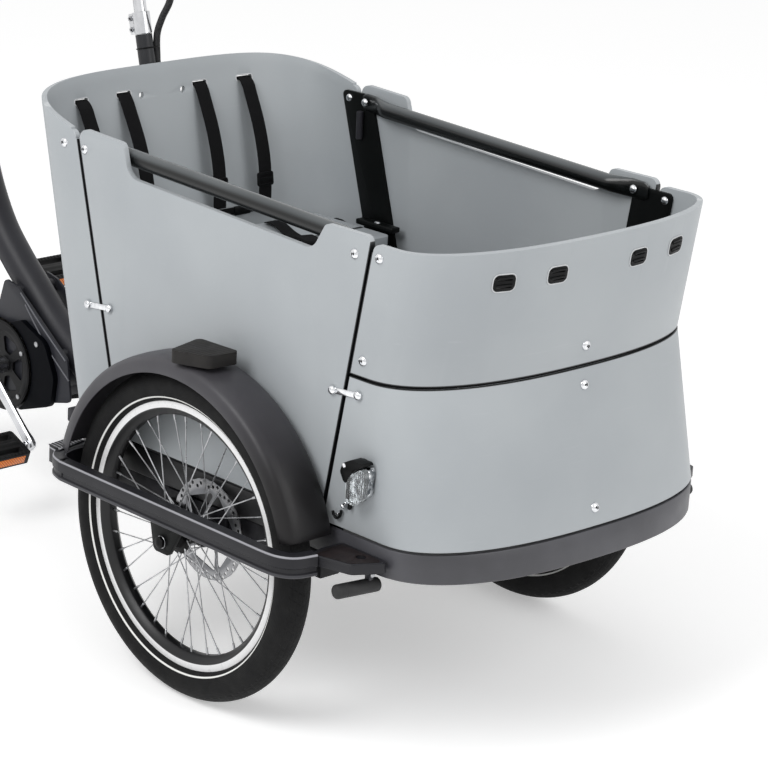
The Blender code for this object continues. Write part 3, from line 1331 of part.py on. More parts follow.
def motor():
    """The mid motor, bored for the crank spindle."""
    half = MOTOR_HALF
    lobe_y, lobe_z, lobe_r = MOTOR_LOBE
    solids = [rod((-half, *BB), (half, *BB), MOTOR_RADIUS, sides=24),
              rod((-half, lobe_y, lobe_z), (half, lobe_y, lobe_z), lobe_r, sides=16)]
    web = [(lobe_y, lobe_z - lobe_r * 0.95), (BB[0], BB[1] - MOTOR_RADIUS * 0.95),
           (BB[0], BB[1] + MOTOR_RADIUS * 0.9), (lobe_y, lobe_z + lobe_r * 0.95)]
    solids.append(plate([web], -half + 0.001, half - 0.001))
    bore = rod((-0.1, *BB), (0.1, *BB), clear(SPINDLE_RADIUS, 12), sides=12)
    finish(cut(fuse(solids), [bore]), "motor_unit", "black_plastic", axle_frame)


def chainring():
    """The chainring with its outer guard ring on five bolts."""
    y, z = BB
    inner, outer = CHAIN_LINE - 0.0015, CHAIN_LINE + 0.0015
    windows = []
    for k in range(5):
        a = 2 * pi * k / 5
        windows.append([(y + r * cos(a + t), z + r * sin(a + t)) for r, t in (
            (0.024, 0.30), (0.024, 0.95), (0.056, 1.05), (0.056, 0.20))])
    hole = circle(y, z, clear(SPINDLE_RADIUS, 12), 12)
    solids = [plate([circle(y, z, CHAINRING_RADIUS, 24), hole] + windows, -outer, -inner)]
    radius, low, high = GUARD_RING
    solids.append(plate([circle(y, z, radius, 24), circle(y, z, radius - 0.017, 20)], -high, -low))
    for k in range(5):
        a = 2 * pi * k / 5
        spot = (y + 0.0713 * cos(a + 0.1), z + 0.0713 * sin(a + 0.1))
        solids.append(rod((-high - 0.0015, *spot), (-inner - 0.001, *spot), 0.0038, sides=6))
    finish(fuse(solids), "chainring", "black_metal", crank)


def crank_end(side):
    """The pedal's place; the right arm points down ahead and the left one up behind."""
    return (BB[0] + side * CRANK_LENGTH * cos(CRANK_ANGLE),
            BB[1] + side * CRANK_LENGTH * sin(CRANK_ANGLE))


def crankset():
    inner, outer = CRANK_ARM
    solids = [rod((-outer + 0.002, *BB), (outer - 0.002, *BB), SPINDLE_RADIUS, sides=12),
              rod((-inner - 0.002, *BB), (-CHAIN_LINE - 0.0015 - GAP, *BB), 0.0165, sides=12)]
    for side in (-1, 1):
        end = crank_end(side)
        ahead = Vector((end[0] - BB[0], end[1] - BB[1])).normalized()
        across = Vector((-ahead.y, ahead.x))
        corners = []
        for l, w, r in ((-0.015, 0.016, 0.010), (CRANK_LENGTH + 0.012, 0.012, 0.009),
                        (CRANK_LENGTH + 0.012, -0.012, 0.009), (-0.015, -0.016, 0.010)):
            spot = Vector(BB) + ahead * l + across * w
            corners.append((spot.x, spot.y, r))
        solids.append(moved(plate([rounded(corners, 3)], inner, outer), mirror(side)))
        solids.append(rod((side * (inner + 0.002), *end),
                          (side * (PEDAL_START + PEDAL[0] - 0.002), *end), PEDAL_AXLE, sides=10))
    finish(fuse(solids), "crankset", "aluminium", crank)


def pedal(side, name):
    """A cage pedal: a core on the spindle between two bars, with an open window each side."""
    across, along, thick = PEDAL
    near, far = PEDAL_WINDOW
    y, z = crank_end(side)
    body = block((PEDAL_START, y - along / 2, z - thick / 2),
                 (PEDAL_START + across, y + along / 2, z + thick / 2), bevel=0.006)
    tools = [rod((0.05, y, z), (0.30, y, z), clear(PEDAL_AXLE, 10), sides=10)]
    for low, high in ((-far, -near), (near, far)):
        tools.append(block((PEDAL_START + PEDAL_END, y + low, z - thick),
                           (PEDAL_START + across - PEDAL_END, y + high, z + thick)))
    axis = empty(name + "_axis", crank, (side * (PEDAL_START + across / 2), y, z))
    spindle = Matrix.Translation((0.0, y, z))
    tilt = spindle @ Matrix.Rotation(PEDAL_TILT, 4, "X") @ spindle.inverted()
    finish(moved(cut(body, tools), mirror(side) @ tilt), name, "black_plastic", axis)


def chain():
    """The chain, round the chainring and the sprocket by their outer tangents."""
    ends = ((BB, CHAINRING_RADIUS, 9), ((AXLE_BACK, REAR_RADIUS), SPROCKET_RADIUS, 6))
    dy, dz = AXLE_BACK - BB[0], REAR_RADIUS - BB[1]
    slope = atan2(dz, dy)
    spread = pi / 2 - asin((CHAINRING_RADIUS - SPROCKET_RADIUS) / hypot(dy, dz))
    path = []
    for (centre, radius, steps), start, sweep in zip(
            ends, (slope + spread, slope - spread), (2 * pi - 2 * spread, 2 * spread)):
        reach = (radius + CHAIN_HALF + GAP + 0.0002) / cos(sweep / steps / 2)
        for k in range(steps + 1):
            a = start + sweep * k / steps
            path.append((-CHAIN_LINE, centre[0] + reach * cos(a), centre[1] + reach * sin(a)))
    finish(tube(path, CHAIN_HALF, 0, cyclic=True), "chain", "steel", axle_frame)


main_frame()
motor()
chainring()
crankset()
for side, label in ((-1, "right"), (1, "left")):
    pedal(side, "pedal_" + label)
chain()


# Saddle

SADDLE_WIDTHS = ((0.00, 0.13), (0.03, 0.18), (0.20, 0.22), (0.38, 0.31), (0.58, 0.60),
                 (0.76, 0.90), (0.89, 1.00), (0.97, 0.86), (1.00, 0.62))


def seat_post():
    """The post with the clamp block that holds the saddle's rails."""
    post = rod((0, seat_y(POST_FOOT), POST_FOOT), (0, seat_y(POST_HEAD), POST_HEAD), POST_RADIUS, 12)
    y = seat_y(POST_HEAD)
    head = block((-0.0178, y - 0.020, POST_HEAD - 0.004), (0.0178, y + 0.020, SADDLE_BASE - GAP),
                 bevel=0.003)
    finish(fuse([post, head]), "seat_post", "black_metal", seat_axis)


def saddle_line(inset):
    """Half widths of the saddle from its nose to its back."""
    span = SADDLE_BACK - SADDLE_NOSE
    return [(SADDLE_HALF * w - inset, SADDLE_NOSE + inset + (span - 2 * inset) * t)
            for t, w in SADDLE_WIDTHS]


def saddle():
    """A stiff shell with two rails, and the soft cushion on it."""
    half = saddle_line(0.004)
    outline = half + [(-x, y) for x, y in reversed(half)]
    solids = [plate([outline], SADDLE_BASE, SADDLE_BASE + SADDLE_SHELL, axis="Z")]
    y = seat_y(POST_HEAD)
    low = SADDLE_BASE - 0.010
    for side in (-1, 1):
        path = smooth_path([(side * 0.012, y - 0.085, SADDLE_BASE + 0.003),
                            (side * 0.0200, y - 0.055, low), (side * 0.0216, y, low),
                            (side * 0.0240, y + 0.045, low),
                            (side * 0.030, y + 0.085, SADDLE_BASE + 0.003)], 1)
        solids.append(tube([tuple(p) for p in path], 0.0032, 1))
    finish(fuse(solids), "saddle_shell", "black_plastic", seat_axis)
    base = SADDLE_BASE + SADDLE_SHELL + GAP
    rings = []
    for (half, y), (t, _) in zip(saddle_line(0.0), SADDLE_WIDTHS):
        high = (SADDLE_TOP - base) * (0.72 + 0.28 * t)
        if t in (0.0, 1.0):
            high *= 0.75
        ring = [(0.80, 0.0), (0.99, 0.25), (0.90, 0.84), (0.42, 1.02)]
        ring = [(half * w, y, base + high * h) for w, h in ring]
        rings.append(ring + [(-x, y, z) for x, y, z in reversed(ring)])
    cushion = loft(rings)
    mod = cushion.modifiers.new("Subdivision", "SUBSURF")
    mod.levels = 1
    mod.render_levels = 1
    finish(realise(cushion), "saddle_cushion", "saddle", seat_axis)


def clamp_lever():
    """The quick release lever of the seat collar."""
    x, y = LEVER_PIN
    low, high = 0.0034, 0.0096
    hub = turned([(0.0025, high), (0.0060, high), (0.0060, low), (0.0025, low)], (x, y, 0.0), 10,
                 axis="Z")
    outline = rounded([(x + 0.0035, y + 0.002, 0.0), (x + 0.0065, y + 0.014, 0.003),
                       (x + 0.0075, y + 0.062, 0.002), (x + 0.0125, y + 0.062, 0.002),
                       (x + 0.0135, y + 0.010, 0.004), (x + 0.0045, y - 0.002, 0.0)], 2)
    arm = plate([outline], low + 0.0005, high - 0.0005, axis="Z")
    finish(moved(fuse([hub, arm]), SEAT_FRAME), "seat_clamp_lever", "aluminium", clamp_axis)


seat_post()
saddle()
clamp_lever()


# Rear fender, carrier, battery and light

def rear_fender():
    r = REAR_RADIUS + REAR_FENDER_GAP + REAR_FENDER_WALL / 2
    half = REAR_FENDER_HALF
    section = [(-half, r - 0.012), (-half * 0.75, r - 0.0035), (0.0, r), (half * 0.75, r - 0.0035),
               (half, r - 0.012)]
    solid = arc_shell(section, (0.0, AXLE_BACK, REAR_RADIUS), radians(-12.0), radians(158.0), 14,
                      REAR_FENDER_WALL)
    finish(solid, "rear_fender", "black_plastic", axle_frame)


def carrier():
    """A welded rack: deck, two rails that hold the battery, and a leg on each side."""
    r = DECK_RADIUS
    corner = 0.025
    deck = rounded([(-DECK_HALF, DECK_FRONT, corner), (DECK_HALF, DECK_FRONT, corner),
                    (DECK_HALF, DECK_BACK, corner), (-DECK_HALF, DECK_BACK, corner)], 3)
    solids = [tube([(x, y, DECK) for x, y in deck], r, 1, cyclic=True)]
    for share in (0.25, 0.5, 0.75):
        y = DECK_FRONT + (DECK_BACK - DECK_FRONT) * share
        solids.append(rod((-DECK_HALF, y, DECK), (DECK_HALF, y, DECK), 0.0042, sides=6))
    low = BATTERY[3] - 0.0036
    for side in (-1, 1):
        x = side * 0.036
        path = [(x, DECK_FRONT, DECK), (x, DECK_FRONT + 0.002, low + 0.010),
                (x, DECK_FRONT + 0.012, low), (x, DECK_BACK - 0.035, low),
                (x, DECK_BACK - 0.023, low + 0.008), (x, DECK_BACK, DECK)]
        solids.append(tube(path, 0.0040, 1))
        foot = (side * 0.0778, AXLE_BACK + 0.0006, REAR_RADIUS + 0.040)
        solids.append(rod(foot, (side * DECK_HALF, foot[1] - 0.005, DECK), 0.0040, sides=6))
    solids.append(rod((0.0, DECK_FRONT, DECK), (0.0, 1.0985, 0.740), 0.0050, sides=8))
    finish(fuse(solids), "carrier", "black_metal", axle_frame)


def battery():
    half, front_end, back_end, low, high = BATTERY
    body = block((-half, front_end, low), (half, back_end, high), bevel=0.010, segments=2)
    finish(body, "battery", "black_plastic", axle_frame)


def rear_light():
    y = DECK_BACK + DECK_RADIUS + GAP
    body = block((-0.030, y, DECK - 0.020), (0.030, y + 0.016, DECK + 0.016), bevel=0.004)
    finish(body, "rear_light", "red_lens", axle_frame)


rear_fender()
carrier()
battery()
rear_light()
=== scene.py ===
"""The looks of a front-loading cargo tricycle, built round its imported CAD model.

Units are metres, +Z is up, the front faces -Y and the rider's right hand is at -X.
Shapes are drawn in the axle frame, with the origin on the floor under the front axle,
and moved back by AXLE_Y when each piece is finished.
"""
from math import asin, atan2, cos, pi, radians, sin, tan

import bmesh
import bpy
from mathutils import Matrix, Vector


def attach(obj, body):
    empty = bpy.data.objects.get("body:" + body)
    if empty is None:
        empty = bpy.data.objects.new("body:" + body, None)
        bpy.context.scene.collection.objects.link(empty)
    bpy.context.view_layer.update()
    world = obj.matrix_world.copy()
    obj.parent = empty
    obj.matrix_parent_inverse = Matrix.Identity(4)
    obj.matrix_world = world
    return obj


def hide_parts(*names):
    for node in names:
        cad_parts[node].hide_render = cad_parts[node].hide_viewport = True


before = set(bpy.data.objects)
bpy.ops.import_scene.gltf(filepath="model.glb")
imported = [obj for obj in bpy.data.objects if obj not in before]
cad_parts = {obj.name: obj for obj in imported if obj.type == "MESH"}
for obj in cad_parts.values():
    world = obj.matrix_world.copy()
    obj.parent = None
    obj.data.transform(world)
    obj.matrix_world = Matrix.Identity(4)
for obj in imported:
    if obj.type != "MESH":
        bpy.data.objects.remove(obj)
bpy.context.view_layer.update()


# Camera: a long lens from the right front, shifted because the photograph is a crop
# of a wider picture whose middle lies to the left of this frame.
AXLE_Y = -0.598225
IMAGE = 768
FOCAL = 2877.72
MIDDLE = (36.81, 268.65)
azimuth, elevation, roll = radians(-37.499), radians(15.496), radians(0.778)
back = Vector((sin(azimuth) * cos(elevation), -cos(azimuth) * cos(elevation), sin(elevation)))
level = Vector((cos(azimuth), sin(azimuth), 0.0))
right = level * cos(roll) + back.cross(level) * sin(roll)
up = back.cross(right)
camera_data = bpy.data.cameras.new("camera")
camera_data.sensor_width = 36.0
camera_data.lens = FOCAL / IMAGE * 36.0
camera_data.shift_x = (IMAGE / 2 - MIDDLE[0]) / IMAGE
camera_data.shift_y = (MIDDLE[1] - IMAGE / 2) / IMAGE


def shown(name, data):
    """A new object in the scene."""
    obj = bpy.data.objects.new(name, data)
    bpy.context.scene.collection.objects.link(obj)
    return obj


camera = shown("camera", camera_data)
turn = Matrix((right, up, back)).transposed().to_4x4()
camera.matrix_world = Matrix.Translation((-3.0615, -3.1246 + AXLE_Y, 1.8195)) @ turn
bpy.context.scene.camera = camera


# Light: a white room with one large soft lamp high on the left and a weaker one in front.
# Camera, mirror and see-through rays meet plain white.
def srgb(*values):
    """A colour as read from the photograph, 0 to 255, turned to the shader's scale."""
    return tuple(((v / 255 + 0.055) / 1.055) ** 2.4 for v in values)


class Field:
    """A value inside a node tree that can be reckoned with like a number."""

    def __init__(self, tree, socket):
        self.tree = tree
        self.socket = socket

    def node(self, kind, inputs=(), output=0, **settings):
        """Adds a node, sets it up, feeds its inputs and gives one of its outputs."""
        made = self.tree.nodes.new("ShaderNode" + kind)
        for key, value in settings.items():
            setattr(made, key, value)
        for key, value in dict(inputs).items():
            if isinstance(value, Field):
                self.tree.links.new(value.socket, made.inputs[key])
            else:
                made.inputs[key].default_value = value
        return Field(self.tree, made.outputs[output])

    def maths(self, operation, *others):
        return self.node("Math", enumerate((self, *others)), operation=operation)

    def __add__(self, other):
        return self.maths("ADD", other)

    __radd__ = __add__

    def __sub__(self, other):
        return self.maths("SUBTRACT", other)

    def __rsub__(self, other):
        return self.node("Math", {0: other, 1: self}, operation="SUBTRACT")

    def __mul__(self, other):
        return self.maths("MULTIPLY", other)

    __rmul__ = __mul__

    def __pow__(self, other):
        return self.maths("POWER", other)

    def __abs__(self):
        return self.maths("ABSOLUTE")

    def sine(self):
        return self.maths("SINE")

    def split(self):
        """The x, y and z of a position."""
        return [self.node("SeparateXYZ", {0: self}, output=k) for k in range(3)]

    def ramp(self, low, high):
        """Rises softly from 0 to 1 between two values."""
        return self.node("MapRange", {0: self, 1: low, 2: high}, interpolation_type="SMOOTHSTEP")

    def noise(self, scale, detail):
        return self.node("TexNoise", {"Vector": self, "Scale": scale, "Detail": detail})

    def stretched(self, x, y, z):
        """The position with each direction scaled."""
        return self.node("Mapping", {0: self, 3: (x, y, z)})

    def blend(self, first, second):
        """A colour that goes from the first to the second as this value goes from 0 to 1."""
        pair = [c if isinstance(c, Field) else (*c, 1.0) for c in (first, second)]
        return self.node("Mix", {0: self, 6: pair[0], 7: pair[1]}, output=2, data_type="RGBA")

    def tones(self, first, second):
        return self.blend(srgb(*first), srgb(*second))


def seen_ray(tree):
    """1 for camera, mirror and see-through rays."""
    path = tree.nodes.new("ShaderNodeLightPath")
    rays = [Field(tree, path.outputs[name]) for name in ("Is Camera Ray", "Is Glossy Ray",
        "Is Transmission Ray")]
    return rays[0].maths("MAXIMUM", rays[1].maths("MAXIMUM", rays[2]))


world = bpy.data.worlds.new("room")
world.use_nodes = True
bpy.context.scene.world = world
room = world.node_tree
seen = seen_ray(room)
room.nodes["Background"].inputs[0].default_value = (1.0, 1.0, 1.0, 1.0)
room.links.new((0.62 + seen * 0.38).socket, room.nodes["Background"].inputs[1])
for name, spot, size, power in (("lamp_left", (-3.4, -0.6, 3.6), 2.6, 95.0),
        ("lamp_front", (0.8, -4.2, 2.6), 2.4, 40.0)):
    lamp_data = bpy.data.lights.new(name, "AREA")
    lamp_data.shape = "DISK"
    lamp_data.size = size
    lamp_data.energy = power
    lamp = shown(name, lamp_data)
    lamp.location = spot
    lamp.rotation_euler = (Vector(spot) - Vector((0.0, -0.5, 0.4))).to_track_quat("Z", "Y").to_euler()
bpy.context.scene.view_settings.view_transform = "Standard"


# Floor: plain white, which keeps the tricycle's soft grey shadow.
floor_mesh = bpy.data.meshes.new("floor")
bm = bmesh.new()
bmesh.ops.create_grid(bm, x_segments=1, y_segments=1, size=12.0)
bm.to_mesh(floor_mesh)
bm.free()
floor = shown("floor", floor_mesh)
floor.location.z = -0.0005
floor_paint = bpy.data.materials.new("floor")
floor_paint.use_nodes = True
tree = floor_paint.node_tree
seen = seen_ray(tree)
matt = tree.nodes.new("ShaderNodeBsdfDiffuse")
matt.inputs[0].default_value = (0.93, 0.93, 0.93, 1.0)
glow = seen.node("Emission", {0: seen * 0.36})
mixed = seen.node("AddShader", {0: Field(tree, matt.outputs[0]), 1: glow})
tree.links.new(mixed.socket, tree.nodes["Material Output"].inputs[0])
tree.nodes.remove(tree.nodes["Principled BSDF"])
floor_mesh.materials.append(floor_paint)


# Main frame: a bent anthracite tube from the head tube under the box to the seat tube,
# with pressed motor plates, round stays, flat dropouts and a cross bar for the stops.
def tidy(mesh):
    """Joins doubled points and turns every face outwards."""
    bm = bmesh.new()
    bm.from_mesh(mesh)
    bmesh.ops.remove_doubles(bm, verts=bm.verts, dist=0.000005)
    bmesh.ops.recalc_face_normals(bm, faces=bm.faces)
    bm.to_mesh(mesh)
    bm.free()
    return mesh


def grid(rows, around=False, along=False, caps=False):
    """A mesh from rows of points; around closes each row and along joins the last to the first."""
    count = len(rows[0])
    verts = [tuple(p) for row in rows for p in row]
    faces = []
    for i in range(len(rows) if along else len(rows) - 1):
        k = (i + 1) % len(rows)
        for j in range(count if around else count - 1):
            m = (j + 1) % count
            faces.append((i * count + j, i * count + m, k * count + m, k * count + j))
    if caps:
        faces += [tuple(range(count)), tuple(range(len(verts) - count, len(verts)))]
    mesh = bpy.data.meshes.new("grid")
    mesh.from_pydata(verts, [], faces)
    return tidy(mesh)


def solid(rows):
    return grid(rows, around=True, caps=True)


def evaluated(obj):
    """The mesh of an object as its curve settings and modifiers make it; the object goes."""
    shape = obj.evaluated_get(bpy.context.evaluated_depsgraph_get())
    mesh = bpy.data.meshes.new_from_object(shape)
    mesh.transform(obj.matrix_world)
    bpy.data.objects.remove(obj)
    return mesh


def baked(obj):
    """The same for an object that isn't in the scene yet, with its faces turned outwards."""
    bpy.context.scene.collection.objects.link(obj)
    bpy.context.view_layer.update()
    return tidy(evaluated(obj))


def eased(mesh, width, segments=2, angle=30.0):
    """Rounds a mesh's sharp edges."""
    obj = bpy.data.objects.new("eased", mesh)
    mod = obj.modifiers.new("Bevel", "BEVEL")
    mod.width = width
    mod.segments = segments
    mod.limit_method = "ANGLE"
    mod.angle_limit = radians(angle)
    return baked(obj)


def moved(mesh, matrix):
    mesh.transform(matrix)
    if matrix.determinant() < 0:
        mesh.flip_normals()
    return mesh


def placed(meshes, matrix):
    return [moved(mesh, matrix) for mesh in meshes]


def mirror(side):
    """Leaves the left side alone for 1 and mirrors it to the right for -1."""
    return Matrix.Diagonal((side, 1, 1, 1))


def both(meshes):
    """Meshes of the left side with their mirror images."""
    return placed([mesh.copy() for mesh in meshes], mirror(-1)) + meshes


def circle(count):
    """Angles that share out a full turn."""
    return [2 * pi * k / count for k in range(count)]


def ring(radius, sides=20, x=0.0, y=0.0):
    return [(x + radius * cos(a), y + radius * sin(a)) for a in circle(sides)]


def rounded(corners, steps=4):
    """A closed outline from corners of two coordinates and a rounding radius each."""
    outline = []
    for i, (x, y, radius) in enumerate(corners):
        here = Vector((x, y))
        before = (Vector(corners[i - 1][:2]) - here).normalized()
        after = (Vector(corners[(i + 1) % len(corners)][:2]) - here).normalized()
        if radius == 0.0:
            outline.append((x, y))
            continue
        half = before.angle(after) / 2
        middle = here + (before + after).normalized() * (radius / sin(half))
        first = here + before * radius / tan(half) - middle
        last = here + after * radius / tan(half) - middle
        start = atan2(first.y, first.x)
        sweep = atan2(first.x * last.y - first.y * last.x, first.dot(last))
        outline += [(middle.x + radius * cos(start + sweep * k / steps),
            middle.y + radius * sin(start + sweep * k / steps)) for k in range(steps + 1)]
    return outline


def smooth(points, steps):
    """Points along a smooth curve through the given points, some steps for each span."""
    pts = [Vector(p) for p in points]
    pts = [2 * pts[0] - pts[1]] + pts + [2 * pts[-1] - pts[-2]]
    path = []
    for i in range(1, len(pts) - 2):
        a, b, c, d = pts[i - 1:i + 3]
        for t in [k / steps for k in range(steps)]:
            path.append(0.5 * (2 * b + (c - a) * t + (2 * a - 5 * b + 4 * c - d) * t ** 2
                + (3 * b - a - 3 * c + d) * t ** 3))
    return path + [pts[-2]]


def swept(path, section, loop=False, upright=False):
    """A bar that carries a section of (side, up) points along a path."""
    pts = [Vector(p) for p in path]
    rows = []
    side = None
    for i, point in enumerate(pts):
        before = pts[i - 1] if i or loop else point
        after = pts[(i + 1) % len(pts)] if i + 1 < len(pts) or loop else point
        ahead = (after - before).normalized()
        if upright:
            side = ahead.cross(Vector((0, 0, 1))).normalized()
        elif side is None:
            side = ahead.orthogonal().normalized()
        else:
            side = (side - ahead * side.dot(ahead)).normalized()
        rise = side.cross(ahead)
        rows.append([point + side * s + rise * u for s, u in section])
    return grid(rows, around=True, along=loop, caps=not loop)


def tube(path, radius, sides=24, loop=False):
    return swept(path, ring(radius, sides), loop)


def bar(start, end, radius, sides=24):
    """A straight round bar with lightly eased ends."""
    start, end = Vector(start), Vector(end)
    ease = min(0.0008, radius * 0.25)
    ahead = (end - start).normalized()
    side = ahead.orthogonal().normalized()
    rise = ahead.cross(side)
    rows = []
    for point, r in ((start, radius - ease), (start + ahead * ease, radius), (end - ahead * ease, radius),
            (end, radius - ease)):
        rows.append([point + side * a + rise * b for a, b in ring(r, sides)])
    return solid(rows)


def plate(loops, low, high, axis="X", ease=0.0008, segments=2):
    """A flat outline with its holes, given thickness along an axis and eased edges."""
    data = bpy.data.curves.new("plate", "CURVE")
    data.dimensions = "2D"
    data.fill_mode = "BOTH"
    data.extrude = (high - low) / 2
    for loop in loops:
        spline = data.splines.new("POLY")
        spline.points.add(len(loop) - 1)
        for slot, p in zip(spline.points, loop):
            slot.co = (*p, 0.0, 1.0)
        spline.use_cyclic_u = True
    obj = bpy.data.objects.new("plate", data)
    middle = (high + low) / 2
    obj.matrix_world = {"X": Matrix(((0, 0, 1, middle), (1, 0, 0, 0), (0, 1, 0, 0), (0, 0, 0, 1))),
        "Y": Matrix(((1, 0, 0, 0), (0, 0, -1, middle), (0, 1, 0, 0), (0, 0, 0, 1))),
        "Z": Matrix.Translation((0, 0, middle))}[axis]
    mesh = baked(obj)
    return eased(mesh, ease, segments) if ease else mesh


def block(low, high, ease=0.001, segments=2):
    """A box between two corners with eased edges."""
    low, high = Vector(low), Vector(high)
    corners = ((low.x, low.y), (high.x, low.y), (high.x, high.y), (low.x, high.y))
    mesh = grid([[(x, y, z) for x, y in corners] for z in (low.z, high.z)], around=True, caps=True)
    return eased(mesh, ease, segments)


AXLE_LINE = Matrix.Rotation(pi / 2, 4, "Y")       # lays a turned piece's axis along X


def lathe(profile, centre, sides=64, turn=AXLE_LINE):
    """A turned piece from points of radius and place along its axis."""
    open_ended = profile[0][0] == 0.0 and profile[-1][0] == 0.0
    rows = [[(r * cos(a), r * sin(a), h) for r, h in profile] for a in circle(sides)]
    return moved(grid(rows, around=not open_ended, along=True), Matrix.Translation(centre) @ turn)


def turned(profile, sides, place):
    """A turned piece whose axis is the Z of a frame."""
    return moved(lathe(profile, (0, 0, 0), sides, Matrix.Identity(4)), place)


def dress(name, meshes, paint, body="front_assembly", replaces=(), angle=35.0):
    """Joins meshes into one piece, shades it, and makes it ride on its body."""
    bm = bmesh.new()
    for mesh in meshes:
        bm.from_mesh(mesh)
        bpy.data.meshes.remove(mesh)
    joined = bpy.data.meshes.new(name)
    bm.to_mesh(joined)
    bm.free()
    joined.transform(Matrix.Translation((0.0, AXLE_Y, 0.0)))
    joined.materials.append(paint.material)
    joined.shade_smooth()
    joined.set_sharp_from_angle(angle=radians(angle))
    piece = shown(name, joined)
    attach(piece, body)
    if replaces:
        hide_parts(*replaces)
    return piece


class Paint:
    """A Principled material whose colour, gloss and relief can vary over the surface."""

    def __init__(self, name, tone, rough, metal=0.0, shine=0.5, **fixed):
        self.material = bpy.data.materials.new(name)
        self.material.use_nodes = True
        self.tree = self.material.node_tree
        self.shader = self.tree.nodes["Principled BSDF"]
        colour = (*srgb(*tone), 1.0)
        self.material.diffuse_color = colour
        for key, value in (("Base Color", colour), ("Roughness", rough), ("Metallic", metal),
                ("Specular IOR Level", shine), *((k.replace("_", " "), v) for k, v in fixed.items())):
            self.shader.inputs[key].default_value = value
        spot = self.tree.nodes.new("ShaderNodeTexCoord")
        self.here = Field(self.tree, spot.outputs["Object"])

    def vary(self, key, value):
        self.tree.links.new(value.socket, self.shader.inputs[key])
        return self

    def rough(self, base, spread, scale, detail):
        """Lets the roughness wander up from a base."""
        return self.vary("Roughness", base + spread * self.here.noise(scale, detail))

    def relief(self, height, depth):
        """Raises the surface by the height, 0 to 1, times a depth in metres."""
        return self.vary("Normal", self.here.node("Bump", {"Height": height, "Distance": depth}))

    def grain(self, scale, detail, depth):
        return self.relief(self.here.noise(scale, detail), depth)

    def speckle(self, light, dark, scale):
        """Clouds the colour between two tones."""
        return self.vary("Base Color", self.here.noise(scale, 4.0).ramp(0.3, 0.7).tones(dark, light))

    def facing(self):
        """The way the surface faces."""
        made = self.tree.nodes.new("ShaderNodeNewGeometry")
        return Field(self.tree, made.outputs["Normal"])

    def edge(self, low=0.52, high=0.62):
        """1 along sharp outer edges, 0 elsewhere."""
        made = self.tree.nodes.new("ShaderNodeNewGeometry")
        return Field(self.tree, made.outputs["Pointiness"]).ramp(low, high)


def powder_coat(name, tone, rough, shine=0.28, worn=(0.07, 0.07, 0.075)):
    """Powder coat: a fine orange peel, cloudy gloss, and dull rubbed edges."""
    paint = Paint(name, tone, rough, shine=shine)
    clouds = paint.here.noise(9.0, 4.0)
    rub = paint.edge() * paint.here.noise(60.0, 4.0).ramp(0.45, 0.75) * 0.3
    tone = srgb(*tone)
    darker = tuple(c * 0.85 for c in tone)
    paint.vary("Base Color", rub.blend(clouds.ramp(0.3, 0.7).blend(darker, tone), worn))
    paint.vary("Roughness", rough - 0.06 + 0.12 * clouds + 0.08 * paint.here.noise(140.0, 2.0))
    return paint.relief(paint.here.noise(850.0, 1.0), 0.00012)


AXLE_BACK = 1.33945
REAR_RADIUS = 0.332
HEAD_LEAN = radians(14.0)


def column_y(z):
    """The steering axis at height z."""
    return 0.566 - (0.858 - z) * tan(HEAD_LEAN)


STEER = Matrix.Translation((0, column_y(0.0), 0)) @ Matrix.Rotation(-HEAD_LEAN, 4, "X")
HEAD_LOW, HEAD_HIGH = 0.176 / cos(HEAD_LEAN), 0.272 / cos(HEAD_LEAN)
SEAT_LOW, SEAT_HIGH = Vector((0, 1.045, 0.64)), Vector((0, 1.0885, 0.79))
seat_up = (SEAT_HIGH - SEAT_LOW).normalized()


def seat_point(z):
    return SEAT_LOW + seat_up * ((z - SEAT_LOW.z) / seat_up.z)


SEAT_FRAME = Matrix.Translation(seat_point(0.7815)) @ Matrix.Rotation(-atan2(seat_up.y, seat_up.z), 4, "X")
frame_paint = powder_coat("frame_coat", (44, 44, 49), 0.38)
beam_line = [(0.0, y, z) for y, z in ((0.425, 0.2315), (0.56, 0.238), (0.66, 0.258), (0.74, 0.297),
    (0.8, 0.333), (0.86, 0.381), (0.92, 0.43), (0.975, 0.485), (1.02, 0.56), (1.046, 0.635),
    (1.058, 0.685))]
meshes = [tube(smooth(beam_line, 6), 0.03, 40), turned([(0.0175, HEAD_HIGH), (0.024, HEAD_HIGH),
    (0.025, HEAD_HIGH - 0.002), (0.025, HEAD_HIGH - 0.01), (0.024, HEAD_HIGH - 0.012),
    (0.024, HEAD_LOW + 0.012), (0.025, HEAD_LOW + 0.01), (0.025, HEAD_LOW + 0.002), (0.024, HEAD_LOW),
    (0.0175, HEAD_LOW)], 48, STEER), turned([(0.0137, 0.008), (0.02, 0.0074), (0.0206, 0.0066),
    (0.0206, -0.0066), (0.02, -0.0074), (0.0176, -0.009), (0.0176, -0.15), (0.0137, -0.15)], 48,
    SEAT_FRAME), moved(block((-0.01, -0.034, -0.0062), (0.01, -0.0158, 0.0058)), SEAT_FRAME),
    moved(bar((-0.013, -0.027, 0), (0.0205, -0.027, 0), 0.0025), SEAT_FRAME),
    moved(bar((0.0195, -0.027, -0.002), (0.0195, -0.027, 0.0115), 0.0022), SEAT_FRAME)]
BB = (0.887, 0.249)
cheek = rounded([(0.7, 0.222, 0.012), (0.8, 0.196, 0.02), (0.88, 0.16, 0.03), (0.985, 0.238, 0.012),
    (0.985, 0.276, 0.01), (0.925, 0.33, 0.02), (0.898, 0.408, 0.012), (0.86, 0.4, 0.015),
    (0.712, 0.3, 0.012)], 6)
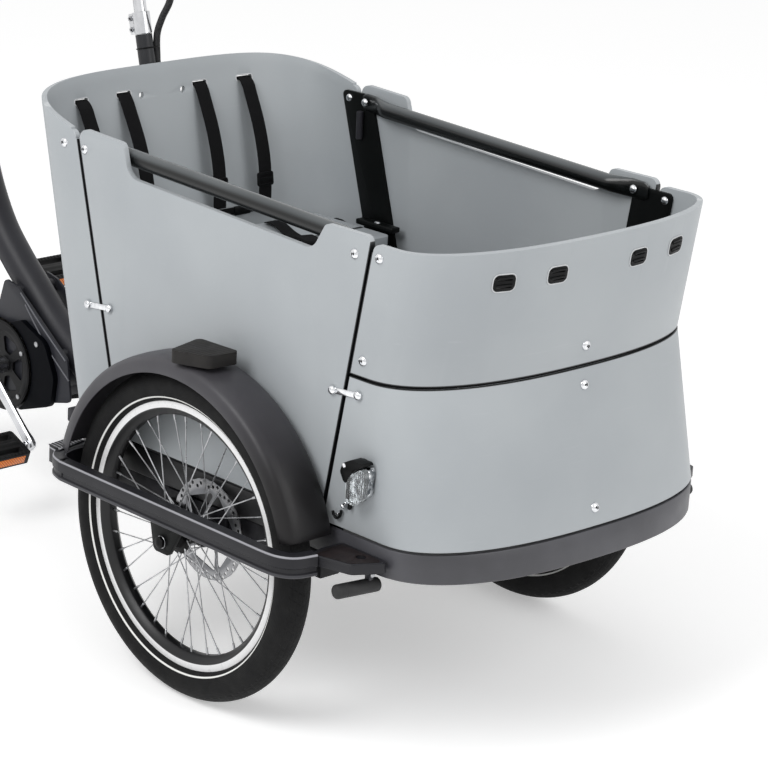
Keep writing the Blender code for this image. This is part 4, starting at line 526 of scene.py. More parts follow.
for side in (-1, 1):
    meshes += [tube(smooth([(side * 0.037, 0.966, 0.2565), (side * 0.048, 1.086, 0.281),
        (side * 0.062, 1.215, 0.3075), (side * 0.07, 1.325, 0.33)], 5), 0.0095),
        tube(smooth([(side * 0.04, 1.052, 0.645), (side * 0.052, 1.16, 0.542), (side * 0.064, 1.26, 0.446),
        (side * 0.07, 1.331, 0.378)], 5), 0.008)]
    y, z = AXLE_BACK, REAR_RADIUS
    dropout = rounded([(y - 0.022, z - 0.016, 0.006), (y + 0.018, z - 0.016, 0.01),
        (y + 0.018, z + 0.018, 0.01), (y + 0.01, z + 0.058, 0.006), (y - 0.022, z + 0.058, 0.006)], 5)
    meshes.append(moved(plate([dropout, ring(0.0055, 24, y, z)], 0.067, 0.073), mirror(side)))
for y, z in ((0.742, 0.297), (0.873, 0.387)):
    meshes.append(bar((-0.0455, y, z), (0.0455, y, z), 0.012))
meshes += [bar((-0.042, 1.052, 0.645), (0.042, 1.052, 0.645), 0.009),
    bar((-0.046, 1.1016, 0.5954), (0.046, 1.1016, 0.5954), 0.0055), block((-0.1, 0.6175, 0.215),
    (0.1, 0.6425, 0.24), 0.003), block((-0.01, 0.6195, 0.2275), (0.01, 0.6405, 0.2675), 0.002)]
dress("frame_tubes", meshes, frame_paint, "frame", ["main_frame"])
cheek_paint = powder_coat("cheek_coat", (40, 41, 47), 0.34, 0.25, (0.06, 0.06, 0.07))
meshes = both([plate([cheek, ring(0.022, 40, *BB)], 0.043, 0.0475, ease=0.0012)])
# Painted highlights: thin tubes in a lighter coat along the plates' pressed creases stand in for the light
# on the crease ridges.
crease_highlights = []
for side in (-1, 1):
    for line in (((0.716, 0.296), (0.79, 0.346), (0.85, 0.391)), ((0.706, 0.262), (0.76, 0.3), (0.8, 0.336),
            (0.836, 0.372))):
        path = smooth([(side * 0.0474, y, z) for y, z in line], 6)
        crease_highlights.append(tube(path, 0.0016, 10))
dress("motor_cheeks", meshes, cheek_paint, "frame")
dress("cheek_crease_highlights", crease_highlights, powder_coat("crease_highlight_coat", (104, 105, 111), 0.3), "frame")


# Weld beads: rippled rings where the frame's tubes meet.
def weld(centre, normal, radius, bead=0.0022):
    """A rippled ring of weld round a tube."""
    side = Vector(normal).orthogonal().normalized()
    rise = Vector(normal).normalized().cross(side)
    path = [Vector(centre) + (side * cos(a) + rise * sin(a)) * (radius + 0.0005 * sin(a * 38))
        for a in circle(150)]
    return tube(path, bead, 8, loop=True)


meshes = [weld((0, 0.428, 0.2318), (0, 1, 0.05), 0.03), weld(seat_point(0.655), seat_up, 0.018)]
for side in (-1, 1):
    for y, z in ((0.742, 0.297), (0.873, 0.387)):
        meshes.append(weld((side * 0.043, y, z), (1, 0, 0), 0.0122, 0.0016))
dress("frame_welds", meshes, frame_paint, "frame")


# Mid motor: a textured black casting in two halves, bored for the crank spindle, with a
# seam round its middle, ribs for cooling and small screws.
motor_paint = Paint("motor_casting", (20, 22, 26), 0.5, shine=0.25)
motor_paint.vary("Base Color", motor_paint.here.noise(14.0, 3.0).tones((14, 16, 21), (24, 27, 33)))
motor_paint.rough(0.42, 0.2, 30.0, 3.0).grain(1100.0, 2.0, 0.00015)


def motor_outline(grow):
    """The casing's side view: a large round part and a smaller lobe ahead of it."""
    big, small = 0.07 + grow, 0.03 + grow
    lobe = (0.792, 0.25)
    lean = asin((big - small) / (BB[0] - lobe[0]))
    line = [(BB[0] + big * cos(a), BB[1] + big * sin(a)) for a in [-pi / 2 - lean + (pi + 2 * lean) * k / 40
        for k in range(41)]]
    line += [(lobe[0] + small * cos(a), lobe[1] + small * sin(a)) for a in [
        pi / 2 + lean + (pi - 2 * lean) * k / 16 for k in range(17)]]
    return line


bore = ring(0.0094, 32, *BB)
meshes = [plate([motor_outline(0.0), bore], -0.0427, 0.0427, ease=0.006, segments=4),
    plate([motor_outline(0.0016), ring(0.045, 48, *BB)], -0.003, 0.003)]
for r in (0.052, 0.044, 0.036):
    meshes.append(plate([ring(r, 64, *BB), ring(r - 0.003, 64, *BB)], -0.0428, 0.0428))
dress("motor_case", meshes, motor_paint, "frame", ["motor_unit"])


def carved(mesh, tools):
    """Cuts tools out of a mesh."""
    obj = bpy.data.objects.new("carved", mesh)
    cutters = []
    for tool in tools:
        cutter = shown("tool", tool)
        cutters.append(cutter)
        mod = obj.modifiers.new("Boolean", "BOOLEAN")
        mod.object = cutter
        mod.operation = "DIFFERENCE"
        mod.solver = "EXACT"
    mesh = baked(obj)
    for cutter in cutters:
        bpy.data.objects.remove(cutter)
    return mesh


cover = rounded([(0.745, 0.205, 0.02), (0.85, 0.17, 0.02), (0.887, 0.325, 0.01), (0.835, 0.345, 0.02),
    (0.765, 0.318, 0.035), (0.736, 0.26, 0.03)], 8)
shell = carved(plate([cover], 0.0478, 0.0585, ease=0.004, segments=4),
    [bar((0.04, *BB), (0.07, *BB), 0.0865, 64)])
cover_paint = powder_coat("cover_coat", (5, 7, 12), 0.45, 0.05, (0.01, 0.01, 0.015))
dress("motor_covers", both([shell]), cover_paint, "frame")
steel_paint = (Paint("zinc_steel", (170, 171, 173), 0.3, 1.0)
    .rough(0.22, 0.25, 90.0, 3.0).speckle((185, 186, 188), (150, 151, 154), 60.0)
    .grain(700.0, 1.0, 0.00004))
meshes = []
for k in range(7):
    a = radians(20 + 49 * k)
    y, z = BB[0] + 0.0635 * cos(a), BB[1] + 0.0635 * sin(a)
    meshes += both([lathe([(0, 0.044), (0.003, 0.044), (0.0034, 0.0436), (0.0034, 0.0425), (0, 0.0425)],
        (0, y, z), 20)])
meshes += both([lathe([(0, 0.0622), (0.003, 0.0618), (0.005, 0.0604), (0.0054, 0.059), (0.0054, 0.058),
    (0, 0.058)], (0, 0.787, 0.3115), 24)])
dress("motor_screws", meshes, steel_paint, "frame")


# Crankset: a steel spindle, forged aluminium arms that taper to the pedals, and the
# pedals' steel axles.
CRANK_ANGLE = radians(41.0)
CRANK_LENGTH = 0.17
polished = Paint("polished_aluminium", (205, 206, 208), 0.22, 1.0)
lines = polished.here.stretched(60, 900, 900).noise(1.0, 3.0)
polished.vary("Roughness", 0.16 + 0.16 * lines)
polished.speckle((214, 215, 217), (188, 189, 192), 25.0)
polished.relief(lines, 0.00003)


def crank_end(side):
    return (BB[0] + side * CRANK_LENGTH * cos(CRANK_ANGLE), BB[1] + side * CRANK_LENGTH * sin(CRANK_ANGLE))


meshes = [bar((-0.095, *BB), (0.095, *BB), 0.009, 32), lathe([(0.009, -0.087), (0.0165, -0.087),
    (0.0165, -0.06), (0.015, -0.0545), (0.009, -0.0545)], (0, *BB), 48)]
for side in (-1, 1):
    end = crank_end(side)
    ahead = Vector((end[0] - BB[0], end[1] - BB[1])).normalized()
    across = Vector((-ahead.y, ahead.x))
    rows = []
    for s, half, thin in ((-0.0168, 0.004, 0.004), (-0.014, 0.0105, 0.0015), (-0.006, 0.0158, 0.0),
            (0.006, 0.016, 0.0), (0.03, 0.0125, 0.0008), (0.09, 0.0105, 0.0018), (0.15, 0.0112, 0.001),
            (0.165, 0.0125, 0.0), (0.175, 0.0118, 0.0003), (0.18, 0.008, 0.0015), (0.1815, 0.003, 0.004)):
        spot = Vector(BB) + ahead * s
        low, high, ease = 0.085 + thin, 0.097 - thin, min(0.0025, half * 0.4)
        shape = ((low, -half + ease), (low, half - ease), (low + ease, half), (high - ease, half),
            (high, half - ease), (high, -half + ease), (high - ease, -half), (low + ease, -half))
        rows.append([(side * x, spot.x + across.x * w, spot.y + across.y * w) for x, w in shape])
    meshes += [solid(rows), bar((side * 0.087, *end), (side * 0.196, *end), 0.005),
        moved(lathe([(0, 0.1035), (0.0075, 0.1035), (0.0085, 0.1025), (0.0085, 0.0968), (0, 0.0968)],
        (0, *end), 6), mirror(side))]
dress("crank_arms", meshes, polished, "crank", ["crankset"])
meshes = both([lathe([(0, 0.0982), (0.0078, 0.0982), (0.0085, 0.0976), (0.0085, 0.0968), (0, 0.0968)],
    (0, *BB), 32)])
dress("crank_bolts", meshes, steel_paint, "crank")


# Chainring: a black toothed ring on five arms with an outer guard ring and silver bolts.
ring_paint = powder_coat("ring_coat", (12, 12, 14), 0.42, 0.2, (0.03, 0.03, 0.03))
y, z = BB
PITCH = 0.0127       # of the chain's links
teeth = 38
pitch_radius = PITCH / (2 * sin(pi / teeth))
outline = []
for k in range(teeth * 6):
    a = 2 * pi * k / (teeth * 6)
    lift = (0.0035, 0.0022, -0.0015, -0.003, -0.0015, 0.0022)[k % 6]
    outline.append((y + (pitch_radius - 0.0015 + lift) * cos(a), z + (pitch_radius - 0.0015 + lift)
        * sin(a)))
windows = []
for k in range(5):
    a = 2 * pi * k / 5
    windows.append(rounded([(y + r * cos(a + t), z + r * sin(a + t), 0.005)
        for r, t in ((0.024, 0.3), (0.024, 0.95), (0.056, 1.05), (0.056, 0.2))][::-1], 4))
meshes = [plate([outline, ring(0.0094, 32, y, z)] + windows, -0.0535, -0.0505, ease=0.0005, segments=1),
    plate([ring(0.084, 96, y, z), ring(0.067, 80, y, z)], -0.063, -0.06, ease=0.001),
    plate([ring(0.0815, 96, y, z), ring(0.079, 80, y, z)], -0.0636, -0.0594)]
dress("chainring_plates", meshes, ring_paint, "crank", ["chainring"])
meshes = []
for k in range(5):
    a = 2 * pi * k / 5 + 0.1
    spot = (0, y + 0.0713 * cos(a), z + 0.0713 * sin(a))
    meshes.append(lathe([(0, -0.0655), (0.003, -0.0655), (0.0044, -0.065), (0.0048, -0.0635),
        (0.0035, -0.063), (0.0035, -0.0505), (0, -0.0505)], spot, 24))
dress("chainring_bolts", meshes, steel_paint, "crank")


# Pedals: a black frame with grip ridges round a barrel, and an orange reflector in each end.
def oblong(left, low, right, high, radius, steps):
    """A rectangle's outline with rounded corners."""
    return rounded([(left, low, radius), (right, low, radius), (right, high, radius), (left, high, radius)],
        steps)


pedal_paint = (Paint("pedal_plastic", (17, 17, 18), 0.55, shine=0.3)
    .rough(0.45, 0.25, 60.0, 3.0).grain(900.0, 1.0, 0.0002))
# Painted light: the reflectors glow faintly in their prism pattern, though they are no lamps.
amber = Paint("amber_reflector", (235, 120, 20), 0.12, Emission_Strength=0.12)
x, y, z = amber.here.split()
prism = (x * 1150).sine() * (z * 1150).sine()
amber.vary("Base Color", prism.ramp(-0.6, 0.7).tones((205, 85, 8), (255, 150, 40)))
amber.vary("Emission Color", prism.ramp(-0.2, 0.9).tones((120, 40, 0), (255, 140, 40)))
PEDAL_TILT = radians(22.0)
SIDES = ((-1, "right"), (1, "left"))
for side, label in SIDES:
    y, z = crank_end(side)
    tilt = Matrix.Translation((0, y, z)) @ Matrix.Rotation(PEDAL_TILT, 4,
        "X") @ Matrix.Translation((0, -y, -z)) @ mirror(side)
    meshes = []
    frame_line = oblong(0.114, y - 0.033, 0.204, y + 0.033, 0.006, 5)
    holes = [oblong(0.125, y + low, 0.193, y + high, 0.004, 4) for low, high in ((0.0115, 0.0245),
        (-0.0245, -0.0115))]
    meshes += [plate([frame_line] + holes, z - 0.0115, z + 0.0115, "Z", 0.0018, 3),
        lathe([(0.0055, 0.114), (0.0115, 0.114), (0.0125, 0.118), (0.0125, 0.2), (0.0115, 0.204),
        (0.0055, 0.204)], (0, y, z), 32)]
    teeth_at = [(0.12 + 0.0078 * k, edge) for k in range(11) for edge in (-0.029, 0.029)]
    teeth_at += [(end, 0.0065 * k) for k in (-2, -1, 0, 1, 2) for end in (0.1185, 0.1995)]
    for x, edge in teeth_at:
        for face in (-1, 1):
            meshes.append(block((x - 0.0018, y + edge - 0.003, z + face * 0.0118 - 0.0012),
                (x + 0.0018, y + edge + 0.003, z + face * 0.0118 + 0.0012), 0.0006, segments=1))
    dress("pedal_cage_" + label, placed(meshes, tilt), pedal_paint, label + "_pedal", ["pedal_" + label])
    meshes = [block((0.126, y + edge - 0.0012, z - 0.008), (0.192, y + edge + 0.0012, z + 0.008), 0.0008)
        for edge in (-0.0322, 0.0322)]
    dress("pedal_reflectors_" + label, placed(meshes, tilt), amber, label + "_pedal")


# Chain and sprocket: alternate inner and outer links on rollers, oiled steel.
oiled = Paint("oiled_steel", (70, 67, 63), 0.32, 1.0)
oil = oiled.here.noise(160.0, 4.0)
oiled.vary("Base Color", oil.ramp(0.35, 0.65).tones((42, 39, 35), (92, 89, 85)))
oiled.vary("Roughness", 0.2 + 0.35 * oil)
oiled.grain(800.0, 1.0, 0.00005)
rear = Vector((AXLE_BACK, REAR_RADIUS))
gap = rear - Vector(BB)
SPROCKET_TEETH = 19
small = PITCH / (2 * sin(pi / SPROCKET_TEETH))
slope = atan2(gap.y, gap.x)
spread = pi / 2 - asin((pitch_radius - small) / gap.length)
track = []
for centre, radius, start, sweep in ((Vector(BB), pitch_radius, slope + spread, 2 * pi - 2 * spread),
        (rear, small, slope - spread, 2 * spread)):
    track += [centre + Vector((cos(a), sin(a))) * radius for a in [start + sweep * k / 160
        for k in range(161)]]
lengths = [0.0]
for a, b in zip(track, track[1:] + track[:1]):
    lengths.append(lengths[-1] + (b - a).length)
count = round(lengths[-1] / PITCH / 2) * 2
pins = []
i = 0
for k in range(count):
    goal = lengths[-1] * k / count
    while lengths[i + 1] < goal:
        i += 1
    t = (goal - lengths[i]) / (lengths[i + 1] - lengths[i])
    pins.append(track[i % len(track)].lerp(track[(i + 1) % len(track)], t))
meshes = []
for k, here in enumerate(pins):
    there = pins[(k + 1) % count]
    ahead = (there - here).normalized()
    across = Vector((-ahead.y, ahead.x))
    turn_start = atan2(across.y, across.x)
    line = [here + Vector((cos(turn_start + pi * j / 5), sin(turn_start + pi * j / 5))) * 0.0036
        for j in range(6)]
    line += [(here + there) / 2 - across * 0.0024]
    line += [there + Vector((cos(turn_start + pi + pi * j / 5), sin(turn_start + pi + pi * j / 5))) * 0.0036
        for j in range(6)]
    line += [(here + there) / 2 + across * 0.0024]
    far = 0.0024 if k % 2 else 0.0034
    for side in (-1, 1):
        x = -0.052 + side * far
        rows = [[(x - 0.0004, *p) for p in line], [(x + 0.0004, *p) for p in line]]
        meshes.append(solid(rows))
    meshes.append(grid([[(x, here.x + r * cos(a), here.y + r * sin(a))
        for a in [2 * pi * j / 8 for j in range(8)]] for x, r in ((-0.056, 0.0015), (-0.0544, 0.0024),
        (-0.0496, 0.0024), (-0.048, 0.0015))], around=True, caps=True))
dress("chain_links", meshes, oiled, "frame", ["chain"])
outline = []
for k in range(SPROCKET_TEETH * 6):
    a = 2 * pi * k / (SPROCKET_TEETH * 6)
    lift = (0.0032, 0.002, -0.0015, -0.003, -0.0015, 0.002)[k % 6]
    outline.append((rear.x + (small - 0.0015 + lift) * cos(a), rear.y + (small - 0.0015 + lift) * sin(a)))
meshes = [plate([outline, ring(0.02, 48, *rear)], -0.053, -0.051, ease=0.0004, segments=1),
    lathe([(0.0053, -0.0503), (0.0215, -0.0503), (0.0215, -0.0538), (0.018, -0.0555), (0.0053, -0.0555)],
    (0, *rear), 48)]
dress("sprocket_teeth", meshes, steel_paint, "rear_sprocket", ["sprocket"])


# Rear axle: a fixed steel axle with hexagon nuts, and the roller brake's drum on its left.
def spool(bore, radius, low, high, ease):
    """The profile of a turned ring or disc with eased edges."""
    step = ease if high > low else -ease
    return [(bore, low), (radius - ease, low), (radius, low + step), (radius, high - step),
        (radius - ease, high), (bore, high)]


y, z = AXLE_BACK, REAR_RADIUS
meshes = [bar((-0.0886, y, z), (0.0886, y, z), 0.005), lathe([(0.005, 0.0503), (0.0425, 0.0503),
    (0.043, 0.0508), (0.043, 0.0545), (0.0415, 0.0558), (0.03, 0.0562), (0.0285, 0.0575), (0.012, 0.058),
    (0.01, 0.06), (0.01, 0.0667), (0.005, 0.0667)], (0, y, z), 72)]
for side in (-1, 1):
    meshes += [lathe(spool(0.005, 0.01, side * 0.0788, side * 0.0858, 0.0006), (0, y, z), 6),
        lathe([(0.005, side * 0.0731), (0.011, side * 0.0731), (0.011, side * 0.0741),
        (0.005, side * 0.0741)], (0, y, z), 32)]
dress("rear_axle_and_drum", meshes, steel_paint, "frame", ["rear_axle"])


# Rear hub: a large satin aluminium gear hub with a flange at each end.
hub_paint = Paint("satin_hub", (176, 177, 180), 0.34, 1.0)
lines = hub_paint.here.stretched(2600, 60, 60).noise(1.0, 3.0)
hub_paint.vary("Roughness", 0.24 + 0.2 * lines)
hub_paint.speckle((184, 185, 188), (158, 159, 163), 35.0)
hub_paint.relief(lines, 0.00003)
half = 0.0497
shell = [(0.0053, half), (0.029, half), (0.03, half - 0.001), (0.035, 0.0345), (0.0366, 0.033),
    (0.0455, 0.0308), (0.046, 0.0303), (0.046, 0.0278), (0.0455, 0.0273), (0.041, 0.0262), (0.04, 0.025),
    (0.04, 0.008), (0.0392, 0.007), (0.0392, 0.003), (0.04, 0.002)]
shell += [(r, -h) for r, h in shell[:3:-1]] + [(0.035, -0.0345), (0.024, -half), (0.0053, -half)]
dress("rear_hub_shell", [lathe(shell, (0, AXLE_BACK, REAR_RADIUS), 96)], hub_paint, "rear_wheel",
    ["hub_rear"])


# Rims: black box rims with a machined silver band on each side, and laced steel spokes
# whose nipples stand in the rim's inner face.
TRACK = 0.726
FRONT_RADIUS = 0.2596
SPOKES = 36
spoke_paint = (Paint("spoke_steel", (188, 189, 191), 0.25, 1.0)
    .rough(0.2, 0.2, 120.0, 2.0).speckle((200, 201, 203), (160, 161, 164), 45.0))
front = (0.0, FRONT_RADIUS, 0.0275, 0.2095, 0.0225, 0.032, (0.025, 0.0225))
WHEELS = (("front_right", -TRACK / 2, *front, "front_wheel_right"),
    ("front_left", TRACK / 2, *front, "front_wheel_left"), ("rear", 0.0, AXLE_BACK, REAR_RADIUS, 0.024,
    0.2865, 0.024, 0.029, (0.046, 0.029), "rear_wheel"))


def polar(paint, y, z):
    """The distance from a wheel's axis and the angle round it."""
    py, pz = paint.here.split()[1:]
    py, pz = py - (y + AXLE_Y), pz - z
    return (py * py + pz * pz) ** 0.5, pz.maths("ARCTAN2", py)


def rim_coat(y, z, band):
    """Black anodising inside the band's radius and bright turned metal outside it."""
    paint = Paint("rim_metal", (190, 191, 193), 0.3, 1.0)
    distance = polar(paint, y, z)[0]
    bright = distance.ramp(band, band + 0.0006)
    marks = (distance * 9000.0).sine() * 0.5 + 0.5
    tone = marks.tones((228, 228, 229), (240, 240, 240))
    paint.vary("Base Color", bright.blend(srgb(16, 16, 18), tone))
    paint.vary("Metallic", 0.25 - 0.25 * bright)
    paint.vary("Roughness", 0.34 - 0.1 * bright + 0.08 * paint.here.noise(80.0, 3.0))
    return paint.relief(marks * bright, 0.00002)


rim_paints = {0.0: rim_coat(0.0, FRONT_RADIUS, 0.1992), AXLE_BACK: rim_coat(AXLE_BACK, REAR_RADIUS, 0.2765)}
for name, x, y, outer, tube_radius, rim_outer, depth, width, flange, body in WHEELS:
    half, band, inner = width / 2, rim_outer - 0.012, rim_outer - depth
    section = [(rim_outer, half), (rim_outer + 0.0006, half - 0.0004), (rim_outer, half - 0.0012),
        (rim_outer - 0.005, half - 0.004), (rim_outer - 0.009, 0.004)]
    section += [(r, -h) for r, h in section[::-1]]
    inside = [(band, -half), (band - 0.001, -half + 0.0003), (inner + 0.004, -half * 0.62),
        (inner + 0.001, -half * 0.45), (inner, -half * 0.3)]
    section += inside + [(r, -h) for r, h in inside[::-1]]
    dress("rim_ring_" + name, [lathe(section, (x, y, outer), 128)], rim_paints[y], body, ["rim_" + name],
        40.0)
    meshes = []
    reach = 2 * pi / SPOKES * 5.0
    for k in range(SPOKES):
        side = 1 if k % 2 else -1
        forward = 1 if (k // 2) % 2 else -1
        at_rim = 2 * pi * (k + 0.5) / SPOKES
        at_hub = at_rim - forward * reach
        hub_r = flange[0] - 0.002
        start = Vector((x + side * (flange[1] + 0.0024 * forward), y + hub_r * cos(at_hub),
            outer + hub_r * sin(at_hub)))
        far = inner + 0.0015
        end = Vector((x + side * (0.002 + 0.001 * forward), y + far * cos(at_rim),
            outer + far * sin(at_rim)))
        ahead = (end - start).normalized()
        meshes += [tube([start, end], 0.001, 8), bar(end - ahead * 0.012, end, 0.0019, 8),
            bar(start - Vector((side * forward * 0.0012, 0, 0)), start + Vector(
            (side * forward * 0.0008, 0, 0)), 0.0019, 8)]
    dress("spokes_" + name, meshes, spoke_paint, body)


# Tyres: ribbed black rubber casings with a fine light stripe on each side wall.
def tyre_rubber(y, z, radius, stripe):
    """Rubber with a block tread near the top, moulded rings and dust on the side walls."""
    paint = Paint("tyre_rubber", (20, 20, 21), 0.72, shine=0.2)
    distance, angle = polar(paint, y, z)
    x = paint.here.split()[0]
    dust = paint.here.noise(26.0, 5.0).ramp(0.35, 0.8)
    rubber = dust.tones((14, 14, 15), (27, 27, 27))
    line = distance.ramp(stripe - 0.0014, stripe - 0.001) * (1.0 - distance.ramp(stripe + 0.001,
        stripe + 0.0014))
    paint.vary("Base Color", line.blend(rubber, srgb(240, 240, 237)))
    paint.vary("Roughness", 0.62 + 0.2 * paint.here.noise(90.0, 3.0) - 0.2 * line)
    grip = distance.ramp(radius - 0.0105, radius - 0.0085)
    off = abs(abs(x) - (TRACK / 2 if y == 0.0 else 0.0))
    blocks = (angle * 92.0 + off * 260.0).sine().ramp(-0.75, -0.45)
    grooves = (off * 900.0).maths("COSINE").ramp(-0.8, -0.5)
    rings = (distance * 2400.0).sine() * 0.06
    height = grip * blocks * grooves + (1.0 - grip) * (0.6 + rings * (1.0 - line))
    return paint.relief(height + paint.here.noise(500.0, 2.0) * 0.05, 0.0014)


tyre_paints = {0.0: tyre_rubber(0.0, FRONT_RADIUS, FRONT_RADIUS, 0.2171),
    AXLE_BACK: tyre_rubber(AXLE_BACK, REAR_RADIUS, REAR_RADIUS, 0.296)}
for name, x, y, outer, tube_radius, rim_outer, depth, width, flange, body in WHEELS:
    core = outer - tube_radius
    bead, toe = rim_outer + 0.0003, width / 2 - 0.001
    start = asin((bead + 0.0018 - core) / tube_radius)
    arcs = [start + (pi - 2 * start) * k / 30 for k in range(31)]
    section = [(bead, toe)] + [(core + tube_radius * sin(a), tube_radius * cos(a)) for a in arcs]
    section += [(bead, -toe), (bead, -toe + 0.004)]
    inside = tube_radius - 0.004
    rest = asin((bead + 0.0018 - core) / inside)
    section += [(core + inside * sin(a), -inside * cos(a)) for a in [
        rest + (pi - 2 * rest) * k / 12 for k in range(13)]]
    section += [(bead, toe - 0.004)]
    dress("tyre_casing_" + name, [lathe(section, (x, y, outer), 160)], tyre_paints[y], body,
        ["tyre_" + name], 50.0)


# Front hubs: black shells with a flange at each end, and a brake disc on the inner end
# with slots, five arms and its own bolts.
hub_black = powder_coat("hub_black", (9, 9, 10), 0.36, 0.15, (0.03, 0.03, 0.03))
disc_paint = Paint("disc_steel", (196, 197, 199), 0.26, 1.0)
distance = polar(disc_paint, 0.0, FRONT_RADIUS)[0]
marks = (distance * 6000.0).sine() * 0.5 + 0.5
heat = distance.ramp(0.062, 0.07)
disc_paint.vary("Base Color", heat.blend(srgb(118, 119, 122), marks.tones((132, 133, 135),
    (172, 172, 174))))
disc_paint.vary("Roughness", 0.3 - 0.06 * heat + 0.1 * disc_paint.here.noise(60.0, 3.0))
disc_paint.relief(marks * heat, 0.00005)
for side, label in SIDES:
    x = side * TRACK / 2
    body = "front_wheel_" + label
    half = 0.038
    shell = [(0.0063, half), (0.0118, half), (0.0125, half - 0.0007), (0.016, 0.026), (0.0245, 0.0242),
        (0.025, 0.0237), (0.025, 0.0213), (0.0245, 0.0208), (0.0155, 0.0185), (0.015, 0.012), (0.0144, 0.0)]
    shell += [(r, -h) for r, h in shell[-2::-1]]
    dress("hub_shell_" + label, [lathe(shell, (x, 0, FRONT_RADIUS), 64)], hub_black, body,
        ["hub_front_" + label])
    holes = []
    for k in range(5):
        a = 2 * pi * k / 5
        holes.append(rounded([(r * cos(a + t), FRONT_RADIUS + r * sin(a + t), 0.004)
            for r, t in ((0.025, 0.08), (0.025, 1.14), (0.0655, 1.79), (0.0655, 0.66))][::-1], 4))
    for k in range(48):
        a = 2 * pi * k / 48
        r = (0.069, 0.0726, 0.0762)[k % 3]
        holes.append(ring(0.0029, 12, r * cos(a), FRONT_RADIUS + r * sin(a)))
    disc_x = x - side * 0.0365
    line = [(r * cos(a), FRONT_RADIUS + r * sin(a)) for a, r in [(2 * pi * k / 180,
        0.0797 + 0.0003 * cos(k * pi / 3)) for k in range(180)]]
    dress("brake_disc_" + label, [plate([line, ring(0.013, 32, 0.0, FRONT_RADIUS)] + holes, disc_x - 0.0009,
        disc_x + 0.0009, ease=0.0003, segments=1)], disc_paint, body)
    meshes = []
    for k in range(6):
        a = 2 * pi * k / 6 + 0.2
        spot = (disc_x, 0.019 * cos(a), FRONT_RADIUS + 0.019 * sin(a))
        meshes.append(moved(lathe([(0, 0.003), (0.0024, 0.003), (0.003, 0.0024), (0.003, 0.0005),
            (0, 0.0005)], (0, 0, 0), 16), Matrix.Translation(spot) @ Matrix.Diagonal((-side, 1, 1, 1))))
    dress("disc_bolts_" + label, meshes, steel_paint, body)


# Front axles: steel bolts screwed into the side beams, each with a washer and a black nut.
caliper_paint = powder_coat("caliper_coat", (12, 12, 13), 0.4, 0.15, (0.03, 0.03, 0.03))
for side, label in SIDES:
    spot = (0, 0, FRONT_RADIUS)
    meshes = [bar((side * 0.2993, 0, FRONT_RADIUS), (side * 0.424, 0, FRONT_RADIUS), 0.006, 32)]
    for low, high, radius in ((0.3165, 0.3245, 0.0093), (0.4015, 0.413, 0.0093), (0.4199, 0.4206, 0.01)):
        meshes.append(lathe(spool(0.0058, radius, side * low, side * high, 0.0004), spot, 40))
    dress("axle_bolt_" + label, meshes, steel_paint, replaces=["front_axle_" + label])
    nut = lathe([(0, side * 0.4286), (0.0036, side * 0.4283), (0.006, side * 0.4268),
        (0.009, side * 0.4262), (0.0102, side * 0.4252), (0.0102, side * 0.4214), (0.0094, side * 0.4207),
        (0, side * 0.4207)], spot, 6)
    dress("axle_nut_" + label, [nut], caliper_paint)


# Brake calipers: black cast blocks that straddle the discs, with bridge ribs and bolts.
plane = TRACK / 2 - 0.0365
y = 0.08 * 0.92
for side, label in SIDES:
    meshes = [block((0.3163, y - 0.0175, FRONT_RADIUS - 0.0235), (plane - 0.0022, y + 0.024,
        FRONT_RADIUS + 0.0235), 0.004, segments=3), block((plane + 0.0022, y - 0.015,
        FRONT_RADIUS - 0.0215), (plane + 0.0104, y + 0.0235, FRONT_RADIUS + 0.0215), 0.004, segments=3),
        block((0.32, y + 0.0105, FRONT_RADIUS - 0.019), (plane + 0.009, y + 0.0232, FRONT_RADIUS + 0.019),
        0.003, segments=3)]
    for up in (-0.012, 0.0, 0.012):
        meshes.append(block((plane + 0.0085, y - 0.01, FRONT_RADIUS + up - 0.002),
            (plane + 0.0105, y + 0.018, FRONT_RADIUS + up + 0.002), 0.0008))
    dress("caliper_block_" + label, placed(meshes, mirror(side)), caliper_paint,
        replaces=["brake_caliper_" + label])
    meshes = [lathe([(0, 0.0), (0.0032, 0.0), (0.0036, 0.0005), (0.0036, 0.0028), (0.003, 0.0034),
        (0.0018, 0.0034), (0.0018, 0.0018), (0, 0.0018)], (side * (plane + 0.006), y + 0.0232,
        FRONT_RADIUS + up), 20, Matrix.Rotation(-pi / 2, 4, "X")) for up in (-0.013, 0.013)]
    dress("caliper_bolts_" + label, meshes, steel_paint)


# Front chassis: two side beams and three cross beams under the box, with the yoke that
# carries the head bearings.
chassis_paint = powder_coat("chassis_coat", (24, 24, 27), 0.42, 0.2)
LOW, HIGH = 0.2497, 0.2947
ear = rounded([(-0.03, 0.236, 0.006), (0.112, 0.236, 0.006), (0.112, HIGH - 0.0015, 0.003),
    (-0.03, HIGH - 0.0015, 0.003)], 4)
meshes = both([block((0.27, -0.235, LOW), (0.31, 0.33, HIGH - 0.001), 0.003),
    plate([ear, ring(0.0063, 32, 0.0, FRONT_RADIUS)], 0.3102, 0.316),
    block((0.308, 0.264, 0.2537), (0.334, 0.287, HIGH), 0.002)])
for y in (-0.21, 0.0):
    meshes.append(block((-0.2697, y - 0.0225, LOW + 0.002), (0.2697, y + 0.0225, HIGH - 0.003), 0.003))
meshes += [block((-0.335, 0.3125, LOW - 0.001), (0.335, 0.3575, HIGH), 0.004),
    block((-0.028, 0.345, LOW + 0.001), (0.028, 0.3855, HIGH - 0.002), 0.003),
    block((-0.026, 0.338, 0.163), (0.026, 0.366, 0.27), 0.003)]
for low, back_y, ahead_y in ((HEAD_LOW - 0.0086, -0.058, 0.024), (HEAD_HIGH + 0.0006, -0.053, 0.024)):
    line = rounded([(-0.028, back_y, 0.003), (0.028, back_y, 0.003), (0.028, ahead_y, 0.016),
        (-0.028, ahead_y, 0.016)], 6)
    meshes.append(moved(plate([line, ring(0.0096, 32)], low, low + 0.008, "Z", 0.0012), STEER))
dress("chassis_beams", meshes, chassis_paint, replaces=["front_chassis"])


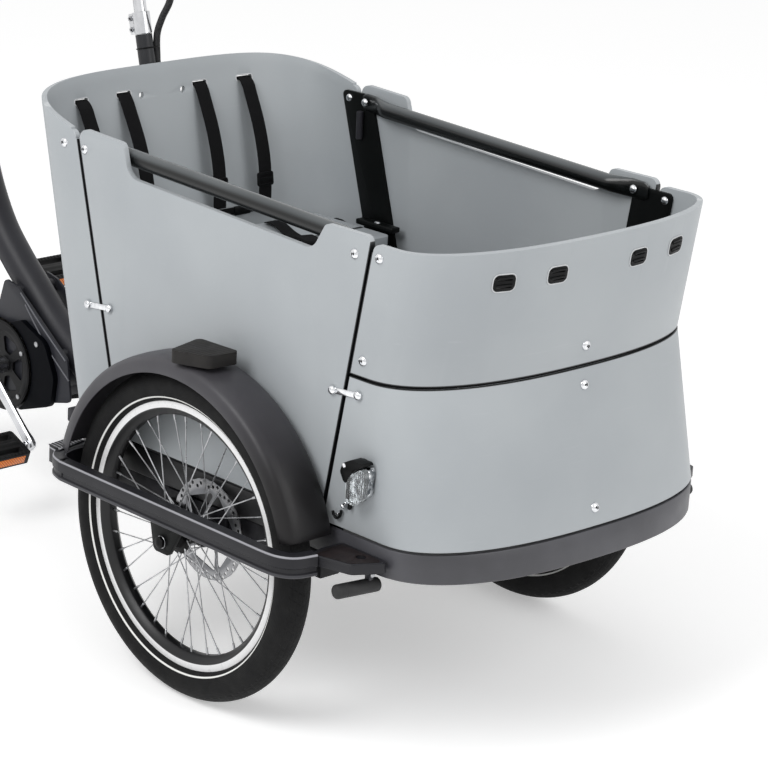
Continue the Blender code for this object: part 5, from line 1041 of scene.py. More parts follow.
# Kingpin: the steel pin between the yoke's two plates, on a sealed bearing at each end.
pin = [(0, HEAD_HIGH + 0.0188), (0.0085, HEAD_HIGH + 0.0188), (0.0092, HEAD_HIGH + 0.0181),
    (0.0092, HEAD_HIGH - 0.001), (0.016, HEAD_HIGH - 0.001), (0.017, HEAD_HIGH - 0.0018),
    (0.017, HEAD_HIGH - 0.0112), (0.016, HEAD_HIGH - 0.012), (0.0092, HEAD_HIGH - 0.012),
    (0.0092, HEAD_LOW + 0.012), (0.016, HEAD_LOW + 0.012), (0.017, HEAD_LOW + 0.0112),
    (0.017, HEAD_LOW + 0.0018), (0.016, HEAD_LOW + 0.001), (0.0092, HEAD_LOW + 0.001),
    (0.0092, HEAD_LOW - 0.0089), (0.0132, HEAD_LOW - 0.0089), (0.014, HEAD_LOW - 0.0097),
    (0.014, HEAD_LOW - 0.014), (0.0128, HEAD_LOW - 0.0149), (0, HEAD_LOW - 0.0149)]
meshes = [turned(pin, 48, STEER), turned(spool(0.009, 0.0108, HEAD_HIGH + 0.009, HEAD_HIGH + 0.0163,
    0.0008), 6, STEER)]
dress("kingpin_bolt", meshes, steel_paint, replaces=["kingpin"])


# Base tray: a shallow anthracite tray whose outline follows the box, with a lip that the
# panels stand on.
BOX_HALF_WIDTH = TRACK / 2 - 0.0505
WALL_Y, WALL_Z = -0.305, 0.341        # where the wall stands at this half width
WALL_FLARE, WALL_LEAN = 0.0075, 0.016
TRAY_FOOT, TRAY_TOP = 0.295, 0.3405
NOSE_LEVELS = ((TRAY_FOOT, -0.344, -0.493), (0.341, -0.356, -0.4875), (0.5775, -0.31, -0.44),
    (0.7785, -0.352, -0.4655))
NOSE_POWER, STERN_POWER = 2.4, 3.6
STERN_BACK, STERN_TOP, STERN_DEPTH = 0.545, 0.859, 0.171
SHELL_STEPS = 44


def wall_half(y, z):
    return BOX_HALF_WIDTH + WALL_FLARE * (y - WALL_Y) - WALL_LEAN * (z - WALL_Z)


def nose_at(z):
    """Where the nose's curve starts and how far forward it reaches at height z."""
    for low, high in zip(NOSE_LEVELS, NOSE_LEVELS[1:]):
        if z <= high[0] or high is NOSE_LEVELS[-1]:
            t = (z - low[0]) / (high[0] - low[0])
            return tuple(a + (b - a) * t for a, b in zip(low[1:], high[1:]))


def stern_start(z):
    return STERN_BACK - (STERN_TOP - z) * tan(HEAD_LEAN) - STERN_DEPTH


def nose_half(z, inset=0.0):
    """From the nose's widest point to its middle, on the left side."""
    start, tip = nose_at(z)
    half = wall_half(start, z) - inset
    return [(half * max(cos(a), 0.0) ** (2 / NOSE_POWER), start + (tip + inset - start)
        * sin(a) ** (2 / NOSE_POWER)) for a in [pi / 2 * k / SHELL_STEPS for k in range(SHELL_STEPS + 1)]]


def stern_half(z, inset=0.0):
    start = stern_start(z)
    half = wall_half(start, z) - inset
    return [(half * max(cos(a), 0.0) ** (2 / STERN_POWER), start + (STERN_DEPTH - inset)
        * sin(a) ** (2 / STERN_POWER)) for a in [pi / 2 * k / SHELL_STEPS for k in range(SHELL_STEPS + 1)]]


def box_outline(z, inset=0.0, stern_z=None):
    half = nose_half(z, inset)[::-1] + stern_half(stern_z or z, inset)
    return half + [(-x, y) for x, y in half[-2:0:-1]]


tray_paint = Paint("tray_plastic", (66, 66, 71), 0.42)
clouds = tray_paint.here.noise(7.0, 4.0)
# Painted shade: the tray goes near black from about 0.22 m ahead of the front axle backwards, for the shade
# under the box and behind the wheels.
painted_shade_under_box = tray_paint.here.split()[1].ramp(AXLE_Y - 0.275, AXLE_Y - 0.215)
tone = clouds.ramp(0.3, 0.7).tones((58, 58, 62), (74, 74, 79))
tray_paint.vary("Base Color", painted_shade_under_box.blend(tone, srgb(15, 15, 17)))
tray_paint.rough(0.34, 0.16, 40.0, 3.0)
tray_paint.grain(900.0, 1.0, 0.00012)
levels = ((TRAY_FOOT, 0.003), (0.2962, 0.001), (0.2985, 0.0), (0.318, 0.0), (0.339, 0.0), (0.3402, 0.0008),
    (TRAY_TOP, 0.002), (TRAY_TOP, 0.0034), (0.3398, 0.004), (0.299, 0.0042))
rows = []
for z, inset in levels:
    low, high = box_outline(TRAY_FOOT, inset), box_outline(TRAY_TOP, inset)
    t = min(1.0, max(0.0, (z - TRAY_FOOT) / (TRAY_TOP - TRAY_FOOT))) if z > 0.2991 or inset < 0.004 else 1.0
    rows.append([(a[0] + (b[0] - a[0]) * t, a[1] + (b[1] - a[1]) * t, z) for a, b in zip(low, high)])
dress("tray_shell", [solid(rows)], tray_paint, replaces=["base_tray"])


# Box floor: a dark ribbed board that lies in the tray.
floor_board = Paint("floor_board", (58, 58, 60), 0.6)
y = floor_board.here.split()[1]
ribs = (y * 420.0).sine().ramp(-0.2, 0.4)
floor_board.vary("Base Color", floor_board.here.noise(18.0, 5.0).ramp(0.3, 0.75).tones((48, 48, 50),
    (70, 69, 68)))
floor_board.rough(0.5, 0.2, 30.0, 3.0)
floor_board.relief(ribs + floor_board.here.noise(600.0, 2.0) * 0.2, 0.0008)
line = box_outline(TRAY_TOP, 0.0043, 0.299)
dress("floor_sheet", [plate([line], 0.2993, 0.3093, "Z", 0.0015)], floor_board, replaces=["box_floor"])


# Box panels: five satin blue-grey plastic sheets with rounded edges and dark open joints.
# The tall stern leans back; the two nose panels curve round the front.
REAR_JOINT = (0.362, 0.815, 0.278)
FRONT_JOINT = (-0.307, 0.777, -0.1665)
NOSE_SEAM = 0.5775


def joint_y(joint, z):
    """The place of the joint between two panels at height z."""
    return joint[0] - (joint[1] - z) * joint[2]


panel_paint = Paint("panel_plastic", (168, 173, 177), 0.42)
clouds = panel_paint.here.noise(3.0, 5.0).ramp(0.3, 0.7)
# Sharp edges are painted lighter: partly wear, partly a painted highlight on the bevels.
edge_wear_and_highlight = panel_paint.edge(0.51, 0.6)
tone = clouds.tones((163, 168, 172), (173, 178, 181))
scuff = panel_paint.here.stretched(6, 60, 200).noise(1.0, 5.0).ramp(0.62, 0.8) * 0.2
tone = (edge_wear_and_highlight * 0.6).blend(scuff.blend(tone, srgb(188, 191, 194)), srgb(206, 209, 211))
x, y, z = panel_paint.here.split()
y = y - AXLE_Y
front = y - joint_y(FRONT_JOINT, z)
back = y - joint_y(REAR_JOINT, z)
across = z - NOSE_SEAM
# Painted shade: the panels go near black within about 4 mm of each side joint and of the nose's seam, for
# the shade inside the open joints.
painted_joint_shade = 1.0 - abs(front).ramp(0.0038, 0.0046)
painted_joint_shade = painted_joint_shade.maths("MAXIMUM", 1.0 - abs(back).ramp(0.0038, 0.0046))
seam = (1.0 - abs(across).ramp(0.003, 0.004)) * (1.0 - front.ramp(-0.002, 0.0))
panel_paint.vary("Base Color", painted_joint_shade.maths("MAXIMUM", seam).blend(tone, srgb(22, 24, 26)))
panel_paint.rough(0.36, 0.14, 14.0, 4.0)
panel_paint.grain(1300.0, 1.0, 0.00006)
PANEL = 0.009
PANEL_FOOT = 0.3445
PANEL_JOINT = 0.005


def sheet(rows, tools):
    """A panel from its outer surface: given its thickness, cut, and its edges rounded."""
    obj = bpy.data.objects.new("sheet", grid(rows))
    mod = obj.modifiers.new("Solidify", "SOLIDIFY")
    mod.thickness = PANEL
    mod.offset = -1.0
    mod.use_even_offset = True
    return eased(carved(baked(obj), tools), 0.0016, 3, 40.0)


def corner_tool(y, z, radius, ahead):
    """Rounds a panel's top corner; ahead is 1 or -1, the side where the panel lies."""
    arc = [(y + ahead * radius * (1 - sin(a)), z - radius * (1 - cos(a)))
        for a in [pi / 2 * k / 8 for k in range(9)]]
    line = arc + [(y - ahead * 0.004, z - radius), (y - ahead * 0.004, z + 0.004),
        (y + ahead * radius, z + 0.004)]
    return plate([line], -0.5, 0.5, ease=0)


def slot_tool(x, z, half, high, low_y, high_y):
    return plate([oblong(x - half, z - high, x + half, z + high, 0.004, 5)], low_y, high_y, "Y", ease=0)


def wall_frame(side, skew=0.0):
    """Lays a plate drawn in y and z against the leaning side wall; x = 0 is the outside."""
    line = joint_y(REAR_JOINT, 0.0) - 0.034
    across = Vector((1.0, WALL_FLARE - skew, -WALL_LEAN + skew * REAR_JOINT[2]))
    shift = BOX_HALF_WIDTH - WALL_FLARE * WALL_Y + WALL_LEAN * WALL_Z + skew * line
    return Matrix((side * Vector((*across, shift)), (0, 1, 0, 0), (0, 0, 1, 0), (0, 0, 0, 1)))


STRAP_TOPS = (0.083, 0.178)
STRAP_Z, SLOT_Z = 0.818, 0.732
rows = []
for share in [k / 28 for k in range(29)]:
    half = []
    for k in range(SHELL_STEPS + 1):
        a = pi / 2 * k / SHELL_STEPS
        top = 0.815 + 0.044 * sin(a) ** (2 / STERN_POWER)
        z = PANEL_FOOT + (top - PANEL_FOOT) * share
        half.append((*stern_half(z)[k], z))
    z = half[0][2]
    edge = joint_y(REAR_JOINT, z) + PANEL_JOINT / 2
    half = [(wall_half(edge, z), edge, z)] + half[1:]
    rows.append(half + [(-x, y, z) for x, y, z in half[-2::-1]])
tools = [corner_tool(joint_y(REAR_JOINT, 0.815) + PANEL_JOINT / 2, 0.815, 0.013, 1)]
for side in (-1, 1):
    tools += [slot_tool(side * x, STRAP_Z, 0.0165, 0.0055, 0.45, 0.6) for x in STRAP_TOPS]
    tools.append(bar((side * 0.045, 0.45, 0.812), (side * 0.045, 0.6, 0.812), 0.0055))
dress("stern_sheet", [sheet(rows, tools)], panel_paint, replaces=["rear_panel"])
for side, label in SIDES:
    near = PANEL_JOINT / 2
    line = rounded([(joint_y(FRONT_JOINT, PANEL_FOOT) + near, PANEL_FOOT, 0.005),
        (joint_y(REAR_JOINT, PANEL_FOOT) - near, PANEL_FOOT, 0.005), (joint_y(REAR_JOINT, 0.822) - near,
        0.822, 0.018), (0.247, 0.8165, 0.012), (0.232, 0.7655, 0.03), (-0.187, 0.7437, 0.025),
        (-0.212, 0.787, 0.012), (joint_y(FRONT_JOINT, 0.787) + near, 0.787, 0.012)], 8)
    dress("side_sheet_" + label, [moved(plate([line], -PANEL, 0.0, ease=0.0016, segments=3),
        wall_frame(side))], panel_paint, replaces=["side_panel_" + label])
for name, low, high, node in (("nose_sheet_upper", 0.5795, 0.7785, "front_panel_upper"),
        ("nose_sheet_lower", PANEL_FOOT, 0.5755, "front_panel_lower")):
    rows = []
    for z in (high, low + (high - low) * 0.5, low):
        edge = joint_y(FRONT_JOINT, z) - PANEL_JOINT / 2
        half = [(wall_half(edge, z), edge)] + nose_half(z)
        rows.append([(x, y, z) for x, y in half] + [(-x, y, z) for x, y in half[-2::-1]])
    tools = []
    if high > 0.6:
        tools.append(corner_tool(joint_y(FRONT_JOINT, high) - PANEL_JOINT / 2, high, 0.013, -1))
        for side in (-1, 1):
            tools += [slot_tool(side * x, SLOT_Z, 0.0145, 0.0085, -0.52, -0.4) for x in (0.085, 0.18)]
    dress(name, [sheet(rows, tools)], panel_paint, replaces=[node])
# Painted shade: a near-black sheet fills the gap of the nose's seam and stands in for the shade inside it.
outer, inner = nose_half(NOSE_SEAM, 0.003), nose_half(NOSE_SEAM, 0.006)
outer, inner = [half + [(-x, y) for x, y in half[-2::-1]] for half in (outer, inner)]
seam_shade_paint = Paint("seam_shade_sheet", (14, 15, 16), 0.7, shine=0.1).speckle((18, 19, 20), (10, 11, 12), 60.0)
dress("nose_seam_shade_sheet", [plate([outer + inner[::-1]], NOSE_SEAM - 0.0018, NOSE_SEAM + 0.0018, "Z", 0)], seam_shade_paint)


# Panel bolts: chrome dome heads with dark hexagon sockets, along the joints and the middle.
def shell_x(y, z):
    """Half width of the box's outside at any y."""
    start, tip = nose_at(z)
    if y < start:
        return wall_half(start, z) * (1 - ((y - start) / (tip - start)) ** NOSE_POWER) ** (1 / NOSE_POWER)
    start = stern_start(z)
    if y > start:
        return wall_half(start, z) * (1 - ((y - start) / STERN_DEPTH) ** STERN_POWER) ** (1 / STERN_POWER)
    return wall_half(y, z)


def nose_y(x, z):
    start, tip = nose_at(z)
    share = abs(x) / wall_half(start, z)
    return start + (tip - start) * (1 - share ** NOSE_POWER) ** (1 / NOSE_POWER)


def frame_from(spot, outwards, along):
    """A frame at a spot whose Z points outwards and whose X leans along a direction."""
    out = Vector(outwards).normalized()
    first = (Vector(along) - out * out.dot(Vector(along))).normalized()
    second = out.cross(first)
    return Matrix.Translation(spot) @ Matrix((first, second, out)).transposed().to_4x4()


def side_spot(side, y, z, along=(0, -1, 0)):
    """A frame on the box's outside, seen from the side."""
    d = 0.001
    slope_y = (shell_x(y + d, z) - shell_x(y - d, z)) / (2 * d)
    slope_z = (shell_x(y, z + d) - shell_x(y, z - d)) / (2 * d)
    return frame_from((side * shell_x(y, z), y, z), (side, -slope_y, -slope_z), along)


def nose_spot(x, z, along=(1, 0, 0)):
    """A frame on the box's outside, seen from the front."""
    d = 0.001
    slope_x = (nose_y(x + d, z) - nose_y(x - d, z)) / (2 * d)
    slope_z = (nose_y(x, z + d) - nose_y(x, z - d)) / (2 * d)
    return frame_from((x, nose_y(x, z), z), (slope_x, -1.0, slope_z), along)


chrome = (Paint("chrome", (224, 225, 227), 0.08, 1.0)
    .rough(0.05, 0.12, 200.0, 3.0).speckle((230, 231, 233), (205, 207, 210), 120.0))
socket_paint = (Paint("socket_shadow", (30, 30, 32), 0.5, 0.6)
    .rough(0.4, 0.2, 300.0, 2.0).speckle((38, 38, 40), (22, 22, 23), 150.0))
DOME = [(0, 0.0026), (0.003, 0.0026), (0.0033, 0.0044), (0.0052, 0.0038), (0.007, 0.0024), (0.0079, 0.001),
    (0.0082, -0.0006), (0, -0.0006)]
bolt_frames = []
for side in (-1, 1):
    bolt_frames += [side_spot(side, y, z) for y, z in ((0.3935, 0.7907), (0.341, 0.7894), (-0.2736, 0.7557),
        (-0.3226, 0.7592), (-0.3019, 0.6039))]
bolt_frames += [nose_spot(0.0, z) for z in (0.6091, 0.55, 0.3711)]
dress("panel_bolts", [turned(DOME, 32, m) for m in bolt_frames], chrome)
dress("panel_bolt_sockets", [turned([(0, 0.0029), (0.0024, 0.0029), (0.0026, 0.002), (0, 0.002)], 6, m)
    for m in bolt_frames], socket_paint)


# Link clips: short chrome straps with two domed heads that tie the panels across a joint.
meshes = []
for side in (-1, 1):
    for y, z in ((0.292, 0.544), (-0.2718, 0.549)):
        place = side_spot(side, y, z, (0, -1, 0.1))
        strap = oblong(-0.033, -0.0045, 0.033, 0.0045, 0.004, 6)
        meshes.append(moved(plate([strap], 0.0002, 0.0024, "Z", 0.0006), place))
        for along in (-0.0265, 0.0265):
            head = lathe([(0, 0.0072), (0.003, 0.007), (0.0055, 0.0058), (0.0068, 0.004), (0.0071, 0.002),
                (0, 0.002)], (along, 0, 0), 32, Matrix.Identity(4))
            meshes.append(moved(head, place))
dress("link_clips", meshes, chrome)


# Slot inserts: black moulded guides in the nose panel's four belt slots, and thin light
# rims round the stern's strap slots.
insert_paint = (Paint("insert_plastic", (8, 9, 10), 0.4, shine=0.14)
    .rough(0.34, 0.2, 70.0, 3.0).speckle((10, 11, 12), (6, 7, 8), 50.0).grain(800.0, 1.0, 0.0001))
meshes, halos = [], []
for x in (-0.18, -0.085, 0.085, 0.18):
    place = nose_spot(x, SLOT_Z)
    rim = oblong(-0.018, -0.012, 0.018, 0.012, 0.008, 6)
    holes = [oblong(-0.0125, low, 0.0125, low + 0.0042, 0.001, 3) for low in (-0.0078, 0.0036)]
    meshes.append(moved(plate([rim] + holes, -0.0102, 0.0014, "Z", 0.0007), place))
    for low in (-0.0036, 0.0078):
        meshes.append(moved(block((-0.014, low - 0.0016, 0.0008), (0.014, low + 0.0016, 0.0034), 0.0012,
            segments=3), place))
    halo = [place @ Vector((x, y, 0.0003)) for x, y in oblong(-0.0193, -0.0133, 0.0193, 0.0133, 0.009, 6)]
    halos.append(tube(halo, 0.001, 8, loop=True))
dress("slot_inserts", meshes, insert_paint)
slot_rim = (Paint("slot_rim", (205, 207, 208), 0.35)
    .rough(0.3, 0.15, 90.0, 2.0).speckle((212, 214, 215), (196, 198, 200), 40.0))


def stern_y(x, z, inset=0.0):
    """The stern's outside, or its inside when inset by a panel, at x and z."""
    start = stern_start(z)
    share = min(abs(x) / (wall_half(start, z) - inset), 1.0)
    return start + (STERN_DEPTH - inset) * (1 - share ** STERN_POWER) ** (1 / STERN_POWER)


meshes = []
for side in (-1, 1):
    for x in STRAP_TOPS:
        for inset, lift in ((0.0, -0.0006), (PANEL, 0.0006)):
            loop = [(side * x + dx, STRAP_Z + dz) for dx, dz in oblong(-0.0163, -0.0052, 0.0163, 0.0052,
                0.004, 6)]
            path = [(u, stern_y(u, v, inset) + lift, v) for u, v in loop]
            meshes.append(tube(path, 0.0011, 8, loop=True))
dress("slot_rims", meshes + halos, slot_rim)


# Box frame: satin black steel posts behind the four joints, a round rail along each side,
# and the bar under the bench with its hinge ears.
black_coat = powder_coat("black_coat", (10, 12, 12), 0.36, 0.12, (0.03, 0.03, 0.03))
HINGE = (0.365, 0.5795)
meshes = []
for side in (-1, 1):
    for joint, back_y, ahead_y, top, skew in ((REAR_JOINT, -0.034, 0.036, 0.806, 0.03),
            (FRONT_JOINT, -0.034, 0.042, 0.771, 0.0)):
        foot = 0.3118
        line = rounded([(joint_y(joint, foot) + back_y, foot, 0.003), (joint_y(joint, foot) + ahead_y, foot,
            0.003), (joint_y(joint, top) + ahead_y, top, 0.008), (joint_y(joint, top) + back_y, top,
            0.008)], 6)
        meshes.append(moved(plate([line], -0.0143, -0.0093, ease=0.001), wall_frame(side, skew)))
    ear = rounded([(0.292, HINGE[1] - 0.026, 0.004), (0.31, HINGE[1] - 0.026, 0.004),
        (0.374, HINGE[1] - 0.008, 0.004), (0.374, HINGE[1] + 0.008, 0.006),
        (0.355, HINGE[1] + 0.008, 0.006), (0.292, HINGE[1] - 0.012, 0.004)], 5)
    bench_half = BOX_HALF_WIDTH - 0.0505
    meshes += [moved(plate([ear], bench_half + 0.0015, bench_half + 0.0065), mirror(side)),
        bar((side * (bench_half + 0.0035), *HINGE), (side * (bench_half - 0.011), *HINGE), 0.004, 20)]
z = HINGE[1] - 0.0075 - 0.0003 - 0.01
reach = wall_half(0.3, z) - 0.0128
meshes.append(bar((-reach, 0.3, z), (reach, 0.3, z), 0.01, 32))
dress("box_posts", meshes, black_coat, replaces=["box_frame"])


# Rails: dark tubes along the box's sides whose flattened ends lie on the posts, each held
# by a chrome dome beside the one that holds the post itself.
rail_paint = Paint("rail_coat", (72, 76, 78), 0.22, shine=0.4)
clouds = rail_paint.here.noise(7.0, 2.0).ramp(0.3, 0.7)
tone = clouds.tones((74, 78, 80), (86, 90, 92))
# Painted shade and highlight: the rail goes near black where it faces down and keeps its lighter tone where
# it faces up.
rail_paint.vary("Base Color", rail_paint.facing().split()[2].ramp(0.25, 0.85).blend(srgb(12, 14, 14), tone))
rail_paint.vary("Roughness", 0.2 + 0.05 * clouds)
rail_paint.grain(30.0, 1.0, 0.00001)
rails, heads, sleeves = [], [], []
back = Vector((BOX_HALF_WIDTH - 0.0285, 0.34, 0.7935))
front = Vector((BOX_HALF_WIDTH - 0.033, -0.29, 0.7655))
along = (back - front).normalized()
for side in (-1, 1):
    rows = [(-0.004, 0.0112, 0.002, 0.01), (0.0, 0.0112, 0.003, 0.013), (0.006, 0.0112, 0.0033, 0.015),
        (0.028, 0.0105, 0.004, 0.0152), (0.042, 0.006, 0.008, 0.0146), (0.06, 0.001, 0.0125, 0.0138),
        (0.07, 0.0, 0.0135, 0.0135)]
    length = (back - front).length
    rows += [(length - s, out, thin, tall) for s, out, thin, tall in rows[::-1]]
    loops = []
    for s, out, thin, tall in rows:
        spot = front + along * s + Vector((out, 0, 0))
        loops.append([(side * (spot.x + thin * cos(a)), spot.y, spot.z + tall * sin(a))
            for a in circle(40)])
    rails.append(solid(loops))
    for skew, y, z, depth in ((0.03, 0.3775, 0.794, 0.0143), (0.03, 0.3335, 0.7935, 0.0213),
            (0.0, -0.326, 0.759, 0.0143), (0.0, -0.268, 0.7665, 0.0213)):
        place = frame_from(wall_frame(side, skew) @ Vector((-depth, y, z)), (-side, 0, 0), (0, 1, 0))
        heads.append(turned([(0, 0.0042), (0.003, 0.004), (0.0054, 0.003), (0.0068, 0.001),
            (0.007, -0.0004), (0, -0.0004)], 28, place))
    ends = [wall_frame(side, 0.03) @ Vector((-0.0185, 0.346, z)) for z in (0.776, 0.728)]
    sleeves.append(bar(*ends, 0.0062, 24))
dress("side_rails", rails, rail_paint)
dress("post_bolts", heads, chrome)
dress("post_sleeves", sleeves, frame_paint)


# Bench: a light panel board with rounded edges that folds up about its rear pins. A black
# bracket on each rear post holds its end down, and the belts' loose ends lie on it.
line = rounded([(-bench_half, 0.228, 0.014), (bench_half, 0.228, 0.014),
    (bench_half, HINGE[0] + 0.05, 0.01), (-bench_half, HINGE[0] + 0.05, 0.01)], 6)
dress("bench_plank", [plate([line], HINGE[1] - 0.0075, HINGE[1] + 0.0075, "Z", 0.0035, 4)], panel_paint,
    "bench", ["bench_seat"])
meshes = both([block((0.27, 0.236, 0.586), (0.2905, 0.325, 0.596), 0.003, segments=3)])
heads = [lathe([(0, 0.004), (0.003, 0.0036), (0.005, 0.0022), (0.0056, 0.0), (0, 0.0)],
    (side * 0.279, 0.28, 0.5955), 28, Matrix.Identity(4)) for side in (-1, 1)]
dress("bench_brackets", meshes, black_coat)
dress("bench_bolts", heads, chrome)


# Harness: woven black belts that come through the stern's slots, cross the lap and carry
# plastic adjusters.
webbing = Paint("webbing", (10, 10, 11), 0.85, shine=0.15)
x, y, z = webbing.here.split()
weave = ((x * 3200).sine() * (z * 2600).sine()) * 0.5 + 0.5
webbing.vary("Base Color", weave.tones((5, 5, 6), (18, 18, 20)))
webbing.rough(0.75, 0.2, 200.0, 3.0)
webbing.relief(weave + webbing.here.noise(40.0, 3.0) * 0.4, 0.0006)


BELT_FOOT, LAP_Z = 0.612, 0.6045


def ribbon(path, width, thickness, across):
    """A flat woven belt along a path, thicker in the middle than at its selvedges."""
    side = Vector(across).normalized()
    pts = [Vector(p) for p in path]
    rows = []
    for i, point in enumerate(pts):
        ahead = (pts[min(i + 1, len(pts) - 1)] - pts[max(i - 1, 0)]).normalized()
        rise = side.cross(ahead).normalized()
        rows.append([point + side * width * s + rise * thickness * u for s, u in ((-0.5, -0.25),
            (-0.44, -0.5), (0.44, -0.5), (0.5, -0.25), (0.5, 0.25), (0.44, 0.5), (-0.44, 0.5),
            (-0.5, 0.25))])
    return solid(rows)


for side, label in SIDES:
    meshes = []
    clips = []
    for top in STRAP_TOPS:
        outside = stern_y(top, STRAP_Z)
        inside = stern_y(top, STRAP_Z, PANEL)
        points = [(side * top, outside + 0.0028, 0.79), (side * top, outside + 0.003, 0.806),
            (side * top, outside + 0.002, 0.8165), (side * top, inside + 0.002, 0.8185)]
        for t in (0.04, 0.12, 0.35, 0.6, 0.8, 1.0):
            x, z = top - 0.006 * t, STRAP_Z - 0.206 * t
            bow = 0.0016 + 0.02 * sin(pi * 0.9 * t) + 0.01 * t
            points.append((side * x, stern_y(x + 0.014, z, PANEL * (1 + 1.2 * (x / 0.3) ** 4)) - bow, z))
        meshes.append(ribbon(smooth(points, 8), 0.028, 0.0018, (1, 0, 0)))
        spot = Vector(points[-2])
        ahead = Vector(points[-1]) - Vector(points[-3])
        place = frame_from(spot, ahead.cross(Vector((side, 0, 0))) * side, (1, 0, 0))
        frame_line = oblong(-0.017, -0.012, 0.017, 0.012, 0.004, 5)
        slots = [oblong(-0.0125, low, 0.0125, low + 0.006, 0.001, 3) for low in (-0.0085, 0.0025)]
        clips.append(moved(plate([frame_line] + slots, -0.0022, 0.0022, "Z", 0.001), place))
    first, last = STRAP_TOPS[0] - 0.02, STRAP_TOPS[1] + 0.008
    bow = 0.0009 + 0.02 * sin(pi * 0.9) + 0.01
    path = []
    for k in range(24):
        x = first + (last - first) * k / 23
        inner = stern_y(x + 0.014, BELT_FOOT, PANEL * (1 + 1.2 * (x / 0.3) ** 4))
        path.append((side * x, inner - bow, LAP_Z))
    meshes.append(ribbon(path, 0.012, 0.005, (0, 0, 1)))
    x = (first + last) / 2
    spot = (side * x, stern_y(x + 0.014, BELT_FOOT, PANEL) - bow - 0.002, LAP_Z)
    clips.append(block((spot[0] - 0.018, spot[1] - 0.004, spot[2] - 0.008),
        (spot[0] + 0.018, spot[1] + 0.004, spot[2] + 0.008), 0.003, segments=3))
    dress("belts_" + label, meshes, webbing, replaces=["harness_" + label])
    dress("belt_clips_" + label, clips, insert_paint)
    loose = [(side * x, y, z) for x, y, z in ((0.15, 0.408, 0.5895), (0.136, 0.372, 0.596),
        (0.124, 0.33, 0.59), (0.112, 0.285, 0.5888))]
    buckle = block((-0.019, -0.024, -0.006), (0.019, 0.024, 0.006), 0.005, segments=4)
    place = Matrix.Translation((side * 0.106, 0.262, 0.5935)) @ Matrix.Rotation(side * -0.25, 4, "Z")
    dress("loose_belt_" + label, [ribbon(smooth(loose, 8), 0.028, 0.0018, (1, 0, 0)), moved(buckle, place)],
        webbing, "bench")


# Wheel guards: grooved anthracite bars round the outside of the front wheels, with a
# front bracket, an ear for the axle's end, and a ribbed step tread at the rear.
guard_paint = Paint("guard_plastic", (30, 30, 34), 0.36, shine=0.3)
clouds = guard_paint.here.noise(9.0, 4.0)
z = guard_paint.here.split()[2]
# Painted highlight: a light line along the bar's upper bevels, between z 0.325 and 0.328.
painted_edge_highlight = z.ramp(0.325, 0.3262) * (1.0 - z.ramp(0.3279, 0.3284)) * 0.8
low_side = (1.0 - z.ramp(0.3, 0.301)) * 0.6
tone = clouds.ramp(0.3, 0.7).tones((26, 26, 30), (34, 34, 38))
guard_paint.vary("Base Color", painted_edge_highlight.blend(low_side.blend(tone, srgb(74, 74, 79)), srgb(168, 168, 174)))
guard_paint.rough(0.34, 0.16, 50.0, 3.0)
guard_paint.grain(1000.0, 1.0, 0.00015)
bracket_paint = (Paint("bracket_plastic", (30, 23, 24), 0.36, shine=0.3)
    .speckle((36, 28, 28), (24, 18, 19), 40.0).rough(0.3, 0.2, 60.0, 3.0).grain(900.0, 1.0, 0.00012))
rubber_paint = (Paint("black_rubber", (33, 33, 34), 0.7)
    .speckle((40, 40, 41), (26, 26, 27), 30.0).rough(0.6, 0.25, 70.0, 3.0).grain(700.0, 2.0, 0.0002))
# Painted highlight: the step tread's light grey top stands in for the light its ribbed top catches.
tread_highlight_paint = (Paint("tread_top_highlight", (146, 146, 150), 0.5)
    .speckle((154, 154, 158), (136, 136, 140), 50.0).rough(0.42, 0.2, 60.0, 3.0).grain(900.0, 2.0, 0.0002))
GUARD_X = TRACK / 2 + 0.066
GUARD_REAR = 0.2735
wall = BOX_HALF_WIDTH
half = 0.01675
section = [(-0.011, -half + 0.002), (-0.009, -half), (0.009, -half), (0.011, -half + 0.002),
    (0.011, -0.011), (0.0082, -0.0092), (0.008, -0.0085), (0.008, -0.0035), (0.0082, -0.0028),
    (0.011, -0.001), (0.011, half - 0.004), (0.0102, half - 0.0014), (0.0086, half), (-0.0086, half),
    (-0.0102, half - 0.0014), (-0.011, half - 0.004)]
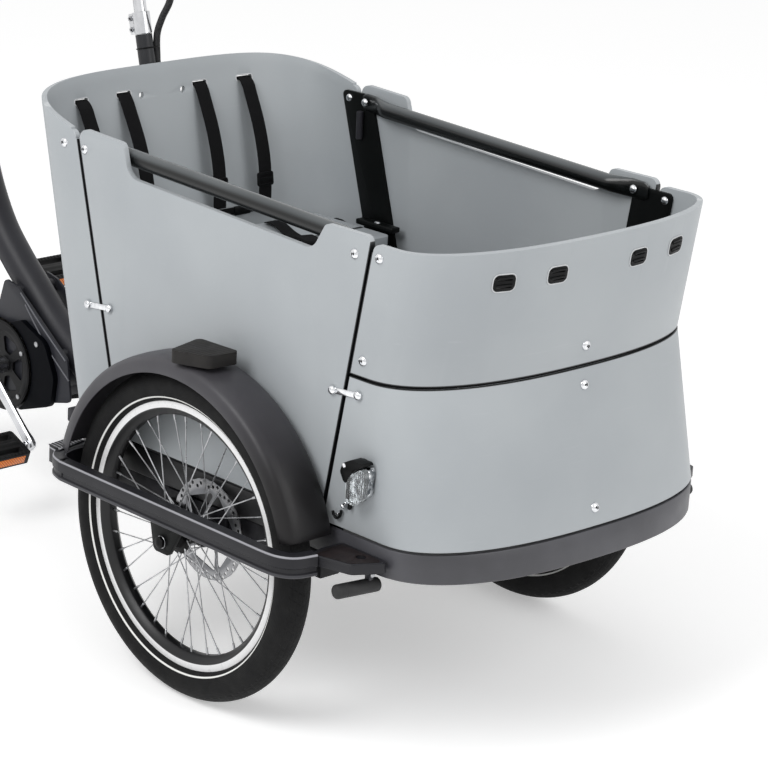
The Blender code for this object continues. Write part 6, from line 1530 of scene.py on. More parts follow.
for side, label in SIDES:
    points = [(GUARD_X + inward, y, 0.31175) for inward, y in ((-0.047, -0.296), (-0.017, -0.289),
        (-0.0035, -0.272), (0.0, -0.245), (0.0, -0.19), (0.0, 0.0), (0.0, 0.205), (-0.0012, 0.23),
        (-0.0068, 0.249), (-0.0172, 0.262), (-0.031, 0.269), (-0.05, GUARD_REAR), (-0.08, GUARD_REAR),
        (wall + 0.0065 - GUARD_X, GUARD_REAR))]
    meshes = [swept(smooth(points, 6), section, upright=True)]
    line = rounded([(wall + 0.0735, -0.29, 0.006), (wall + 0.0555, -0.359, 0.012),
        (wall + 0.008, -0.385, 0.008), (wall + 0.0025, -0.37, 0.008), (wall + 0.0025, -0.283, 0.006),
        (wall + 0.04, -0.2815, 0.006)], 6)
    meshes.append(plate([line, ring(0.008, 24, wall + 0.022, -0.343)], 0.3095, 0.3243, "Z", 0.004, 4))
    lip = [Vector((x, y, 0.3228)) for x, y in line[:21]]
    middle = Vector((wall + 0.035, -0.325, 0.3228))
    meshes.append(tube([p.lerp(middle, 0.07) for p in lip], 0.0024, 12))
    step = rounded([(wall + 0.036, GUARD_REAR + 0.005, 0.003), (wall + 0.1015, GUARD_REAR - 0.011, 0.003),
        (wall + 0.0965, GUARD_REAR + 0.022, 0.006), (wall + 0.0335, GUARD_REAR + 0.036, 0.006)], 6)
    meshes += [plate([step], 0.303, 0.33, "Z", 0.0022, 3), block((wall + 0.006, -0.3545, 0.2805),
        (wall + 0.014, -0.344, 0.3115), 0.001)]
    dress("guard_bar_" + label, placed(meshes, mirror(side)), guard_paint,
        replaces=["wheel_guard_" + label])
    ears = rounded([(-0.055, 0.308, 0.004), (0.032, 0.308, 0.004), (0.018, 0.242, 0.01),
        (-0.018, 0.242, 0.01)], 6)
    ear = plate([ears, ring(0.0063, 32, 0.0, FRONT_RADIUS)], GUARD_X - 0.0155, GUARD_X - 0.0095, ease=0.001)
    dress("guard_ear_" + label, [moved(ear, mirror(side))], black_coat)
    inner_line = [tuple(Vector(p).lerp(Vector((wall + 0.033, -0.325)), 0.16)) for p in line]
    dress("bracket_top_" + label, [moved(plate([inner_line, ring(0.008, 24, wall + 0.022, -0.343)], 0.323,
        0.3247, "Z", 0.0006), mirror(side))], bracket_paint)
    outer, inner = Vector((wall + 0.0687, -0.34, 0.2805)), Vector((wall - 0.007, -0.352, 0.2805))
    along = (inner - outer).normalized()
    across = along.orthogonal().normalized()
    rise = along.cross(across)
    rows = []
    span = (inner - outer).length
    for s, r in ((0, 0.006), (0.0008, 0.0088), (0.0026, 0.0104), (0.005, 0.0109), (0.016, 0.0109),
            (0.0165, 0.0105), (0.0175, 0.0105), (0.018, 0.0109), (span - 0.005, 0.0109),
            (span - 0.0026, 0.0104), (span - 0.0008, 0.0088), (span, 0.006)):
        rows.append([outer + along * s + across * a + rise * b for a, b in ring(r, 32)])
    dress("peg_rubber_" + label, [moved(solid(rows), mirror(side))], rubber_paint)
    spot = Vector((side * (wall + 0.01), -0.353, 0.299))
    dress("peg_bolt_" + label, [turned([(0, 0.0042), (0.004, 0.0042), (0.0046, 0.0036), (0.0046, 0.0),
        (0, 0.0)], 6, frame_from(spot, (0, -1, 0), (1, 0, 0)))], steel_paint)
    middle = sum((Vector(p) for p in step), Vector((0, 0))) / len(step)
    inset = [Vector(p).lerp(middle, 0.09) for p in step]
    meshes = [plate([inset], 0.3295, 0.331, "Z", 0.0005)]
    ribs = []
    ahead = Vector((-0.0025, 0.032)).normalized()
    for k in range(9):
        spot = Vector((wall + 0.043 + 0.0068 * k, GUARD_REAR + 0.0155 - 0.0009 * k, 0.3309))
        turn = Matrix.Rotation(atan2(-ahead.x, ahead.y), 4, "Z")
        rib = block((-0.0016, -0.0125, 0.0), (0.0016, 0.0125, 0.0011), 0.0005)
        ribs.append(moved(rib, Matrix.Translation(spot) @ turn))
    dress("step_tread_" + label, placed(meshes, mirror(side)), tread_highlight_paint)
    dress("tread_ribs_" + label, placed(ribs, mirror(side)), rubber_paint)


# Front fenders: broad anthracite arches with rolled edges, and a black rubber step pad
# with a ribbed top on each.
fender_paint = Paint("fender_plastic", (66, 65, 69), 0.4, shine=0.3)
clouds = fender_paint.here.noise(6.0, 4.0)
y, z = fender_paint.here.split()[1:]
shade = (1.0 - z.ramp(0.4, 0.53)) * (1.0 - y.ramp(AXLE_Y - 0.17, AXLE_Y - 0.05))
tone = clouds.ramp(0.3, 0.7).tones((60, 59, 63), (72, 71, 75))
fender_paint.vary("Base Color", shade.blend(tone, srgb(16, 14, 16)))
fender_paint.rough(0.32, 0.18, 35.0, 3.0)
fender_paint.grain(1000.0, 1.0, 0.00012)
pad_paint = Paint("step_rubber", (30, 28, 27), 0.6, shine=0.3)
y, z = pad_paint.here.split()[1:]
ribs = (y * 900.0).sine().ramp(-0.3, 0.3) * z.ramp(0.5635, 0.5645)
pad_paint.vary("Base Color", pad_paint.here.noise(25.0, 4.0).ramp(0.3, 0.7).tones((24, 22, 22),
    (36, 34, 32)))
pad_paint.rough(0.5, 0.25, 60.0, 3.0)
pad_paint.relief(ribs, 0.0006)


def arch(section, wall, centre, start, end, steps):
    """A curved strip of side and radius points, turned part of the way about an axis along X."""
    shape = [Vector(p) for p in section]
    inner = []
    for i, p in enumerate(shape):
        ahead = (shape[min(i + 1, len(shape) - 1)] - shape[max(i - 1, 0)]).normalized()
        inner.append(p + Vector((ahead.y, -ahead.x)) * wall)
    loop = shape + inner[::-1]
    rows = []
    for k in range(steps + 1):
        a = start + (end - start) * k / steps
        rows.append([(centre[0] + s, centre[1] + r * cos(a), centre[2] + r * sin(a)) for s, r in loop])
    return eased(solid(rows), wall * 0.3, 2, 50.0)


r = FRONT_RADIUS + 0.0246 + 0.00125
half = [(-0.0452, r - 0.027), (-0.0444, r - 0.019), (-0.0424, r - 0.0105), (-0.039, r - 0.0058),
    (-0.034, r - 0.003), (-0.02, r - 0.0008)]
section = half + [(0.0, r)] + [(-s, h) for s, h in half[::-1]]
for side, label in SIDES:
    centre = (side * TRACK / 2, 0.0, FRONT_RADIUS)
    dress("fender_arch_" + label, [arch(section, 0.0025, centre, radians(15.7), pi - radians(15.7), 72)],
        fender_paint, replaces=["fender_front_" + label])
    x = TRACK / 2
    line = rounded([(x + 0.055, -0.005, 0.008), (x - 0.021, 0.016, 0.008), (x - 0.026, -0.071, 0.008),
        (x + 0.028, -0.067, 0.012)], 6)
    dress("step_pad_block_" + label, [moved(plate([line], FRONT_RADIUS * 2 + 0.0262,
        FRONT_RADIUS * 2 + 0.046, "Z", 0.0022, 3), mirror(side))], pad_paint,
        replaces=["step_pad_" + label])


# Headlamps: a black hood and back over a bright faceted reflector under a clear lens, held
# by a chrome screw, with a small black cable hook below.
lens_paint = (Paint("lamp_lens", (240, 244, 246), 0.05, Transmission_Weight=0.92, IOR=1.42)
    .rough(0.02, 0.06, 120.0, 2.0))
y = lens_paint.here.split()[1]
lens_paint.relief((y * 1500.0).sine() * 0.5, 0.0003)
reflector = Paint("lamp_reflector", (236, 238, 240), 0.12, 1.0)
facets = reflector.here.noise(95.0, 2.0)
reflector.vary("Base Color", facets.ramp(0.36, 0.62).tones((120, 124, 128), (252, 252, 253)))
reflector.rough(0.1, 0.14, 150.0, 2.0)
reflector.relief(facets, 0.004)
for side, label in SIDES:
    place = wall_frame(side)
    back_line = rounded([(-0.315, 0.4, 0.004), (-0.306, 0.4, 0.004), (-0.3025, 0.429, 0.004),
        (-0.2945, 0.441, 0.006), (-0.3, 0.456, 0.008), (-0.315, 0.462, 0.006), (-0.336, 0.462, 0.006),
        (-0.318, 0.446, 0.006)], 6)
    hood = rounded([(-0.3105, 0.4345, 0.004), (-0.3068, 0.426, 0.003), (-0.3012, 0.429, 0.004),
        (-0.2938, 0.4415, 0.005), (-0.2985, 0.455, 0.007), (-0.314, 0.4636, 0.008), (-0.34, 0.4636, 0.004),
        (-0.34, 0.46, 0.003), (-0.319, 0.448, 0.01)], 6)
    meshes = [plate([back_line], 0.0004, 0.006, ease=0.0015, segments=3),
        plate([hood], 0.005, 0.0252, ease=0.005, segments=5), plate([rounded(
        [(-0.3105, 0.401, 0.003), (-0.305, 0.401, 0.003), (-0.301, 0.43, 0.003), (-0.307, 0.433, 0.003)],
        4)], 0.005, 0.018, ease=0.002, segments=3), bar((0.0045, -0.2965, 0.38), (0.0045, -0.299, 0.405),
        0.0034, 20)]
    hook = [(0.004 + 0.0006 * k, y, z) for k, (y, z) in enumerate([(-0.2798, 0.3731), (-0.2786, 0.366),
        (-0.2755, 0.361), (-0.2716, 0.3598), (-0.2676, 0.3625), (-0.265, 0.369)])]
    meshes.append(tube(smooth(hook, 4), 0.0022, 10))
    dress("lamp_hood_" + label, placed(meshes, place), insert_paint, replaces=["headlamp_" + label])
    bowl = rounded([(-0.3425, 0.452, 0.008), (-0.34, 0.413, 0.012), (-0.3225, 0.3985, 0.01),
        (-0.3095, 0.401, 0.005), (-0.306, 0.43, 0.008), (-0.318, 0.445, 0.01), (-0.335, 0.456, 0.008)], 6)
    dress("lamp_reflector_" + label, [moved(plate([bowl], 0.0012, 0.015, ease=0.003, segments=3), place)],
        reflector)
    glass = rounded([(-0.3442, 0.454, 0.008), (-0.3415, 0.4115, 0.014), (-0.322, 0.3962, 0.01),
        (-0.3085, 0.399, 0.006), (-0.306, 0.429, 0.008), (-0.318, 0.444, 0.008), (-0.335, 0.4545, 0.008)],
        6)
    dress("lamp_lens_" + label, [moved(plate([glass], 0.0155, 0.0245, ease=0.0045, segments=4), place)],
        lens_paint)
    screw = [bar((0.0045, -0.29, 0.3885), (0.0045, -0.284, 0.381), 0.0028, 20),
        bar((0.0045, -0.2852, 0.3826), (0.0045, -0.2828, 0.3796), 0.0042, 20),
        lathe([(0, 0.0082), (0.0016, 0.008), (0.0022, 0.007), (0.0022, 0.004), (0, 0.004)],
        (0, -0.274, 0.3668), 20), lathe([(0, 0.0262), (0.003, 0.026), (0.0036, 0.0252), (0.0036, 0.024),
        (0, 0.024)], (0, -0.301, 0.452), 20)]
    dress("lamp_screws_" + label, placed(screw, place), chrome)


# Steering column: a satin black tube from the yoke up through the box's rear, with a
# collar at its foot.
foot = HEAD_HIGH + 0.0089
top = 0.903 / cos(HEAD_LEAN)
column = [(0.0116, top), (0.0138, top), (0.0143, top - 0.0005), (0.0143, foot + 0.0075),
    (0.016, foot + 0.006), (0.029, foot + 0.0042), (0.03, foot + 0.0032), (0.03, foot + 0.0008),
    (0.0292, foot), (0.0116, foot)]
column_paint = powder_coat("column_coat", (38, 39, 42), 0.34, 0.3)
dress("column_shaft", [turned(column, 48, STEER)], column_paint, replaces=["column_tube"])
dress("column_weld", [moved(weld((0, 0, foot + 0.0066), (0, 0, 1), 0.015, 0.0018), STEER)], black_coat)


# Handlebar stem: a bright quill in a two-bolt sleeve, with a neck and a split barrel that
# clamps the bar.
low, sleeve, sleeve_top, top = [z / cos(HEAD_LEAN) for z in (0.82, 0.9035, 0.94, 1.05)]
quill = spool(0, 0.011, top, low, 0.0008)
collar = spool(0.0108, 0.015, sleeve_top, sleeve, 0.0008)
meshes = [turned(quill, 48, STEER), turned(collar, 48, STEER)]
middle = (sleeve + sleeve_top) / 2
for side in (-1, 1):
    meshes.append(moved(block((0.0008, 0.0125, sleeve + 0.001), (0.0075, 0.0262, sleeve_top - 0.001), 0.002,
        segments=3), STEER @ mirror(side)))
y, z = 0.6, 1.075
meshes += [bar((0, column_y(1.035), 1.035), (0, y, z - 0.006), 0.011, 32),
    carved(lathe(spool(0, 0.019, -0.026, 0.026, 0.001), (0, y, z), 48),
    [bar((-0.05, y, z), (0.05, y, z), 0.0113, 40), block((-0.05, y - 0.03, z - 0.0008),
    (0.05, y - 0.005, z + 0.0008), 0.0002)])]
dress("stem_quill", meshes, polished, replaces=["handlebar_stem"])
meshes = []
for up in (-0.0095, 0.0095):
    head = lathe([(0, -0.0076), (0.0018, -0.0076), (0.0018, -0.0098), (0.004, -0.011), (0.0044, -0.0104),
        (0.0044, -0.0074), (0, -0.0074)], (0, 0.0196, middle + up), 24)
    meshes.append(moved(head, STEER))
for x in (-0.017, 0.017):
    for up in (-0.0125, 0.0125):
        head = lathe([(0, 0.0205), (0.0034, 0.0205), (0.004, 0.0199), (0.004, 0.015), (0, 0.015)],
            (0, 0, 0), 20, Matrix.Identity(4))
        meshes.append(moved(head, frame_from((x, y, z + up), (0, -1, 0), (1, 0, 0))))
dress("stem_bolts", meshes, steel_paint)
meshes = [moved(lathe([(0, -0.0101), (0.0017, -0.0101), (0.0017, -0.0112), (0, -0.0112)],
    (0, 0.0196, middle + up), 6), STEER) for up in (-0.0095, 0.0095)]
dress("stem_bolt_sockets", meshes, socket_paint)


# Handlebar: a black swept bar with a clamped bracket for each brake lever.
bend, end = Vector((0.262, 0.66, 1.128)), Vector((0.335, 0.86, 1.112))
bar_along = (end - bend).normalized()
bar_out = bar_along.cross(Vector((0, 0, 1))).normalized()
bar_length = (end - bend).length
BAR_FRAME = Matrix.Translation(bend) @ Matrix((bar_along, bar_out, bar_along.cross(bar_out))).transposed(
    ).to_4x4()
half = smooth([(0.05, y, z), (0.11, y + 0.002, z + 0.016), (0.19, y + 0.016, z + 0.045), bend,
    bend + bar_along * bar_length * 0.12], 8) + [end - bar_along * 0.003]
path = [Vector((-p[0], p[1], p[2])) for p in reversed(half)] + half
dress("handlebar_tube", [tube(path, 0.011, 32)], black_coat, replaces=["handlebar"])
PIVOT, OUT = 0.026, 0.03
bracket_meshes = []
for side in (-1, 1):
    place = mirror(side) @ BAR_FRAME
    clamp = spool(0.0109, 0.0155, PIVOT + 0.008, PIVOT - 0.008, 0.0007)
    bracket_meshes.append(moved(lathe(clamp, (0, 0, 0), 40), place))
    for low in (-0.009, 0.006):
        bracket_meshes.append(moved(block((PIVOT - 0.007, 0.0125, low),
            (PIVOT + 0.007, OUT + 0.007, low + 0.003), 0.001), place))
    bracket_meshes += [moved(bar((PIVOT, OUT, -0.009), (PIVOT, OUT, 0.009), 0.003, 20), place),
        moved(bar((PIVOT - 0.006, 0.018, 0), (PIVOT - 0.02, 0.02, 0), 0.0034, 20), place)]
dress("lever_brackets", bracket_meshes, black_coat)


# Grips: ribbed black rubber sleeves with a flanged inner end and a domed outer end.
grip_paint = (Paint("grip_rubber", (34, 34, 35), 0.72)
    .speckle((42, 42, 43), (26, 26, 27), 40.0).rough(0.62, 0.24, 80.0, 3.0).grain(600.0, 2.0, 0.0002))
start = bar_length - 0.128
for side, label in SIDES:
    line = [(0.0114, start), (0.0146, start), (0.0155, start + 0.001), (0.0155, start + 0.005),
        (0.0146, start + 0.006)]
    for k in range(26):
        s = start + 0.0085 + 0.0042 * k
        line += [(0.0143, s), (0.0151, s + 0.001), (0.0151, s + 0.0028), (0.0143, s + 0.0036)]
    line += [(0.015, bar_length - 0.007), (0.0155, bar_length - 0.005), (0.0152, bar_length - 0.0015),
        (0.014, bar_length), (0.0114, bar_length)]
    dress("grip_sleeve_" + label, [moved(lathe(line, (0, 0, 0), 48), mirror(side) @ BAR_FRAME)], grip_paint,
        replaces=["grip_" + label])
    dress("bar_plug_" + label, [moved(lathe([(0, bar_length - 0.0004), (0.009, bar_length - 0.0008),
        (0.0109, bar_length - 0.0025), (0.0109, bar_length - 0.0045), (0, bar_length - 0.0045)], (0, 0, 0),
        32), mirror(side) @ BAR_FRAME)], insert_paint)


# Brake levers: black alloy blades that hook forward at their tips, on pivot bosses.
lever_paint = powder_coat("lever_coat", (38, 38, 39), 0.34)
for side, label in SIDES:
    boss = lathe(spool(0.0033, 0.0075, 0.0055, -0.0055, 0.0007), (PIVOT, OUT, 0), 32, Matrix.Identity(4))
    points = smooth([(PIVOT + 0.005, OUT + 0.002, 0), (PIVOT + 0.018, 0.048, 0), (PIVOT + 0.055, 0.05, 0),
        (PIVOT + 0.095, 0.048, 0), (PIVOT + 0.101, 0.052, 0)], 8)
    blade = swept(points, [(s * 1.05, u * 0.92) for s, u in ring(0.0042, 24)])
    dress("lever_blade_" + label, placed((boss, blade), mirror(side) @ BAR_FRAME), lever_paint,
        label + "_brake_lever", ["brake_lever_" + label])


# Gear shifter: a ribbed black twist sleeve inboard of the right grip.
low, high = start - 0.0423, start - 0.0003
line = [(0.0114, low), (0.016, low), (0.0172, low + 0.001), (0.0175, low + 0.0025), (0.0175, low + 0.011),
    (0.0165, low + 0.012), (0.0165, high - 0.001), (0.0155, high), (0.0114, high)]
meshes = [moved(lathe(line, (0, 0, 0), 48), mirror(-1) @ BAR_FRAME)]
for k in range(24):
    a = 2 * pi * k / 24
    spot = Vector((0, 0.0163 * cos(a), 0.0163 * sin(a)))
    meshes.append(moved(bar(spot + Vector((low + 0.0135, 0, 0)), spot + Vector((high - 0.002, 0, 0)),
        0.0011, 8), mirror(-1) @ BAR_FRAME))
dress("shift_sleeve", meshes, grip_paint, "shifter", ["gear_shifter"])


# Cable loom: a braided black sleeve that rises beside the column, bends forward above the
# box and runs back to the bar.
braid_paint = Paint("braided_sleeve", (26, 26, 27), 0.7)
x, y, z = braid_paint.here.split()
twill = (z * 1500.0 + x * 1500.0).sine()
cross = (z * 1500.0 - y * 1500.0).sine()
weave = (twill * cross) * 0.5 + 0.5
braid_paint.vary("Base Color", weave.tones((14, 14, 15), (52, 52, 54)))
braid_paint.rough(0.55, 0.3, 200.0, 2.0)
braid_paint.relief(weave, 0.0008)
x = 0.02015
lower = [(x, column_y(z) - 0.002, z) for z in (0.33, 0.45, 0.6, 0.74, 0.858)]
upper = [(x, 0.566, 0.901), (x, 0.554, 0.932), (x, 0.534, 0.966), (0.024, 0.534, 1.005),
    (0.034, 0.558, 1.044), (0.06, 0.5805, 1.062), (0.095, 0.583, 1.07)]
path = [Vector(p) for p in lower] + smooth([lower[-1]] + upper, 10)[1:]
dress("loom_sleeve", [tube(path, 0.006, 20)], braid_paint, replaces=["cable_loom"])
meshes = []
for z in (0.42, 0.6, 0.78, 0.88):
    spot = Vector((0, column_y(z), z))
    along = Vector((0, sin(HEAD_LEAN), cos(HEAD_LEAN)))
    side = Vector((1, 0, 0))
    rise = along.cross(side)
    path = [spot + side * (0.015 * cos(a) + (0.0115 if cos(a) > 0 else 0.0)) + rise * 0.015 * sin(a)
        for a in circle(40)]
    meshes.append(tube(path, 0.0012, 8, loop=True))
dress("loom_ties", meshes, insert_paint)


# Seat post: an anodised black post with turned rings and a two-bolt head for the rails.
post_paint = Paint("anodised_black", (36, 36, 38), 0.3, 0.7)
lines = post_paint.here.stretched(40, 40, 3000).noise(1.0, 2.0)
post_paint.vary("Roughness", 0.24 + 0.16 * lines)
post_paint.speckle((42, 42, 44), (30, 30, 32), 30.0)
post_paint.relief(lines, 0.00003)
meshes = [bar(seat_point(0.645), seat_point(0.926), 0.0136, 48)]
y = seat_point(0.926).y
meshes += [block((-0.0178, y - 0.02, 0.922), (0.0178, y + 0.02, 0.933), 0.003, segments=3),
    block((-0.0178, y - 0.014, 0.9338), (0.0178, y + 0.014, 0.9447), 0.003, segments=3)]
dress("seat_post_tube", meshes, post_paint, "seat", ["seat_post"])
meshes = [bar((0, y + d, 0.9195), (0, y + d, 0.94), 0.0026, 20) for d in (-0.0165, 0.0165)]
meshes += [bar((0, y + d, 0.9175), (0, y + d, 0.9215), 0.0045, 6) for d in (-0.0165, 0.0165)]
dress("seat_head_bolts", meshes, steel_paint, "seat")


# Saddle shell: a moulded black base with ribs, on two steel rails that run under it.
shell_paint = (Paint("shell_plastic", (34, 34, 35), 0.5)
    .speckle((40, 40, 41), (28, 28, 29), 25.0).rough(0.42, 0.2, 60.0, 3.0).grain(900.0, 1.0, 0.00015))
NOSE, BACK, BASE = 1.02, 1.29, 0.945
WIDTHS = ((0.0, 0.13), (0.03, 0.18), (0.2, 0.22), (0.38, 0.31), (0.58, 0.6), (0.76, 0.9), (0.89, 1.0),
    (0.97, 0.86), (1.0, 0.62))


def saddle_half(inset, steps):
    """Half widths of the saddle from its nose to its back, along a smooth line."""
    line = smooth([(0.1 * w - inset, NOSE + inset + (BACK - NOSE - 2 * inset) * t, 0) for t, w in WIDTHS],
        steps)
    return [(p.x, p.y) for p in line]


half = saddle_half(0.004, 6)
outline = half + [(-x, y) for x, y in reversed(half)]
meshes = [plate([outline], BASE, BASE + 0.006, "Z", 0.0018, 3)]
for x in (-0.022, 0.0, 0.022):
    meshes.append(block((x - 0.0012, 1.15, BASE - 0.004), (x + 0.0012, 1.262, BASE + 0.001), 0.0006))
dress("saddle_base", meshes, shell_paint, "seat", ["saddle_shell"])
y = seat_point(0.926).y
meshes = []
for side in (-1, 1):
    rail = smooth([(side * 0.012, y - 0.085, BASE + 0.002), (side * 0.02, y - 0.055, BASE - 0.01),
        (side * 0.0216, y, BASE - 0.01), (side * 0.024, y + 0.045, BASE - 0.01),
        (side * 0.03, y + 0.085, BASE + 0.002)], 10)
    meshes.append(tube(rail, 0.0033, 20))
dress("saddle_rails", meshes, spoke_paint, "seat")


# Saddle cushion: padding under a grained black cover, blown up by a short cloth
# simulation, with a stitched seam round its edge.
cover = Paint("saddle_cover", (36, 36, 37), 0.55, Sheen_Weight=0.15)
pores = cover.here.node("TexVoronoi", {"Vector": cover.here, "Scale": 900.0})
cover.vary("Base Color", cover.here.noise(12.0, 5.0).ramp(0.3, 0.7).tones((28, 28, 29), (46, 46, 47)))
cover.rough(0.45, 0.22, 40.0, 4.0)
cover.relief(pores + cover.here.noise(60.0, 3.0) * 0.3, 0.0005)
base = BASE + 0.0064
rows = []
half = saddle_half(0.0015, 5)
for x, y in half:
    t = (y - NOSE) / (BACK - NOSE)
    high = (1.002 - base) * (0.7 + 0.24 * t)
    round_off = min(1.0, sin(pi * min(1.0, 0.13 + 3.2 * min(t, 1 - t)) / 2))
    high *= 0.45 + 0.55 * round_off
    shape = [(0.62, 0.0), (0.88, 0.02), (0.985, 0.16), (0.99, 0.34), (0.95, 0.56), (0.86, 0.76), (0.7, 0.9),
        (0.46, 0.98), (0.2, 1.0)]
    line = [(x * w, y, base + high * h) for w, h in shape]
    rows.append(line + [(-u, v, w) for u, v, w in reversed(line)])
cushion = solid(rows)


def swollen(mesh, cell, pressure, reach):
    """Blows a closed form up like a padded cover; no point moves further than its reach."""
    obj = shown("swollen", mesh)
    mod = obj.modifiers.new("Remesh", "REMESH")
    mod.mode = "VOXEL"
    mod.voxel_size = cell
    bpy.context.view_layer.update()
    start = evaluated(obj)
    blown = shown("blown", start.copy())
    cloth = blown.modifiers.new("Cloth", "CLOTH").settings
    cloth.use_pressure = True
    cloth.uniform_pressure_force = pressure
    cloth.effector_weights.gravity = 0.0
    scene = bpy.context.scene
    for step in range(1, 21):
        scene.frame_set(step)
    end = evaluated(blown)
    scene.frame_set(1)
    low = min(v.co.z for v in start.vertices)
    for a, b in zip(start.vertices, end.vertices):
        shift = b.co - a.co
        shift *= min(1.0, reach / max(shift.length, 0.00001))
        shift *= min(1.0, max(0.0, (a.co.z - low) / 0.012))
        a.co += shift
    bpy.data.meshes.remove(end)
    return start


cushion = swollen(cushion, 0.004, 4.0, 0.0035)
soft = bpy.data.objects.new("soft", cushion)
mod = soft.modifiers.new("Subdivision", "SUBSURF")
mod.levels = 1
mod.render_levels = 1
piece = dress("saddle_pad", [baked(soft)], cover, "seat", ["saddle_cushion"], 180.0)
seam = [Vector((x * 1.012 + 0.0002, y, base + 0.0062)) for x, y in half]
seam += [Vector((-p.x, p.y, p.z)) for p in reversed(seam)]
dress("saddle_piping", [tube(seam, 0.0011, 8, loop=True)], cover, "seat")


# Seat clamp lever: a satin aluminium cam lever on the collar's bolt.
x, y = 0.0195, -0.027
hub_line = spool(0.0025, 0.006, 0.0096, 0.0034, 0.0006)
arm = rounded([(x + 0.0035, y + 0.002, 0.0), (x + 0.0065, y + 0.014, 0.005),
    (x + 0.0075, y + 0.062, 0.0024), (x + 0.0125, y + 0.062, 0.0024), (x + 0.0135, y + 0.01, 0.006),
    (x + 0.0045, y - 0.002, 0.0)], 5)
meshes = [moved(lathe(hub_line, (x, y, 0), 40, Matrix.Identity(4)), SEAT_FRAME),
    moved(plate([arm], 0.0039, 0.0091, "Z", 0.0014, 3), SEAT_FRAME)]
dress("clamp_cam_lever", meshes, polished, "seat_lever", ["seat_clamp_lever"])


# Rear fender: a slim satin black guard over the rear wheel.
rear_fender_paint = (Paint("rear_fender_plastic", (34, 34, 35), 0.34)
    .speckle((40, 40, 41), (29, 29, 30), 8.0).rough(0.28, 0.16, 40.0, 3.0).grain(900.0, 1.0, 0.0001))
r = REAR_RADIUS + 0.018
half = [(-0.033, r - 0.012), (-0.03, r - 0.007), (-0.025, r - 0.0036), (-0.013, r - 0.0009)]
section = half + [(0.0, r)] + [(-s, h) for s, h in half[::-1]]
dress("rear_guard_arch", [arch(section, 0.002, (0, AXLE_BACK, REAR_RADIUS), radians(-12), radians(158),
    96)], rear_fender_paint, "frame", ["rear_fender"])


# Luggage carrier: a welded black rack with a deck, battery rails and a leg on each side.
DECK, HALF, FRONT, REAR = 0.77, 0.06, 1.11, 1.56
deck = [Vector((x, y, DECK)) for x, y in oblong(-HALF, FRONT, HALF, REAR, 0.025, 8)]
meshes = [tube(deck, 0.0055, 20, loop=True)]
for share in (0.25, 0.5, 0.75):
    y = FRONT + (REAR - FRONT) * share
    meshes.append(bar((-HALF, y, DECK), (HALF, y, DECK), 0.0042, 20))
low = DECK - 0.0735 - 0.0036
for side in (-1, 1):
    x = side * 0.036
    meshes += [tube(smooth([(x, FRONT, DECK), (x, FRONT + 0.002, low + 0.01), (x, FRONT + 0.012, low),
        (x, 1.3, low), (x, REAR - 0.035, low), (x, REAR - 0.023, low + 0.008), (x, REAR, DECK)], 6), 0.0038,
        20), bar((side * 0.0778, 1.34, 0.372), (side * HALF, 1.335, DECK), 0.004, 20),
        lathe([(0, side * 0.0737), (0.008, side * 0.0737), (0.008, side * 0.079), (0, side * 0.079)],
        (0, 1.34, 0.376), 24)]
meshes.append(bar((0, FRONT, DECK), (0, 1.0985, 0.74), 0.005, 20))
dress("carrier_rack", meshes, black_coat, "frame", ["carrier"])
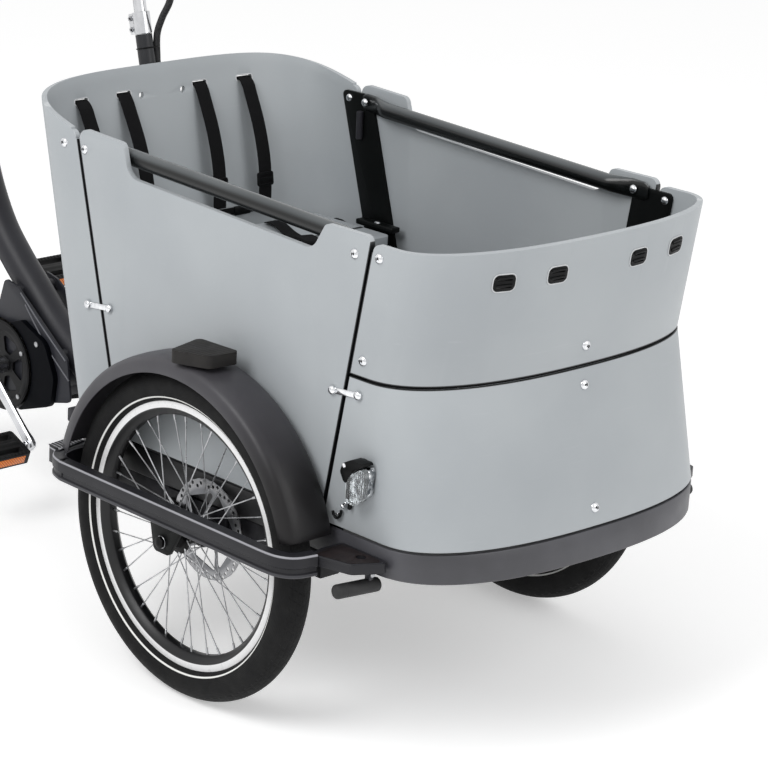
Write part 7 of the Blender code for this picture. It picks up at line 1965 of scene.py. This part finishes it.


# Battery: a black case in two halves with a seam, a lock and a charge
# gauge of small green lamps.
battery_paint = Paint("battery_plastic", (42, 42, 44), 0.45)
z = battery_paint.here.split()[2]
middle = DECK - 0.0415
seam = abs(z - middle).ramp(0.0004, 0.0009)
battery_paint.vary("Base Color", seam.blend(srgb(12, 12, 12), battery_paint.here.noise(10.0, 4.0).ramp(0.3,
    0.7).tones((36, 36, 38), (50, 50, 52))))
battery_paint.rough(0.38, 0.2, 50.0, 3.0)
battery_paint.relief(seam + battery_paint.here.noise(1000.0, 1.0) * 0.15, 0.0006)
low, high = DECK - 0.0735, DECK - 0.0095
meshes = [block((-0.055, FRONT + 0.03, low), (0.055, REAR - 0.06, high), 0.01, segments=5)]
for k in range(4):
    y = FRONT + 0.09 + 0.06 * k
    for side in (-1, 1):
        meshes.append(block((side * 0.0548 - 0.001, y - 0.016, low + 0.016),
            (side * 0.0548 + 0.001, y + 0.016, low + 0.022), 0.0008))
dress("battery_case", meshes, battery_paint, "frame", ["battery"])
meshes = [lathe([(0, 0.0558), (0.006, 0.0558), (0.0068, 0.055), (0.0068, 0.053), (0, 0.053)],
    (0, REAR - 0.085, middle + 0.004), 32)]
dress("battery_lock", placed(meshes, mirror(-1)), chrome, "frame")
gauge = (Paint("charge_lamps", (70, 190, 90), 0.3, Emission_Strength=0.3)
    .speckle((90, 210, 110), (50, 160, 70), 300.0))
gauge.vary("Emission Color", gauge.here.noise(200.0, 1.0).tones((40, 160, 60), (90, 220, 110)))
meshes = [bar((-0.055, FRONT + 0.06 + 0.008 * k, middle + 0.012), (-0.0556, FRONT + 0.06 + 0.008 * k,
    middle + 0.012), 0.0018, 20) for k in range(4)]
dress("battery_gauge", meshes, gauge, "frame")


# Rear light: a red prismatic lens in a black back plate behind the carrier.
red_paint = Paint("red_lens", (190, 22, 24), 0.12, Coat_Weight=0.6, Emission_Strength=0.05)
x, y, z = red_paint.here.split()
prism = (x * 1300).sine() * (z * 1300).sine()
red_paint.vary("Base Color", prism.ramp(-0.6, 0.7).tones((140, 10, 14), (214, 40, 38)))
red_paint.vary("Emission Color", prism.ramp(-0.2, 0.9).tones((90, 0, 0), (255, 60, 50)))
red_paint.rough(0.08, 0.1, 90.0, 2.0)
red_paint.relief(prism, 0.0006)
y = REAR + 0.0058
dress("rear_light_lens", [block((-0.029, y + 0.005, DECK - 0.019), (0.029, y + 0.016, DECK + 0.015), 0.004,
    segments=4)], red_paint, "frame", ["rear_light"])
dress("rear_light_back", [block((-0.03, y + 0.0002, DECK - 0.02), (0.03, y + 0.007, DECK + 0.016), 0.0025,
    segments=3)], insert_paint, "frame")
